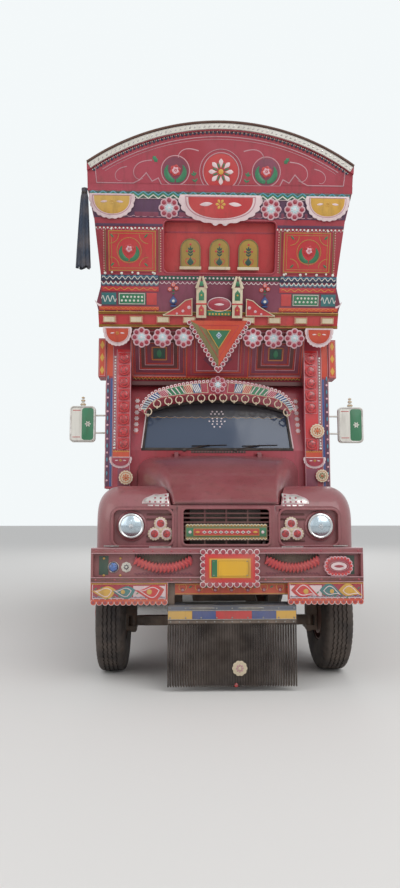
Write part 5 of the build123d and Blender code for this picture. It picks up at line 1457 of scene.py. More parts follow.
class TRUCK_OT_columns(bpy.types.Operator):
    """Columns beside the windscreen: reflectors, round lamps, plates and strips."""

    bl_idname = "truck.columns"
    bl_label = "Columns"

    def execute(self, context):
        face = front_board(COLUMN_FACE)
        trim = Piece("column_trim")
        outer_x, stem_x = 1.118, 1.046
        for side in (-1, 1):
            for x, width, z0, z1, name in ((outer_x, 0.038, 1.66, 2.76, PLUM),
                    (1.082, 0.024, 1.66, 2.76, DEEP_BLUE), (1.100, 0.070, 2.78, 3.20, ORANGE),
                    (0.957, 0.140, 2.03, 3.06, "red_film"), (0.975, 0.168, 1.95, 2.02, ORANGE),
                    (0.950, 0.120, 1.66, 1.84, MULBERRY)):
                trim.bar(side * x - width / 2, side * x + width / 2, z0, z1, 0.003, name, face)
            for x, z0, z1 in ((0.890, 1.66, 3.22), (1.028, 2.04, 3.06), (1.066, 1.66, 3.22),
                    (1.134, 1.66, 3.22)):
                trim.line([(side * x, z0), (side * x, z1)], 0.007, 0.006, BLUSH, face)
            stem = np.stack([np.full(30, side * stem_x), np.linspace(2.10, 2.98, 30)], 1)
            for lean in (-0.7, 0.7):
                trim.add(button(leaf(0.034, 0.012, 8), 0.005, 0.002), TIN, face, stem, math.pi / 2 + lean)
            dots(trim, face, [(side * stem_x, 2.075), (side * stem_x, 2.045)], 0.013, TIN, 0.008)
            trim.line(wave(side * 0.893, side * 1.06, 2.022, 0.014, 7, 6, "scallop"), 0.006, 0.006, GOLD,
                face)
            for z in np.arange(1.72, 2.70, 0.14):
                dots(trim, face.lifted(0.003), [(side * outer_x, z)], 0.011, "pink_film", 0.004)
                trim.add(button(leaf(0.05, 0.012, 10), 0.003, 0.001), SKY_BLUE, face.lifted(0.003),
                    (side * outer_x, z + 0.07), math.pi / 2)
            hanging_plate(trim, face, side * 0.982, 1.958, 0.110, 0.112, "crimson_film", 0.001)
            outside = Board((side * 1.1403, at(1.4425), 2.2), (0, side, 0))
            trim.bar(-0.10, 0.10, -0.52, 0.52, 0.002, MULBERRY, outside)
            for level in (-0.36, 0.0, 0.36):
                floral_panel(trim, outside.lifted(0.002), (0, level), 0.19, 0.31, "violet_enamel", GOLD,
                    SCARLET, LEAF_GREEN)
            box_side = Board((side * 1.2153, at(1.4025), 2.97), (0, side, 0))
            floral_panel(trim, box_side, (0, 0), 0.185, 0.385, ORANGE, GOLD, "crimson_film", LEAF_GREEN)
            box_front = front_board(1.3047)
            box_x = side * 1.178
            x0, x1 = sorted((side * 1.145, side * 1.211))
            trim.bar(x0, x1, 2.775, 3.165, 0.002, ORANGE, box_front)
            framed(trim, box_front, (box_x, 2.97), 0.056, 0.375, 0.005, BLUSH)
            for z in (2.84, 2.97, 3.10):
                trim.add(button(circle(0.5, 4) * (0.044, 0.09), 0.004), GOLD, box_front, (box_x, z))
        trim.build(slot="crown_paint")

        lamps = Piece("reflector_faces")
        lens = dome(circle(0.042, 24), [(1, 0), (0.93, 0.006), (0.6, 0.010)], 0.0115)
        lens_face = front_board(1.3027)
        for side in (-1, 1):
            for i in range(REFLECTOR_COUNT):
                x, z = side * REFLECTOR_X, REFLECTOR_FOOT + REFLECTOR_PITCH * i
                if all(math.hypot(x - lx, z - lz) >= r + REFLECTOR_R for lx, lz, r, *_ in SIDE_LAMPS):
                    lamps.add(lens, RED_LENS, lens_face, (x, z))
                    ringed(lamps, lens_face, (x, z), 0.0485, 0.011, "red_film", 0.006, 28)
                    framed(lamps, face.lifted(0.003), (x, z), 0.120, 0.118, 0.003, "pink_film", 0.003)
        for x, z, r, petal, heart, eye in SIDE_LAMPS:
            medal(lamps, front_board(1.2947), (x, z), r, petal, heart, eye, 14)
        lamps.build(slot="reflector_red")
        return {"FINISHED"}


CREST_OUTER = (((-0.800, 2.435), (-0.722, 2.575), (-0.600, 2.655)),
    ((-0.600, 2.655), (0, 2.755), (0.600, 2.655)), ((0.600, 2.655), (0.722, 2.575), (0.800, 2.435)))
CREST_INNER = (((-0.738, 2.400), (-0.665, 2.505), (-0.560, 2.556)),
    ((-0.560, 2.556), (0, 2.600), (0.560, 2.556)), ((0.560, 2.556), (0.665, 2.505), (0.738, 2.400)))


class TRUCK_OT_crest(bpy.types.Operator):
    """Arched crest over the windscreen: striped leaves, dots, rings, a flower."""

    bl_idname = "truck.crest"
    bl_label = "Windscreen Crest"

    def execute(self, context):
        count = 161
        outer, inner = chained(CREST_OUTER, count), chained(CREST_INNER, count)
        grid = np.linspace(-1, 1, count)

        def spots(share, height):
            """Places on the crest: share along it, height from its inner edge."""
            ends = [np.stack([np.interp(share, grid, line[:, k]) for k in (0, 1)], 1)
                for line in (inner, outer)]
            return ends[0] + (ends[1] - ends[0]) * np.asarray(height, float)[:, None]

        face, ring_face = front_board(1.3347), front_board(1.3357)
        crest = Piece("crest_paint")
        for side in (-1, 1):
            for start, end, field, line in ((0.12, 0.20, "crimson_film", "crimson_film"),
                    (0.20, 0.30, DEEP_BLUE, WHITE), (0.30, 0.40, CREAM, SCARLET),
                    (0.40, 0.60, LEAF_GREEN, ROSE_WHITE), (0.60, 0.70, "pink_film", "crimson_film"),
                    (0.70, 0.84, DEEP_BLUE, WHITE), (0.84, 0.97, PLUM, "pale_cyan_film")):
                share = np.linspace(*sorted((side * start, side * end)), 14)
                crest.add(filled(spots(share, np.full(14, 0.80)), spots(share, np.full(14, 0.14)), 0.003),
                    field, face)
                for k in np.linspace(start + 0.008, end - 0.03, 4):
                    slant = side * np.array([k, k + 0.026])
                    crest.line(spots(slant, np.array([0.2, 0.74])), 0.011, 0.006, line, face)
                rim = np.vstack([spots(share, np.full(14, 0.14)), spots(share, np.full(14, 0.80))[::-1]])
                crest.line(rim, 0.006, 0.006, CREAM, face, True)
        upper = spots(np.linspace(-0.985, 0.985, 120), np.full(120, 0.90))
        places, heading = along(upper, 44)
        crest.add(button(flower(0.017, 6, 0.15, 24), 0.006, 0.001), ROSE_WHITE, face, places, heading)
        dots(crest, face.lifted(0.005), places, 0.0085, "crimson_film", 0.005, 10)
        lower = spots(np.linspace(-0.985, 0.985, 120), np.full(120, 0.05))
        dots(crest, face, along(lower, 29)[0], 0.011, "crimson_film", 0.007, 12)
        for arc_points, rings in zip(CREST_INNER, (2, 10, 2)):
            line, _ = along(through(*arc_points, 60), 2 * rings + 1)
            hang = line[1::2] - (0, 0.034)
            crest.add(stroke(circle(0.0365, 24), 0.010, 0.005, ROUND, True), CREAM, ring_face, hang)
            dots(crest, front_board(1.3425), hang - (0, 0.043), 0.009, CREAM, 0.007, 10)
            dots(crest, ring_face, hang - (0, 0.029), 0.009, CREAM, 0.009, 10)
        rosette_face(crest, front_board(COLUMN_FACE), (0, 2.700), 0.092)
        crest.build(slot="painted_tin")
        return {"FINISHED"}


class TRUCK_OT_screen(bpy.types.Operator):
    """Windscreen's rubber seal, pillar strips, sun strip, small stars and wipers."""

    bl_idname = "truck.screen"
    bl_label = "Windscreen"

    def execute(self, context):
        def slope(z):
            return (z - 2.030) * SCREEN_SLOPE

        top = through((0.722, slope(2.44)), (0, slope(2.558)), (-0.722, slope(2.44)), 40)
        edge = np.vstack([[(-0.762, slope(2.042)), (0.762, slope(2.042))], top])
        seal = Piece("screen_seal")
        seal.line(edge, 0.030, 0.010, "bakelite_black", SCREEN, True)
        for side in (-1, 1):
            strip = [(side * 0.776, slope(2.05)), (side * 0.733, slope(2.45))]
            seal.line(strip, 0.014, 0.014, ROSE_WHITE, SCREEN)
            stem = [(side * 0.838, slope(2.20)), (side * 0.828, slope(2.60))]
            seal.add(stroke(stem, 0.050, 0.003), SCARLET, SCREEN)
            for z in np.linspace(2.24, 2.56, 6):
                spot = (side * (0.838 - 0.025 * (z - 2.2)), slope(z))
                seal.add(button(flower(0.026, 6, 0.3, 36), 0.006, 0.002), ROSE_WHITE, SCREEN, spot)
                dots(seal, SCREEN.lifted(0.004), [spot], 0.007, "crimson_film", 0.004)
        vent = front_board(1.3797)
        seal.bar(-0.27, 0.285, 2.004, 2.026, 0.004, BLACK, vent)
        for x in np.linspace(-0.25, 0.265, 18):
            seal.bar(x - 0.004, x + 0.004, 2.006, 2.024, 0.007, MAROON, vent, 0.001)
        arm_lean = 0.20
        way = np.array([math.cos(arm_lean), math.sin(arm_lean)])
        blade_lean = 0.03
        blade_way = np.array([math.cos(blade_lean), math.sin(blade_lean)])
        for x in (-0.34, 0.18):
            foot = np.array([x, slope(2.035)])
            arm = np.linspace(0, 0.26, 12)[:, None] * way + foot
            seal.line(arm, np.linspace(0.016, 0.007, 12), 0.016, BLACK, SCREEN)
            middle = foot + 0.26 * way
            blade = middle + np.linspace(-0.18, 0.18, 8)[:, None] * blade_way
            seal.add(stroke(blade, 0.010, 0.012, RIDGE), "bakelite_black", SCREEN.lifted(-0.010))
            dots(seal, SCREEN, [foot], 0.020, BLACK, 0.018, 16)
        seal.build(slot="window_glass")

        glass = SCREEN.lifted(-0.0113)
        stickers = Piece("sun_strip")
        x = np.linspace(-0.70, 0.70, 113)
        arched = np.interp(x, top[::-1, 0], top[::-1, 1]) - 0.004
        scallops = slope(2.405) - 0.013 * np.abs(np.sin(np.pi * (x + 0.70) / 0.0875))
        stickers.add(filled(np.stack([x, arched], 1), np.stack([x, scallops], 1), 0.0012), "sun_film",
            glass)
        for z, half, number in ((2.450, 0.048, 3), (2.425, 0.062, 4), (2.375, 0.048, 3), (2.345, 0.080, 5),
                (2.315, 0.048, 3), (2.285, 0.030, 2)):
            star = button(flower(0.010, 5, 0.45, 30), 0.0016)
            stickers.add(star, "white_film", glass.lifted(0.0008), row(-half, half, slope(z), number))
        stickers.add(stroke(np.stack([x, scallops - 0.012], 1), 0.003, 0.0015), GOLD, glass)
        stickers.build(slot="window_glass")
        return {"FINISHED"}


class TRUCK_OT_soffit(bpy.types.Operator):
    """Sloping soffit under the crown: stepped square panels with painted frames, and pink lines along each
    step's rim as painted highlights.
    """

    bl_idname = "truck.soffit"
    bl_label = "Crown Soffit"

    def execute(self, context):
        soffit = Piece("soffit_frames")
        for x in (-0.6, 0.6):
            middle = (x, 0.300)
            # the pink (blush) lines just outside each step's rim are painted highlights where light catches
            # the step; the other frames are painted lines
            for lift, width, height, line, name in ((0.0003, 0.536, 0.450, 0.014, MAROON),
                    (0.0003, 0.562, 0.476, 0.006, BLUSH), (-0.0077, 0.456, 0.380, 0.044, MULBERRY),
                    (-0.0067, 0.500, 0.418, 0.006, ORANGE), (-0.0067, 0.410, 0.340, 0.005, BLUSH),
                    (-0.0137, 0.336, 0.280, 0.044, DARK_MAROON), (-0.0127, 0.378, 0.316, 0.006, ORANGE),
                    (-0.0127, 0.292, 0.242, 0.005, BLUSH), (-0.0197, 0.210, 0.170, 0.036, MULBERRY),
                    (-0.0187, 0.256, 0.214, 0.005, ORANGE), (-0.0187, 0.146, 0.136, 0.005, GOLD)):
                section = FLAT if line > 0.02 else ROUND
                rise = 0.0012 if line > 0.02 else 0.004
                soffit.add(stroke(oblong(width, height) + middle, line, rise, section, True), name,
                    SOFFIT.lifted(lift))
            soffit.bar(x - 0.062, x + 0.062, 0.243, 0.357, 0.002, BOTTLE_GREEN, SOFFIT.lifted(-0.0197))
            soffit.add(button(leaf(0.09, 0.05, 16), 0.003, 0.002), LEAF_GREEN, SOFFIT.lifted(-0.0180),
                middle, math.pi / 2)
        for half, name in ((0.272, MAROON), (0.240, ORANGE), (0.216, BLUSH)):
            framed(soffit, SOFFIT, (0, 0.300), 2 * half, 0.03 + 1.5 * half, 0.010, name)
        soffit.add(button(circle(0.15, 4), 0.003), MULBERRY, SOFFIT, (0, 0.25))
        for level, name, height in ((0.030, DARK_MAROON, 0.010), (0.052, ORANGE, 0.006)):
            soffit.line([(-0.88, level), (0.88, level)], 0.014, height, name, SOFFIT)
        soffit.line(wave(-0.87, 0.87, 0.036, 0.011, 46, 4, "zigzag"), 0.005, 0.012, GOLD, SOFFIT)
        for x in (-0.875, -0.318, 0.318, 0.875):
            soffit.line([(x, 0.06), (x, 0.55)], 0.012, 0.006, ORANGE, SOFFIT)
        soffit.build(slot="crown_paint")
        return {"FINISHED"}


class TRUCK_OT_nose(bpy.types.Operator):
    """Lamps, winged tin plates, trefoils, bright bars and the blank grille sign."""

    bl_idname = "truck.nose"
    bl_label = "Nose and Lamps"

    def execute(self, context):
        look = context.scene.truck_trim
        lamps = Piece("lamp_glasses")
        trim = Piece("nose_trim")
        wing_face, recess, disc = front_board(0.1647), front_board(0.2097), front_board(0.1877)
        for side in (-1, 1):
            spot = (side * LAMP_X, LAMP_Z)
            lamps.add(fluted_lens(0.088, 0.191, look.flute), "fluted_lamp_glass", front_board(0.1660), spot)
            dots(lamps, front_board(0.1445), [spot], 0.020, "clear_reflector", 0.004, 20)
            ringed(lamps, front_board(0.1720), spot, 0.094, 0.020, "chromed_steel", 0.012, 64)
            ringed(lamps, recess, spot, 0.112, 0.030, MAROON, 0.022, 64)
            lip = rounded(0.500, 0.305, 0.06, 7) + (side * 0.690, 1.2775)
            trim.line(lip, 0.020, 0.010, MAROON, wing_face, True)
            for z in (1.165, 1.205, 1.345, 1.385):
                x0, x1 = sorted((side * 0.450, side * 0.660))
                trim.bar(x0, x1, z - 0.007, z + 0.007, 0.010, DARK_MAROON, recess)
            for x, z in ((0.544, 1.311), (0.494, 1.226), (0.594, 1.226)):
                trim.add(button(flower(0.056, 14, 0.14, 84), 0.004, 0.001), CREAM, disc, (side * x, z))
                trim.add(button(flower(0.044, 14, 0.12, 84), 0.006, 0.001), ROSE_WHITE, disc, (side * x, z))
                dots(trim, disc.lifted(0.005), [(side * x, z)], 0.032, RED_LENS, 0.010, 22)
            dots(trim, disc, [(side * 0.544, 1.255)], 0.018, CREAM, 0.010, 16)
            for x, half, z, tall in ((0.546, 0.092, 1.119, 0.013), (0.546, 0.102, 1.099, 0.010),
                    (0.945, 0.062, 1.127, 0.012)):
                trim.bar(side * x - half, side * x + half, z - tall / 2, z + tall / 2, 0.014, TIN,
                    wing_face, 0.003)
            bent = RoundBoard()
            low_wing = np.array([(0.475, 0.118), (0.640, 0.118), (0.655, 0.140),
                (0.475, 0.140)]) * (side, 1)
            high_wing = np.vstack([[(0.475, 0.150), (0.700, 0.150)], arc((0.640, 0.158), 0.060, 0, 75, 7),
                arc((0.580, 0.205), 0.050, 40, 120, 6), [(0.480, 0.262)]]) * (side, 1)
            for outline in (low_wing, high_wing):
                outline = outline if side > 0 else outline[::-1]
                middle = outline.mean(0)
                trim.add(button(outline - middle, 0.004, 0.001, 0.04), TIN, bent, middle)
                trim.line((outline - middle) * 0.90 + middle, 0.005, 0.006, "pink_film", bent, True)
            dots(trim, bent.lifted(0.004), [(side * x, y) for x, y in ((0.50, 0.165), (0.545, 0.165),
                (0.59, 0.165), (0.635, 0.168), (0.50, 0.20), (0.545, 0.203), (0.592, 0.205), (0.505, 0.235),
                (0.50, 0.129), (0.55, 0.129), (0.60, 0.129))], 0.009, "crimson_film", 0.004)
        lip = rounded(0.728, 0.306, 0.035, 6) + (0, 1.285)
        trim.line(lip, 0.022, 0.010, MAROON, front_board(0.1497), True)
        trim.line([(-0.42, 1.480), (0.42, 1.480)], 0.008, 0.006, DARK_MAROON, front_board(0.1895))
        lamps.build(slot="lamp_glass")
        trim.build(slot="painted_tin")

        sign = Piece("grille_sign")
        face = front_board(0.1479)
        sign.bar(-0.336, 0.336, 1.184, 1.298, 0.002, OLIVE, face)
        for level, swing in ((1.292, -0.012), (1.190, 0.012)):
            sign.line(wave(-0.334, 0.334, level, swing, 24, 6, "scallop"), 0.008, 0.008, CREAM, face)
            dots(sign, face.lifted(0.002), row(-0.32, 0.32, level - swing * 0.1, 24), 0.0055, GOLD)
        sign.bar(-0.330, 0.330, 1.204, 1.276, 0.006, LEAF_GREEN, face)
        sign.bar(-0.272, 0.272, 1.210, 1.270, 0.009, SCARLET, face)
        framed(sign, face.lifted(0.009), (0, 1.24), 0.536, 0.052, 0.004, GOLD)
        lozenges(sign, face.lifted(0.009), -0.205, 0.205, 1.240, 0.026, 9, ROSE_WHITE, LEAF_GREEN)
        for side in (-1, 1):
            sign.add(button(leaf(0.042, 0.02, 12), 0.004, 0.002), GOLD, face.lifted(0.009),
                (side * 0.238, 1.24))
            dots(sign, face.lifted(0.006), [(side * 0.30, 1.24)], 0.013, ROSE_WHITE, 0.005)
        sign.build(slot="painted_tin")
        return {"FINISHED"}


class TRUCK_OT_bumper(bpy.types.Operator):
    """Bumper channel with garlands, gems and a plaque, and its painted flaps."""

    bl_idname = "truck.bumper"
    bl_label = "Bumper"

    def execute(self, context):
        web, lips = front_board(0.0497), front_board(-0.0003)
        bumper = Piece("bumper_trim")
        for z, name in ((1.096, MAROON), (0.869, DARK_MAROON)):
            bumper.bar(-1.085, 1.085, z - 0.019, z + 0.019, 0.003, name, lips)
            bumper.line(wave(-1.08, 1.08, z, 0.006, 30), 0.003, 0.004, CRIMSON, lips)
            dots(bumper, lips, row(-1.05, 1.05, z, 15), 0.009, "crimson_film", 0.007)
        for z in (1.117, 1.077, 0.888, 0.850):
            bumper.line([(-1.088, z), (1.088, z)], 0.006, 0.006, BLUSH, lips)
        for x0, x1 in ((-0.745, -0.285), (0.310, 0.745)):
            for shift in np.linspace(0, 0.05, 5):
                mesh_line = wave(x0, x1, 1.058 - shift, 0.010, 22, 4, "zigzag")
                bumper.line(mesh_line, 0.005, 0.005, BLACK, web)
            garland(bumper, web, ((x0 + 0.01, 1.020), (x1 - 0.01, 1.020)), 0.062, 24, CRIMSON, SCARLET)
            bumper.line(wave(x0, x1, 0.912, 0.009, 16), 0.005, 0.005, MULBERRY, web)
        for side in (-1, 1):
            x0, x1 = sorted((side * 1.03, side * 0.955))
            bumper.bar(x0, x1, 0.905, 1.055, 0.003, BOTTLE_GREEN, web)
        dots(bumper, web, [(-0.915, 0.965)], 0.036, "blue_reflector", 0.020, 20)
        ringed(bumper, web, (-0.915, 0.965), 0.041, 0.009, TIN, 0.010, 26)
        medal(bumper, web, (-0.812, 0.965), 0.042, WHITE, NAVY, WHITE, 8)
        for x in (-0.992, -0.860):
            dots(bumper, web, [(x, 1.035), (x, 0.90)], 0.010, GOLD, 0.008)
        bumper.build(slot="maroon_paint")

        plaque = Piece("bumper_plaque")
        back = rounded(0.205, 0.128, 0.062, 9)
        middle = (0.893, 0.972)
        places = along(back * 0.97 + middle, 20, True)[0]
        plaque.add(button(back, 0.046, 0.002), "crimson_film", web, middle)
        plaque.add(button(circle(0.019, 14), 0.044, 0.001), "pink_film", web, places)
        dots(plaque, web.lifted(0.044), places, 0.011, "red_film", 0.004)
        oval = circle(1.0, 40) * (0.068, 0.034)
        plaque.add(button(oval, 0.050, 0.002), ROSE_WHITE, web, middle)
        plaque.line(oval * 1.14 + middle, 0.007, 0.052, ROSE_WHITE, web, True)
        plaque.add(button(leaf(0.085, 0.024, 16), 0.053, 0.002), "crimson_film", web, middle)
        plaque.build(slot="painted_tin")

        flaps = Piece("flap_paint")
        face = front_board(0.0097)
        for side in (-1, 1):
            x0, x1 = sorted((side * 0.488, side * 1.084))
            flaps.bar(x0, x1, 0.712, 0.843, 0.0015, "crimson_film", face)
            framed(flaps, face, ((x0 + x1) / 2, 0.780), abs(x1 - x0) - 0.02, 0.112, 0.006, ROSE_WHITE)
            flaps.line([(x0, 0.838), (x1, 0.838)], 0.010, 0.006, GOLD, face)
            flaps.bar(x0 + 0.004, x1 - 0.004, 0.697, 0.716, 0.005, ORANGE, face)
            for share, name, length, backed in ((0.16, GOLD, 0.20, False), (0.42, TEAL, 0.20, False),
                    (0.77, "red_film", 0.24, True)):
                spot = (side * (1.084 - share * 0.596), 0.774)
                if backed:
                    flaps.bar(spot[0] - 0.128, spot[0] + 0.128, 0.734, 0.822, 0.002, ROSE_WHITE, face)
                paisley(flaps, face.lifted(0.0015), spot, length, 0.12 if side < 0 else math.pi - 0.12,
                    name, ROSE_WHITE, GOLD)
            for z, name in ((0.828, SCARLET), (0.733, SKY_BLUE)):
                flaps.line(wave(x0 + 0.01, x1 - 0.01, z, 0.006, 14), 0.005, 0.004, name, face)
            for x in np.linspace(0.53, 1.05, 12):
                flaps.add(button(leaf(0.03, 0.010, 10), 0.003, 0.001), LEAF_GREEN, face.lifted(0.001),
                    (side * x, 0.812 - 0.09 * (x * 23 % 1)), 0.7)
            pitch = 0.610 / 13
            places = row(side * (0.480 + pitch / 2), side * (1.090 - pitch / 2), 0.693, 13)
            flaps.add(button(circle(0.0245, 18), 0.004, 0.001), ROSE_WHITE, face, places)
            flaps.add(button(circle(0.0205, 16), 0.006, 0.001), ORANGE, face, places)
            dots(flaps, face.lifted(0.006), places, 0.011, "crimson_film", 0.005)
        flaps.build(slot="painted_tin")
        return {"FINISHED"}


class TRUCK_OT_board(bpy.types.Operator):
    """Blank number board, the painted board under it, footboard and strip apron."""

    bl_idname = "truck.board"
    bl_label = "Number Board and Step"

    def execute(self, context):
        x, z, w, h = 0.016, 0.960, 0.430, 0.255
        face = front_board(-0.0203)
        board = Piece("number_board_face")
        across = row(x - w / 2, x + w / 2, 0, 9)[:, 0]
        edge = [(lx, z + s * h / 2) for lx in across for s in (-1, 1)]
        edge += [(x + s * w / 2, z + h * (i / 5 - 0.5)) for i in range(1, 5) for s in (-1, 1)]
        board.add(button(circle(0.0238, 20), 0.004, 0.001), ROSE_WHITE, face, edge)
        dots(board, face.lifted(0.004), edge, 0.0190, "crimson_film", 0.006, 16)
        for inset, name, rise in ((0.012, "red_film", 0.0045), (0.036, ORANGE, 0.007), (0.050, GOLD, 0.009),
                (0.060, ORANGE, 0.010)):
            board.bar(x - w / 2 + inset, x + w / 2 - inset, z - h / 2 + inset, z + h / 2 - inset, rise,
                name, face)
        board.bar(x - 0.147, x + 0.152, z - 0.067, z + 0.068, 0.013, "number_yellow_enamel", face)
        board.bar(x - 0.147, x - 0.100, z - 0.067, z + 0.068, 0.0145, LEAF_GREEN, face)
        framed(board, face.lifted(0.012), (x + 0.026, z), 0.236, 0.118, 0.003, OLD_GOLD, 0.0025)
        for sx in (-0.13, 0.135):
            dots(board, face.lifted(0.012), [(x + sx, z + 0.055), (x + sx, z - 0.055)], 0.005, STEEL, 0.004)
        board.build(slot="painted_tin")

        step = Piece("footboard_paint")
        strip = front_board(-0.0003)
        for x0, x1, name in ((-0.476, -0.284, GOLD), (-0.284, -0.097, DEEP_BLUE), (-0.097, 0.189, SCARLET),
                (0.189, 0.383, DEEP_BLUE), (0.383, 0.542, GOLD)):
            step.bar(x0 + 0.001, x1 - 0.001, 0.560, 0.626, 0.003, name, strip)
        step.bar(-0.476, 0.542, 0.629, 0.662, 0.004, "slate_brushed_enamel", strip)
        for sx in (-0.209, 0.181):
            step.add(button(circle(1.0, 32) * (0.105, 0.011), 0.006, 0.001), STEEL, strip, (sx, 0.647))
        for level in (0.559, 0.628):
            step.line([(-0.477, level), (0.543, level)], 0.007, 0.006, STEEL, strip)
        bolts = [(bx, bz) for bx in np.linspace(-0.46, 0.526, 9) for bz in (0.572, 0.645)]
        dots(step, strip.lifted(0.003), bolts, 0.007, STEEL, 0.004, 8)
        tread = Board((0.033, at(0.110), 0.6653), (1, 0, 0), (0, 1, 0))
        step.bar(-0.505, 0.505, -0.104, 0.104, 0.002, "slate_brushed_enamel", tread)
        for sx in (-0.24, 0.15):
            step.add(button(circle(1.0, 40) * (0.135, 0.058), 0.005), STEEL, tread, (sx, 0.0))
        framed(step, tread, (0, 0), 1.0, 0.20, 0.008, STEEL, 0.004)
        panel = front_board(0.0637)
        step.bar(-0.422, 0.488, 0.746, 0.834, 0.002, ORANGE, panel)
        for level in (0.752, 0.828):
            step.line([(-0.42, level), (0.486, level)], 0.006, 0.005, GOLD, panel)
        for sx in np.linspace(-0.36, 0.426, 7):
            for lean in (-1, 1):
                line = curl((sx, 0.772), 90 - lean * 70, 0.105, lean * 230, 1.4, 18)
                step.line(line, 0.007 * np.linspace(1, 0.5, 18), 0.004, GOLD, panel)
            rose(step, panel, (sx, 0.782), 0.020, "crimson_film", "pink_film", 0.002)
            step.add(button(leaf(0.034, 0.014, 10), 0.003, 0.001), LEAF_GREEN, panel, (sx + 0.062, 0.806),
                0.5)
        for sx in (-0.452, 0.518):
            post = front_board(0.0597)
            step.bar(sx - 0.022, sx + 0.022, 0.672, 0.842, 0.003, BLACK, post)
        step.build(slot="footboard_steel")

        apron = Piece("apron_trim")
        behind = front_board(0.0137)
        for sx in np.linspace(-0.468, 0.534, 50)[:-1] + 0.5 * 1.002 / 49:
            apron.bar(sx - 0.006, sx + 0.006, 0.048, 0.550, 0.003, "strip_rubber", behind, 0.001)
        rail = front_board(0.0037)
        apron.bar(-0.476, 0.542, 0.528, 0.552, 0.004, BLACK, rail)
        dots(apron, rail.lifted(0.004), row(-0.455, 0.521, 0.540, 15), 0.007, STEEL, 0.004, 8)
        medal(apron, front_board(-0.0063), (0.090, 0.183), 0.060, CREAM, BLUSH, CREAM, 10)
        dots(apron, front_board(0.0037), [(0.062, 0.052)], 0.016, RED_LENS, 0.010, 14)
        apron.build(slot="apron_rubber")
        return {"FINISHED"}


class TRUCK_OT_mirrors(bpy.types.Operator):
    """Driving mirrors: painted backs, silvered glass and finials."""

    bl_idname = "truck.mirrors"
    bl_label = "Mirrors"

    def execute(self, context):
        trim = Piece("mirror_trim")
        glass = Piece("mirror_glass")
        for side in (-1, 1):
            face = front_board(1.3977)
            x = side * 1.38
            level = 2.3
            middle = (x, level)
            outline = rounded(0.238, 0.348, 0.032, 5)
            trim.add(button(outline, 0.002, 0.0, 0.02), WHITE, face, middle)
            green = rounded(0.118, 0.330, 0.028, 5)
            trim.add(button(green, 0.004, 0.0, 0.03), LEAF_GREEN, face, (x + 0.052, level))
            petals(trim, face.lifted(0.004), (x + 0.055, level), 0.018, 6,
                button(leaf(0.03, 0.014, 10), 0.002), WHITE)
            for z in (2.165, 2.44):
                trim.line([(x - 0.10, z), (x - 0.02, z)], 0.008, 0.004, SCARLET, face)
            trim.line(outline + middle, 0.010, 0.008, TIN, face, True)
            back = Board((x, at(1.4423), level), (-1, 0, 0))
            glass.add(button(outline * 0.94, 0.003, 0.001, 0.02), "silvered_mirror", back, (0, 0))
            glass.line(outline, 0.012, 0.007, "bakelite_black", back, True)
            for rise, radius in ((0.018, 0.0265), (0.058, 0.0195), (0.088, 0.0145)):
                path = circle(radius + 0.001, 24)
                ring = tube(np.column_stack([path + (x, at(1.420)), np.full(24, 2.485 + rise)]), 0.003, 8,
                    (0, 0, 1), True)
                trim.add(ring, GOLD)
        trim.build(slot="mirror_white")
        glass.build(slot="mirror_white")
        return {"FINISHED"}


def side_board(x, side):
    """Upright board on the truck's left (side 1) or right (-1): a place at this
    depth and height lies at (side * depth, height) on it."""
    return Board((side * x, at(0), 0), (0, side, 0))


def rear_board(depth):
    """Upright board facing back: x runs to the truck's right."""
    return Board((0, at(depth) + 0.0003, 0), (-1, 0, 0))


def span(side, first, last):
    """Two depths as places across a side board, the smaller first."""
    return sorted((side * first, side * last))


def bay_panel(piece, board, middle, width, height, field, line, petal, leafy):
    """Floral panel with a scroll from each corner and a medal at both ends."""
    floral_panel(piece, board, middle, width, height, field, line, petal, leafy, 0.05)
    x, y = middle
    for sx in (-1, 1):
        for sy in (-1, 1):
            start = (x + sx * (width / 2 - 0.075), y + sy * (height / 2 - 0.075))
            heading = math.degrees(math.atan2(-sy, -sx)) + sx * sy * 30
            path = curl(start, heading, height * 0.34, -sx * sy * 250, 1.5, 22)
            piece.line(path, height * 0.014 * np.linspace(1, 0.4, 22), 0.005, line, board)
            piece.add(button(leaf(height * 0.11, height * 0.04, 12), 0.004, 0.002), leafy, board,
                (start[0] - sx * height * 0.10, start[1] - sy * height * 0.02), math.atan2(-sy, -sx))
    ringed(piece, board, middle, height * 0.25, 0.007, line, 0.005, 44)


def tyre_shape(middle, ribs, around=240):
    """Bias-ply tyre: a profile (x, r) turned round the axle. Four grooves,
    12 mm wide at the top, run round the tread. Each swings 5 mm to both sides,
    ribs times round, and 48 notches cut each shoulder."""
    wall = [(-0.090, 0.2546), (-0.104, 0.262), (-0.118, 0.300), (-0.1245, 0.350), (-0.1232, 0.362),
        (-0.1250, 0.372), (-0.1250, 0.405), (-0.1228, 0.414), (-0.1235, 0.440), (-0.1190, 0.470),
        (-0.1130, 0.484), (-0.1080, 0.493), (-0.0990, 0.5015), (-0.0900, 0.5065)]
    tread_r, groove_r, top_half, floor_half = 0.5098, 0.4985, 0.0062, 0.0045
    tread = []
    for groove in (-0.054, -0.018, 0.018, 0.054):
        tread += [(groove - top_half, tread_r), (groove - floor_half, groove_r),
            (groove + floor_half, groove_r), (groove + top_half, tread_r)]
    profile = np.array(wall + tread + [(-x, r) for x, r in wall[::-1]])[::-1]
    turn = full_turn(around)[:, None]
    x, reach = profile[:, 0][None, :], profile[:, 1][None, :]
    swing = 0.005 * (2 * np.abs((turn * ribs / (2 * np.pi)) % 1 - 0.5) - 0.5) * 2
    shift = swing * np.clip((0.088 - np.abs(x)) / 0.02, 0, 1)
    shoulder = (np.abs(x) > 0.097) & (reach > 0.465)
    notch = 0.008 * ((turn * 48 / (2 * np.pi)) % 1 < 0.34) * shoulder
    r = reach - notch
    points = np.stack([middle[0] + x + shift, middle[1] + r * np.cos(turn), middle[2] + r * np.sin(turn)],
        2)
    return points.reshape(-1, 3), [grid_quads(around, len(profile), True)]


TYRE_RADIUS = 0.510


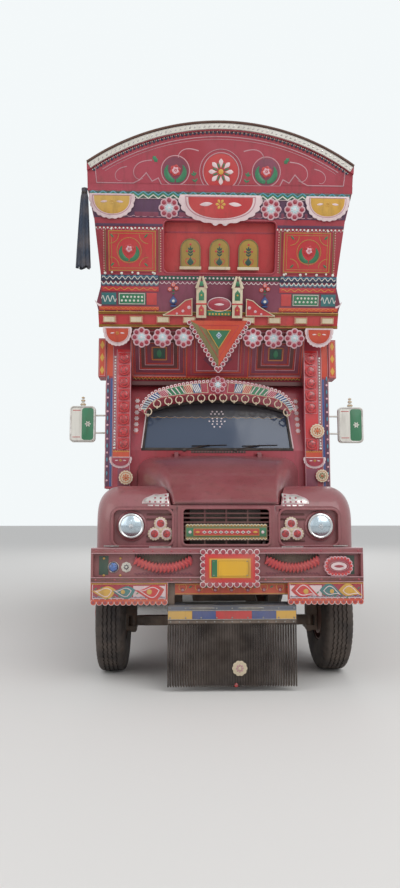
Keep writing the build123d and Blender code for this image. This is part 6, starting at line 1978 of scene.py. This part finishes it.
class TRUCK_OT_wheels(bpy.types.Operator):
    """Grooved tyres in place of the plain ones, wheel nuts, hub caps and rims."""

    bl_idname = "truck.wheels"
    bl_label = "Wheels and Tyres"

    def execute(self, context):
        look = context.scene.truck_trim
        for axle, depth, wheels, disc, cap in (("front", 0.820, (0.970,), 1.0753, 1.1353),
                ("rear", 5.060, (0.755, 1.045), 0.9003, 1.0653)):
            for side, hand in ((1, "left"), (-1, "right")):
                plural = "" if axle == "front" else "s"
                body = f"{axle}_wheel{plural}_{hand}"
                tyre = Piece(f"{axle}_tread_{hand}")
                for x in wheels:
                    tyre.add(tyre_shape((side * x, at(depth), TYRE_RADIUS), look.tread_swings),
                        "tyre_rubber")
                tyre.build(body, "tyre", [f"{axle}_tyre{plural}_{hand}"], 30)
                trim = Piece(f"{axle}_wheel_trim_{hand}")
                board = Board((side * disc, at(depth), TYRE_RADIUS), (0, side, 0))
                hexagon = button(circle(look.nut, 6), 0.018, 0.0, 0.12)
                places = circle(0.165, 10, 0.3)
                trim.add(button(circle(0.022, 18), 0.004), STEEL, board, places)
                trim.add(hexagon, STEEL, board.lifted(0.004), places)
                dots(trim, board.lifted(0.020), places, 0.009, STEEL, 0.008, 8)
                for radius, name, line in ((0.205, GOLD, 0.010), (0.128, ROSE_WHITE, 0.008)):
                    ringed(trim, board, (0, 0), radius, line, name, 0.004, 48)
                blade = button(drop(0.030, 0.016, 10), 0.003, 0.002)
                petals(trim, board, (0, 0), 0.146, 10, blade, GOLD, 0.3 + math.pi / 10)
                face = Board((side * cap, at(depth), TYRE_RADIUS), (0, side, 0))
                trim.add(button(circle(0.074, 32), 0.006, 0.003), SCARLET, face, (0, 0))
                petals(trim, face.lifted(0.006), (0, 0), 0.036, 8,
                    button(drop(0.036, 0.018, 10), 0.003, 0.001), GOLD)
                dots(trim, face.lifted(0.006), [(0, 0)], 0.014, ROSE_WHITE, 0.006)
                dots(trim, face.lifted(0.002), circle(0.064, 8), 0.006, STEEL, 0.006, 6)
                trim.build(body, "wheel_paint")
        return {"FINISHED"}


class TRUCK_OT_cab(bpy.types.Operator):
    """Painted doors and cab sides, window frames, handles and cab steps."""

    bl_idname = "truck.cab"
    bl_label = "Cab and Doors"

    def execute(self, context):
        cab = Piece("cab_side_paint")
        for side, hand in ((1, "left"), (-1, "right")):
            face = side_board(1.1003, side)
            door = Piece(f"door_paint_{hand}")
            bay_panel(door, face, (side * 2.080, 1.535), 0.72, 0.56, *BAY_COLOURS[0])
            x0, x1 = span(side, 1.70, 2.46)
            chevrons(door, face, x0, x1, 1.862, 0.016, 16, (WHITE, SCARLET, SKY_BLUE), 0.008)
            window = rounded(0.735, 0.590, 0.045, 5) + (side * 2.085, 2.225)
            door.line(window, 0.022, 0.008, "chromed_steel", face, True)
            for z in (1.225, 1.905):
                door.line([(side * 1.68, z), (side * 2.49, z)], 0.010, 0.006, ROSE_WHITE, face)
            dots(door, face, row(side * 1.70, side * 2.46, 1.205, 12), 0.010, RED_LENS, 0.007)
            door.add(button(rounded(0.150, 0.050, 0.020, 5), 0.004, 0.002), "chromed_steel", face,
                (side * 2.420, 1.862))
            door.build(f"door_{hand}", "maroon_paint")

            for z, height, field in ((2.33, 0.50, DEEP_BLUE), (1.78, 0.50, LEAF_GREEN),
                    (1.30, 0.36, DEEP_BLUE)):
                floral_panel(cab, face, (side * 2.642, z), 0.175, height, field, GOLD, SCARLET, ROSE_WHITE)
            floral_panel(cab, face, (side * 1.575, 1.42), 0.075, 0.42, LEAF_GREEN, GOLD, SCARLET,
                ROSE_WHITE)
            rail = [(side * 1.60, 2.655), (side * 2.735, 2.655)]
            cab.line(rail, 0.030, 0.012, GOLD, face)
            cab.line(wave(*span(side, 1.60, 2.73), 2.628, 0.020, 22, 6, "scallop"), 0.008, 0.006,
                ROSE_WHITE, face)
            for tread, x0 in ((0.600, 0.905), (0.840, 0.975)):
                step = Board((side * (x0 + 1.085) / 2, at(2.05), tread + 0.0003), (1, 0, 0), (0, 1, 0))
                for dy in np.linspace(-0.21, 0.21, 15):
                    cab.bar(-(1.080 - x0) / 2, (1.080 - x0) / 2, dy - 0.004, dy + 0.004, 0.004, STEEL, step,
                        0.001)
        cab.build(slot="crown_paint")
        return {"FINISHED"}


BAY_COLOURS = [(TEAL, GOLD, SCARLET, ROSE_WHITE), (CREAM, SCARLET, "crimson_film", LEAF_GREEN),
    (DEEP_BLUE, GOLD, ORANGE, SKY_BLUE), (LEAF_GREEN, ROSE_WHITE, SCARLET, GOLD),
    (ORANGE, GOLD, "crimson_film", BOTTLE_GREEN)]


FIRST_BAY_MIDDLE = 3.355
FIRST_POST = 2.900
BAY_PITCH = 0.910


class TRUCK_OT_load(bpy.types.Operator):
    """Load body's walls: a floral panel in each bay, painted posts and rails."""

    bl_idname = "truck.load"
    bl_label = "Load Body"

    def execute(self, context):
        for side, hand in ((1, "left"), (-1, "right")):
            panels = Piece(f"load_panels_{hand}")
            frames = Piece(f"load_frames_{hand}")
            wall, rail, post = (side_board(x, side) for x in (1.1653, 1.1933, 1.2053))
            for bay in range(5):
                depth = FIRST_BAY_MIDDLE + BAY_PITCH * bay
                for level, z in ((0, 1.785), (1, 2.765)):
                    colours = BAY_COLOURS[(bay + 2 * level) % len(BAY_COLOURS)]
                    bay_panel(panels, wall, (side * depth, z), 0.770, 0.850, *colours)
                x0, x1 = span(side, depth - 0.400, depth + 0.400)
                for z in (1.295, 2.275, 3.255):
                    chevrons(frames, rail, x0, x1, z, 0.015, 12, ZIGZAG_COLOURS, 0.008)
                    for edge in (-0.040, 0.040):
                        frames.line([(x0, z + edge), (x1, z + edge)], 0.007, 0.005, GOLD, rail)
                dots(frames, rail, row(x0 + 0.05, x1 - 0.05, 1.262, 6), 0.013, "amber_reflector", 0.008)
            for k in range(6):
                depth = FIRST_POST + BAY_PITCH * k
                for edge in (-0.042, 0.042):
                    line = [(side * (depth + edge), 1.26), (side * (depth + edge), 3.29)]
                    frames.line(line, 0.007, 0.005, ROSE_WHITE, post)
                places = row(1.34, 3.22, 0, 17)[:, ::-1] + (side * depth, 0)
                frames.add(button(circle(0.5, 4) * (0.060, 0.086), 0.004), ORANGE, post, places[::2])
                frames.add(button(circle(0.5, 4) * (0.030, 0.044), 0.006), GOLD, post, places[::2])
                frames.add(button(flower(0.024, 6, 0.3, 36), 0.005, 0.001), ROSE_WHITE, post, places[1::2])
                dots(frames, post.lifted(0.004), places[1::2], 0.009, "crimson_film", 0.004)
            panels.build(slot="body_boards")
            frames.build(slot="body_boards")
        return {"FINISHED"}


SIDE_WALL = [(1.235, 3.262), (0.800, 4.600), (1.480, 4.385), (2.815, 3.535), (2.815, 2.715), (1.595, 2.715),
    (1.595, 3.262)]


class TRUCK_OT_crown_sides(bpy.types.Operator):
    """Side walls of the crown: edge lines, medals and a large painted rose."""

    bl_idname = "truck.crown_sides"
    bl_label = "Crown Sides"

    def execute(self, context):
        paint = Piece("crown_side_paint")
        for side in (-1, 1):
            face = side_board(1.1403, side)
            edge = np.array(SIDE_WALL) * (side, 1)
            for share, line, name in ((1.0, 0.018, GOLD), (0.955, 0.008, ROSE_WHITE)):
                middle = np.array([side * 1.75, 3.42])
                paint.line((edge - middle) * share + middle, line, 0.006, name, face, True)
            bay_panel(paint, face, (side * 1.62, 3.72), 0.88, 0.74, *BAY_COLOURS[3])
            bay_panel(paint, face, (side * 2.44, 3.06), 0.60, 0.56, *BAY_COLOURS[0])
            bay_panel(paint, face, (side * 1.86, 3.01), 0.42, 0.50, *BAY_COLOURS[4])
            for depth, z, r in ((1.10, 4.26, 0.090), (1.34, 4.22, 0.075), (2.25, 3.66, 0.080),
                    (2.45, 3.56, 0.060), (1.08, 4.02, 0.060)):
                medal(paint, face, (side * depth, z), r, ROSE_WHITE, SCARLET, GOLD)
            foot_depth, foot_z = SIDE_WALL[0]
            for z in np.linspace(3.36, 3.90, 5):
                depth = foot_depth - (z - foot_z) * 0.325 + 0.055
                dots(paint, face, [(side * depth, z)], 0.024, RED_LENS, 0.010, 16)
        paint.build(slot="crown_paint")

        battens = Piece("crown_battens")
        back = CROWN.lifted(-0.0403)
        back.axes = back.axes * np.array([(-1, 1, -1)]).T
        for y in (0.300, 1.080, 1.395):
            battens.bar(-1.095, 1.095, y - 0.032, y + 0.032, 0.036, "bare_boards", back)
        for x in (-1.060, -0.640, 0.640, 1.060):
            battens.bar(x - 0.026, x + 0.026, 0.075, 1.420, 0.028, "bare_boards", back)
        wedge = np.array([(1.1860, 3.2356), (1.2220, 3.2356), (1.2220, 3.3000), (1.1650, 3.3000),
            (1.1793, 3.2525)])
        battens.add(button(wedge - wedge.mean(0), 2.190, 0.0, 0.0), "bare_boards", side_board(-1.095, 1),
            wedge.mean(0))
        battens.build(slot="crown_paint")
        return {"FINISHED"}


class TRUCK_OT_rear(bpy.types.Operator):
    """Painted tailgate and rear frame, rear lamps, blank plate, tank and box."""

    bl_idname = "truck.rear"
    bl_label = "Rear and Underside"

    def execute(self, context):
        gate_face = rear_board(7.561)
        gate = Piece("tailgate_paint")
        for x, colours in ((-0.755, 1), (0.0, 0), (0.755, 1)):
            bay_panel(gate, gate_face, (x, 1.700), 0.700, 0.760, *BAY_COLOURS[colours])
        for z in (1.262, 2.118):
            chevrons(gate, gate_face, -1.12, 1.12, z, 0.014, 34, ZIGZAG_COLOURS, 0.008)
        dots(gate, gate_face, row(-1.08, 1.08, 1.225, 17), 0.016, RED_LENS, 0.009, 14)
        for x in (-1.122, 1.122):
            gate.line([(x, 1.25), (x, 2.13)], 0.018, 0.008, STEEL, gate_face)
        gate.build("tailgate", "body_boards")

        frame_face = rear_board(7.500)
        trim = Piece("rear_frame_paint")
        chevrons(trim, frame_face, -1.08, 1.08, 3.235, 0.022, 30, ZIGZAG_COLOURS, 0.012)
        for z in (3.285, 3.180, 3.095):
            trim.line([(-1.09, z), (1.09, z)], 0.010, 0.006, GOLD, frame_face)
        trim.line(wave(-1.00, 1.00, 3.172, 0.050, 20, 8, "scallop"), 0.010, 0.006, ROSE_WHITE, frame_face)
        dots(trim, frame_face, row(-0.95, 0.95, 3.145, 20), 0.013, "crimson_film", 0.007)
        for x in (-0.72, 0.0, 0.72):
            hanging_plate(trim, frame_face, x, 3.150, 0.150, 0.150, SCARLET, 0.003)
        for side in (-1, 1):
            places = row(1.42, 3.00, 0, 12)[:, ::-1] + (side * 1.070, 0)
            trim.add(button(circle(0.024, 20), 0.005, 0.001), ROSE_WHITE, frame_face, places)
            dots(trim, frame_face.lifted(0.005), places, 0.016, RED_LENS, 0.007, 14)
        trim.build(slot="crown_paint")

        under = Piece("rear_lamps")
        bumper_face = rear_board(7.495)
        for k in range(12):
            slant = np.array([(-1.05 + 0.18 * k, 0.706), (-0.98 + 0.18 * k, 0.844)])
            if abs(slant.mean(0)[0]) > 0.30:
                under.add(stroke(slant, 0.060, 0.003), GOLD, bumper_face)
        under.bar(-0.225, 0.225, 0.722, 0.828, 0.006, "number_yellow_enamel", bumper_face)
        framed(under, bumper_face.lifted(0.006), (0, 0.775), 0.425, 0.086, 0.005, BLACK, 0.002)
        for side in (-1, 1):
            for x, name in ((0.97, RED_LENS), (0.84, "amber_reflector"), (0.71, "clear_reflector")):
                ringed(under, bumper_face, (side * x, 0.775), 0.050, 0.014, "chromed_steel", 0.016, 28)
                dots(under, bumper_face, [(side * x, 0.775)], 0.046, name, 0.024, 22)
            flap = rear_board(5.7438)
            flap_x = side * 0.8775
            framed(under, flap, (flap_x, 0.66), 0.42, 0.68, 0.014, ROSE_WHITE, 0.004, 0.04)
            medal(under, flap, (flap_x, 0.58), 0.110, ROSE_WHITE, SCARLET, GOLD)
            dots(under, flap, [(flap_x + dx, 0.93) for dx in (-0.12, 0.0, 0.12)], 0.026, RED_LENS, 0.010,
                16)
        under.build(slot="chassis_black")

        stores = Piece("tank_and_box_trim")
        ring = circle(0.2165, 48) + (-0.790, 0.745)
        for depth in (3.12, 3.40, 3.68):
            path = np.column_stack([ring[:, 0], np.full(48, at(depth)), ring[:, 1]])
            strap = oblong(0.034, 0.006)
            stores.add(sweep(strap[:, ::-1], path, (0, 1, 0), True), STEEL)
        for depth, across in ((2.9597, 1), (3.8403, -1)):
            end = Board((-0.790, at(depth), 0.745), (across, 0, 0))
            ringed(stores, end, (0, 0), 0.195, 0.014, GOLD, 0.006, 48)
            medal(stores, end, (0, 0), 0.120, ROSE_WHITE, LEAF_GREEN, GOLD)
        box_face = side_board(1.0053, 1)
        bay_panel(stores, box_face, (3.310, 0.750), 0.640, 0.330, *BAY_COLOURS[2])
        stores.bar(3.28, 3.34, 0.895, 0.928, 0.012, STEEL, box_face)
        stores.build(slot="painted_tin")
        return {"FINISHED"}


def pillow(length, width, height, seams, sides=44):
    """Stuffed cushion: sections (b, c) of rounded rectangles, |b|^5 + |c|^3.2 = 1,
    carried along it, drawn in at both ends by (1 - |u|^8)^(1/3). A sewn channel
    sinks its upper side by 9 mm * exp(-(distance / 9 mm)^2)."""
    near = (seams[:, None] + np.linspace(-0.018, 0.018, 7)).ravel() / (length / 2)
    u = np.linspace(-0.9995, 0.9995, 97)
    u = np.sort(np.r_[u[np.abs(u[:, None] - near).min(1) > 0.004], near])[:, None]
    rows = len(u)
    turn = full_turn(sides)[None, :]
    b = np.sign(np.cos(turn)) * np.abs(np.cos(turn)) ** 0.40
    c = np.sign(np.sin(turn)) * np.abs(np.sin(turn)) ** 0.62
    ends = (1 - np.abs(u) ** 8) ** (1 / 3)
    x = length / 2 * u + 0 * b
    y = width / 2 * b * (0.90 + 0.10 * ends)
    crown = 1 - 0.16 * np.abs(b) ** 2
    sink = sum(0.009 * np.exp(-((x - seam) / 0.009) ** 2) for seam in seams)
    z = height / 2 * c * ends * crown - np.where(c > 0.2, sink * ends, 0)
    points = np.stack([x, y * np.sqrt(ends * 0.15 + 0.85), z], 2).reshape(-1, 3)
    first = np.arange(sides)[None]
    return points, [grid_quads(rows, sides), first[:, ::-1], (rows - 1) * sides + first]


CLOTH_X = -1.3091
CLOTH_DEPTH = 0.7733


class TRUCK_OT_soft(bpy.types.Operator):
    """Cab bench with sewn cushions, and the dark cloth knotted at the crown."""

    bl_idname = "truck.soft"
    bl_label = "Bench and Cloth"

    def execute(self, context):
        look = context.scene.truck_trim
        seams = np.linspace(-0.80, 0.80, 9)
        flat_way = Board((0, at(2.345), 1.4005))
        flat_way.axes = np.array([(1, 0, 0), (0, 1, 0), (0, 0, 1)], float)
        upright = Board((0, at(2.645), 1.742))
        upright.axes = np.array([(1, 0, 0), (0, 0, 1), (0, -1, 0)], float)
        for name, board, width, height in (("bench_cushion", flat_way, 0.440, 0.138),
                ("bench_back", upright, 0.505, 0.124)):
            cushion = Piece(name).add(pillow(1.930, width, height, seams), "seat_cloth", board)
            edge = rounded(1.905, width * 0.93, 0.03, 6)
            piping = np.column_stack([edge, np.full(len(edge), height * 0.21)])
            cushion.add(tube(piping, 0.005, 8, (0, 0, 1), True), SCARLET, board)
            made = cushion.build(slot="seat_cloth", stands_for=["cab_seat"], smooth=60)
        box = Piece("bench_box")
        front = front_board(2.1403)
        box.add((np.array([(x, at(y), z) for z in (1.1005, 1.3300)
            for x, y in ((-0.95, 2.14), (0.95, 2.14), (0.95, 2.70), (-0.95, 2.70))]),
            [np.array([(0, 3, 2, 1), (4, 5, 6, 7), (0, 1, 5, 4), (1, 2, 6, 5), (2, 3, 7, 6),
            (3, 0, 4, 7)])]), "dash_enamel")
        framed(box, front, (0, 1.215), 1.84, 0.18, 0.010, OLD_GOLD, 0.004)
        for x in np.linspace(-0.75, 0.75, 6):
            medal(box, front, (x, 1.215), 0.050, ROSE_WHITE, SCARLET, GOLD, 8)
        box.build(slot="seat_cloth", stands_for=["cab_seat"])

        rows, sides, thick = 54, 126, 0.0008
        share = np.linspace(0, 1, rows)[:, None]
        turn = full_turn(sides)[None, :]
        folds = look.cloth_folds
        deep = 0.10 + 0.12 * share
        wave_share = 1 - deep + deep * np.cos(folds * turn + 0.9 * np.sin(3.1 * share)
            + 0.5 * np.sin(2 * turn))
        half_x = 0.029 + 0.044 * share ** 0.8 - 0.006 * np.exp(-((share - 0.06) / 0.03) ** 2)
        half_y = 0.021 + 0.023 * share ** 0.8 - 0.004 * np.exp(-((share - 0.06) / 0.03) ** 2)
        hem = 0.012 * np.cos(folds * turn * 0.5 + 1.0) * share ** 4
        walls = []
        for inset in (0.0, thick):
            walls.append(np.stack([CLOTH_X + (half_x - inset) * wave_share * np.cos(turn),
                at(CLOTH_DEPTH) + (half_y - inset) * wave_share * np.sin(turn),
                4.503 - 0.788 * share + hem + 0 * turn], 2).reshape(-1, 3))
        outer = grid_quads(rows, sides)[:, ::-1]
        inner = grid_quads(rows, sides) + rows * sides
        i = np.arange(sides)
        j = (i + 1) % sides
        top = np.stack([i, j, rows * sides + j, rows * sides + i], 1)
        foot = (rows - 1) * sides
        bottom = np.stack([foot + j, foot + i, rows * sides + foot + i, rows * sides + foot + j], 1)
        points = np.vstack(walls)
        cloth = Piece("corner_cloth_folds").add((points, [outer, inner, top, bottom]), "plain_cotton")
        made = cloth.build(slot="dark_cloth", stands_for=["corner_cloth"], smooth=60)
        knot = Piece("cloth_tie")
        for level in (4.446, 4.458):
            ring = circle(1.0, 24) * (0.0265, 0.0195)
            path = np.column_stack([ring + (CLOTH_X, at(CLOTH_DEPTH)), np.full(24, level)])
            knot.add(tube(path, 0.004, 8, (0, 0, 1), True), "bakelite_black")
        knot.build(slot="dark_cloth")
        return {"FINISHED"}


class TRUCK_OT_stage(bpy.types.Operator):
    """Pale floor, soft light, and the camera where the photo was taken from."""

    bl_idname = "truck.stage"
    bl_label = "Stage"

    def execute(self, context):
        look = context.scene.truck_paint
        mesh = bpy.data.meshes.new("floor")
        floor_side = 120.0
        mesh.from_pydata([(x, y, 0) for x, y in oblong(floor_side, floor_side)], [], [(0, 1, 2, 3)])
        made, tree, place, output = new_material("pale_floor")
        finish_off(tree, output, (*look.floor_tone, 1.0), 0.9)
        mesh.materials.append(made)
        floor = bpy.data.objects.new("floor", mesh)
        context.scene.collection.objects.link(floor)
        world = bpy.data.worlds.new("pale_sky")
        context.scene.world = world
        world.use_nodes = True
        tree = world.node_tree
        tree.nodes.clear()
        ray = add_node(tree, "ShaderNodeLightPath").outputs
        seen = maths(tree, "MAXIMUM", ray["Is Camera Ray"], maths(tree, "MAXIMUM", ray["Is Glossy Ray"],
            ray["Is Transmission Ray"]))
        lit = add_node(tree, "ShaderNodeBackground", {"Color": (0.93, 0.96, 1.0, 1), "Strength": look.sky})
        shown = add_node(tree, "ShaderNodeBackground", {"Color": (0.90, 0.94, 0.95, 1), "Strength": 1.0})
        mixed = add_node(tree, "ShaderNodeMixShader", {0: seen, 1: lit.outputs[0], 2: shown.outputs[0]})
        add_node(tree, "ShaderNodeOutputWorld", {0: mixed.outputs[0]})
        for name, power, size, place, turn in (("key_light", look.key, 9.0, (5.5, -11.0, 9.5), (52, 0, 26)),
                ("fill_light", look.key * 0.45, 9.0, (-9.0, -9.0, 6.0), (62, 0, -45)),
                ("back_light", look.key * 0.7, 9.0, (2.0, 13.0, 11.0), (-52, 0, 0))):
            lamp = bpy.data.lights.new(name, "AREA")
            lamp.energy = power
            lamp.size = size
            holder = bpy.data.objects.new(name, lamp)
            holder.location = place
            holder.rotation_euler = [math.radians(a) for a in turn]
            context.scene.collection.objects.link(holder)
        camera = bpy.data.cameras.new("camera")
        camera.lens = look.lens
        camera.sensor_width = 36.0
        camera.sensor_fit = "AUTO"
        holder = bpy.data.objects.new("camera", camera)
        pitch, yaw = math.radians(5.83), math.radians(1.76)
        holder.matrix_world = (Matrix.Translation((-0.388, at(-5.38), 1.405))
            @ Matrix.Rotation(-yaw, 4, "Z") @ Matrix.Rotation(math.pi / 2 + pitch, 4, "X"))
        context.scene.collection.objects.link(holder)
        context.scene.camera = holder
        context.scene.view_settings.view_transform = "Standard"
        return {"FINISHED"}


GROUPS = [TruckPaint, TruckCrown, TruckTrim]
STEPS = [TRUCK_OT_finishes, TRUCK_OT_arch, TRUCK_OT_frieze, TRUCK_OT_panels, TRUCK_OT_shelf,
    TRUCK_OT_cornice, TRUCK_OT_columns, TRUCK_OT_crest, TRUCK_OT_screen, TRUCK_OT_soffit, TRUCK_OT_nose,
    TRUCK_OT_bumper, TRUCK_OT_board, TRUCK_OT_mirrors, TRUCK_OT_wheels, TRUCK_OT_cab, TRUCK_OT_load,
    TRUCK_OT_crown_sides, TRUCK_OT_rear, TRUCK_OT_soft, TRUCK_OT_stage]


class TRUCK_PT_panel(bpy.types.Panel):
    """Lists the truck's pieces in the sidebar."""

    bl_label = "Painted Crown Truck"
    bl_idname = "TRUCK_PT_panel"
    bl_space_type = "VIEW_3D"
    bl_region_type = "UI"
    bl_category = "Truck"

    def draw(self, context):
        for step in STEPS:
            self.layout.operator(step.bl_idname)
        for group in (context.scene.truck_paint, context.scene.truck_crown, context.scene.truck_trim):
            for name in group.bl_rna.properties.keys():
                if name not in ("rna_type", "name"):
                    self.layout.prop(group, name)


def register():
    """Registers the settings, the operators and the panel."""
    for made in (*GROUPS, *STEPS, TRUCK_PT_panel):
        bpy.utils.register_class(made)
    bpy.types.Scene.truck_paint = PointerProperty(type=TruckPaint)
    bpy.types.Scene.truck_crown = PointerProperty(type=TruckCrown)
    bpy.types.Scene.truck_trim = PointerProperty(type=TruckTrim)


def unregister():
    """Takes them away again."""
    del bpy.types.Scene.truck_paint, bpy.types.Scene.truck_crown, bpy.types.Scene.truck_trim
    for made in reversed((*GROUPS, *STEPS, TRUCK_PT_panel)):
        bpy.utils.unregister_class(made)


def main():
    register()
    for step in STEPS:
        group, name = step.bl_idname.split(".")
        getattr(getattr(bpy.ops, group), name)()


if __name__ == "__main__":
    main()
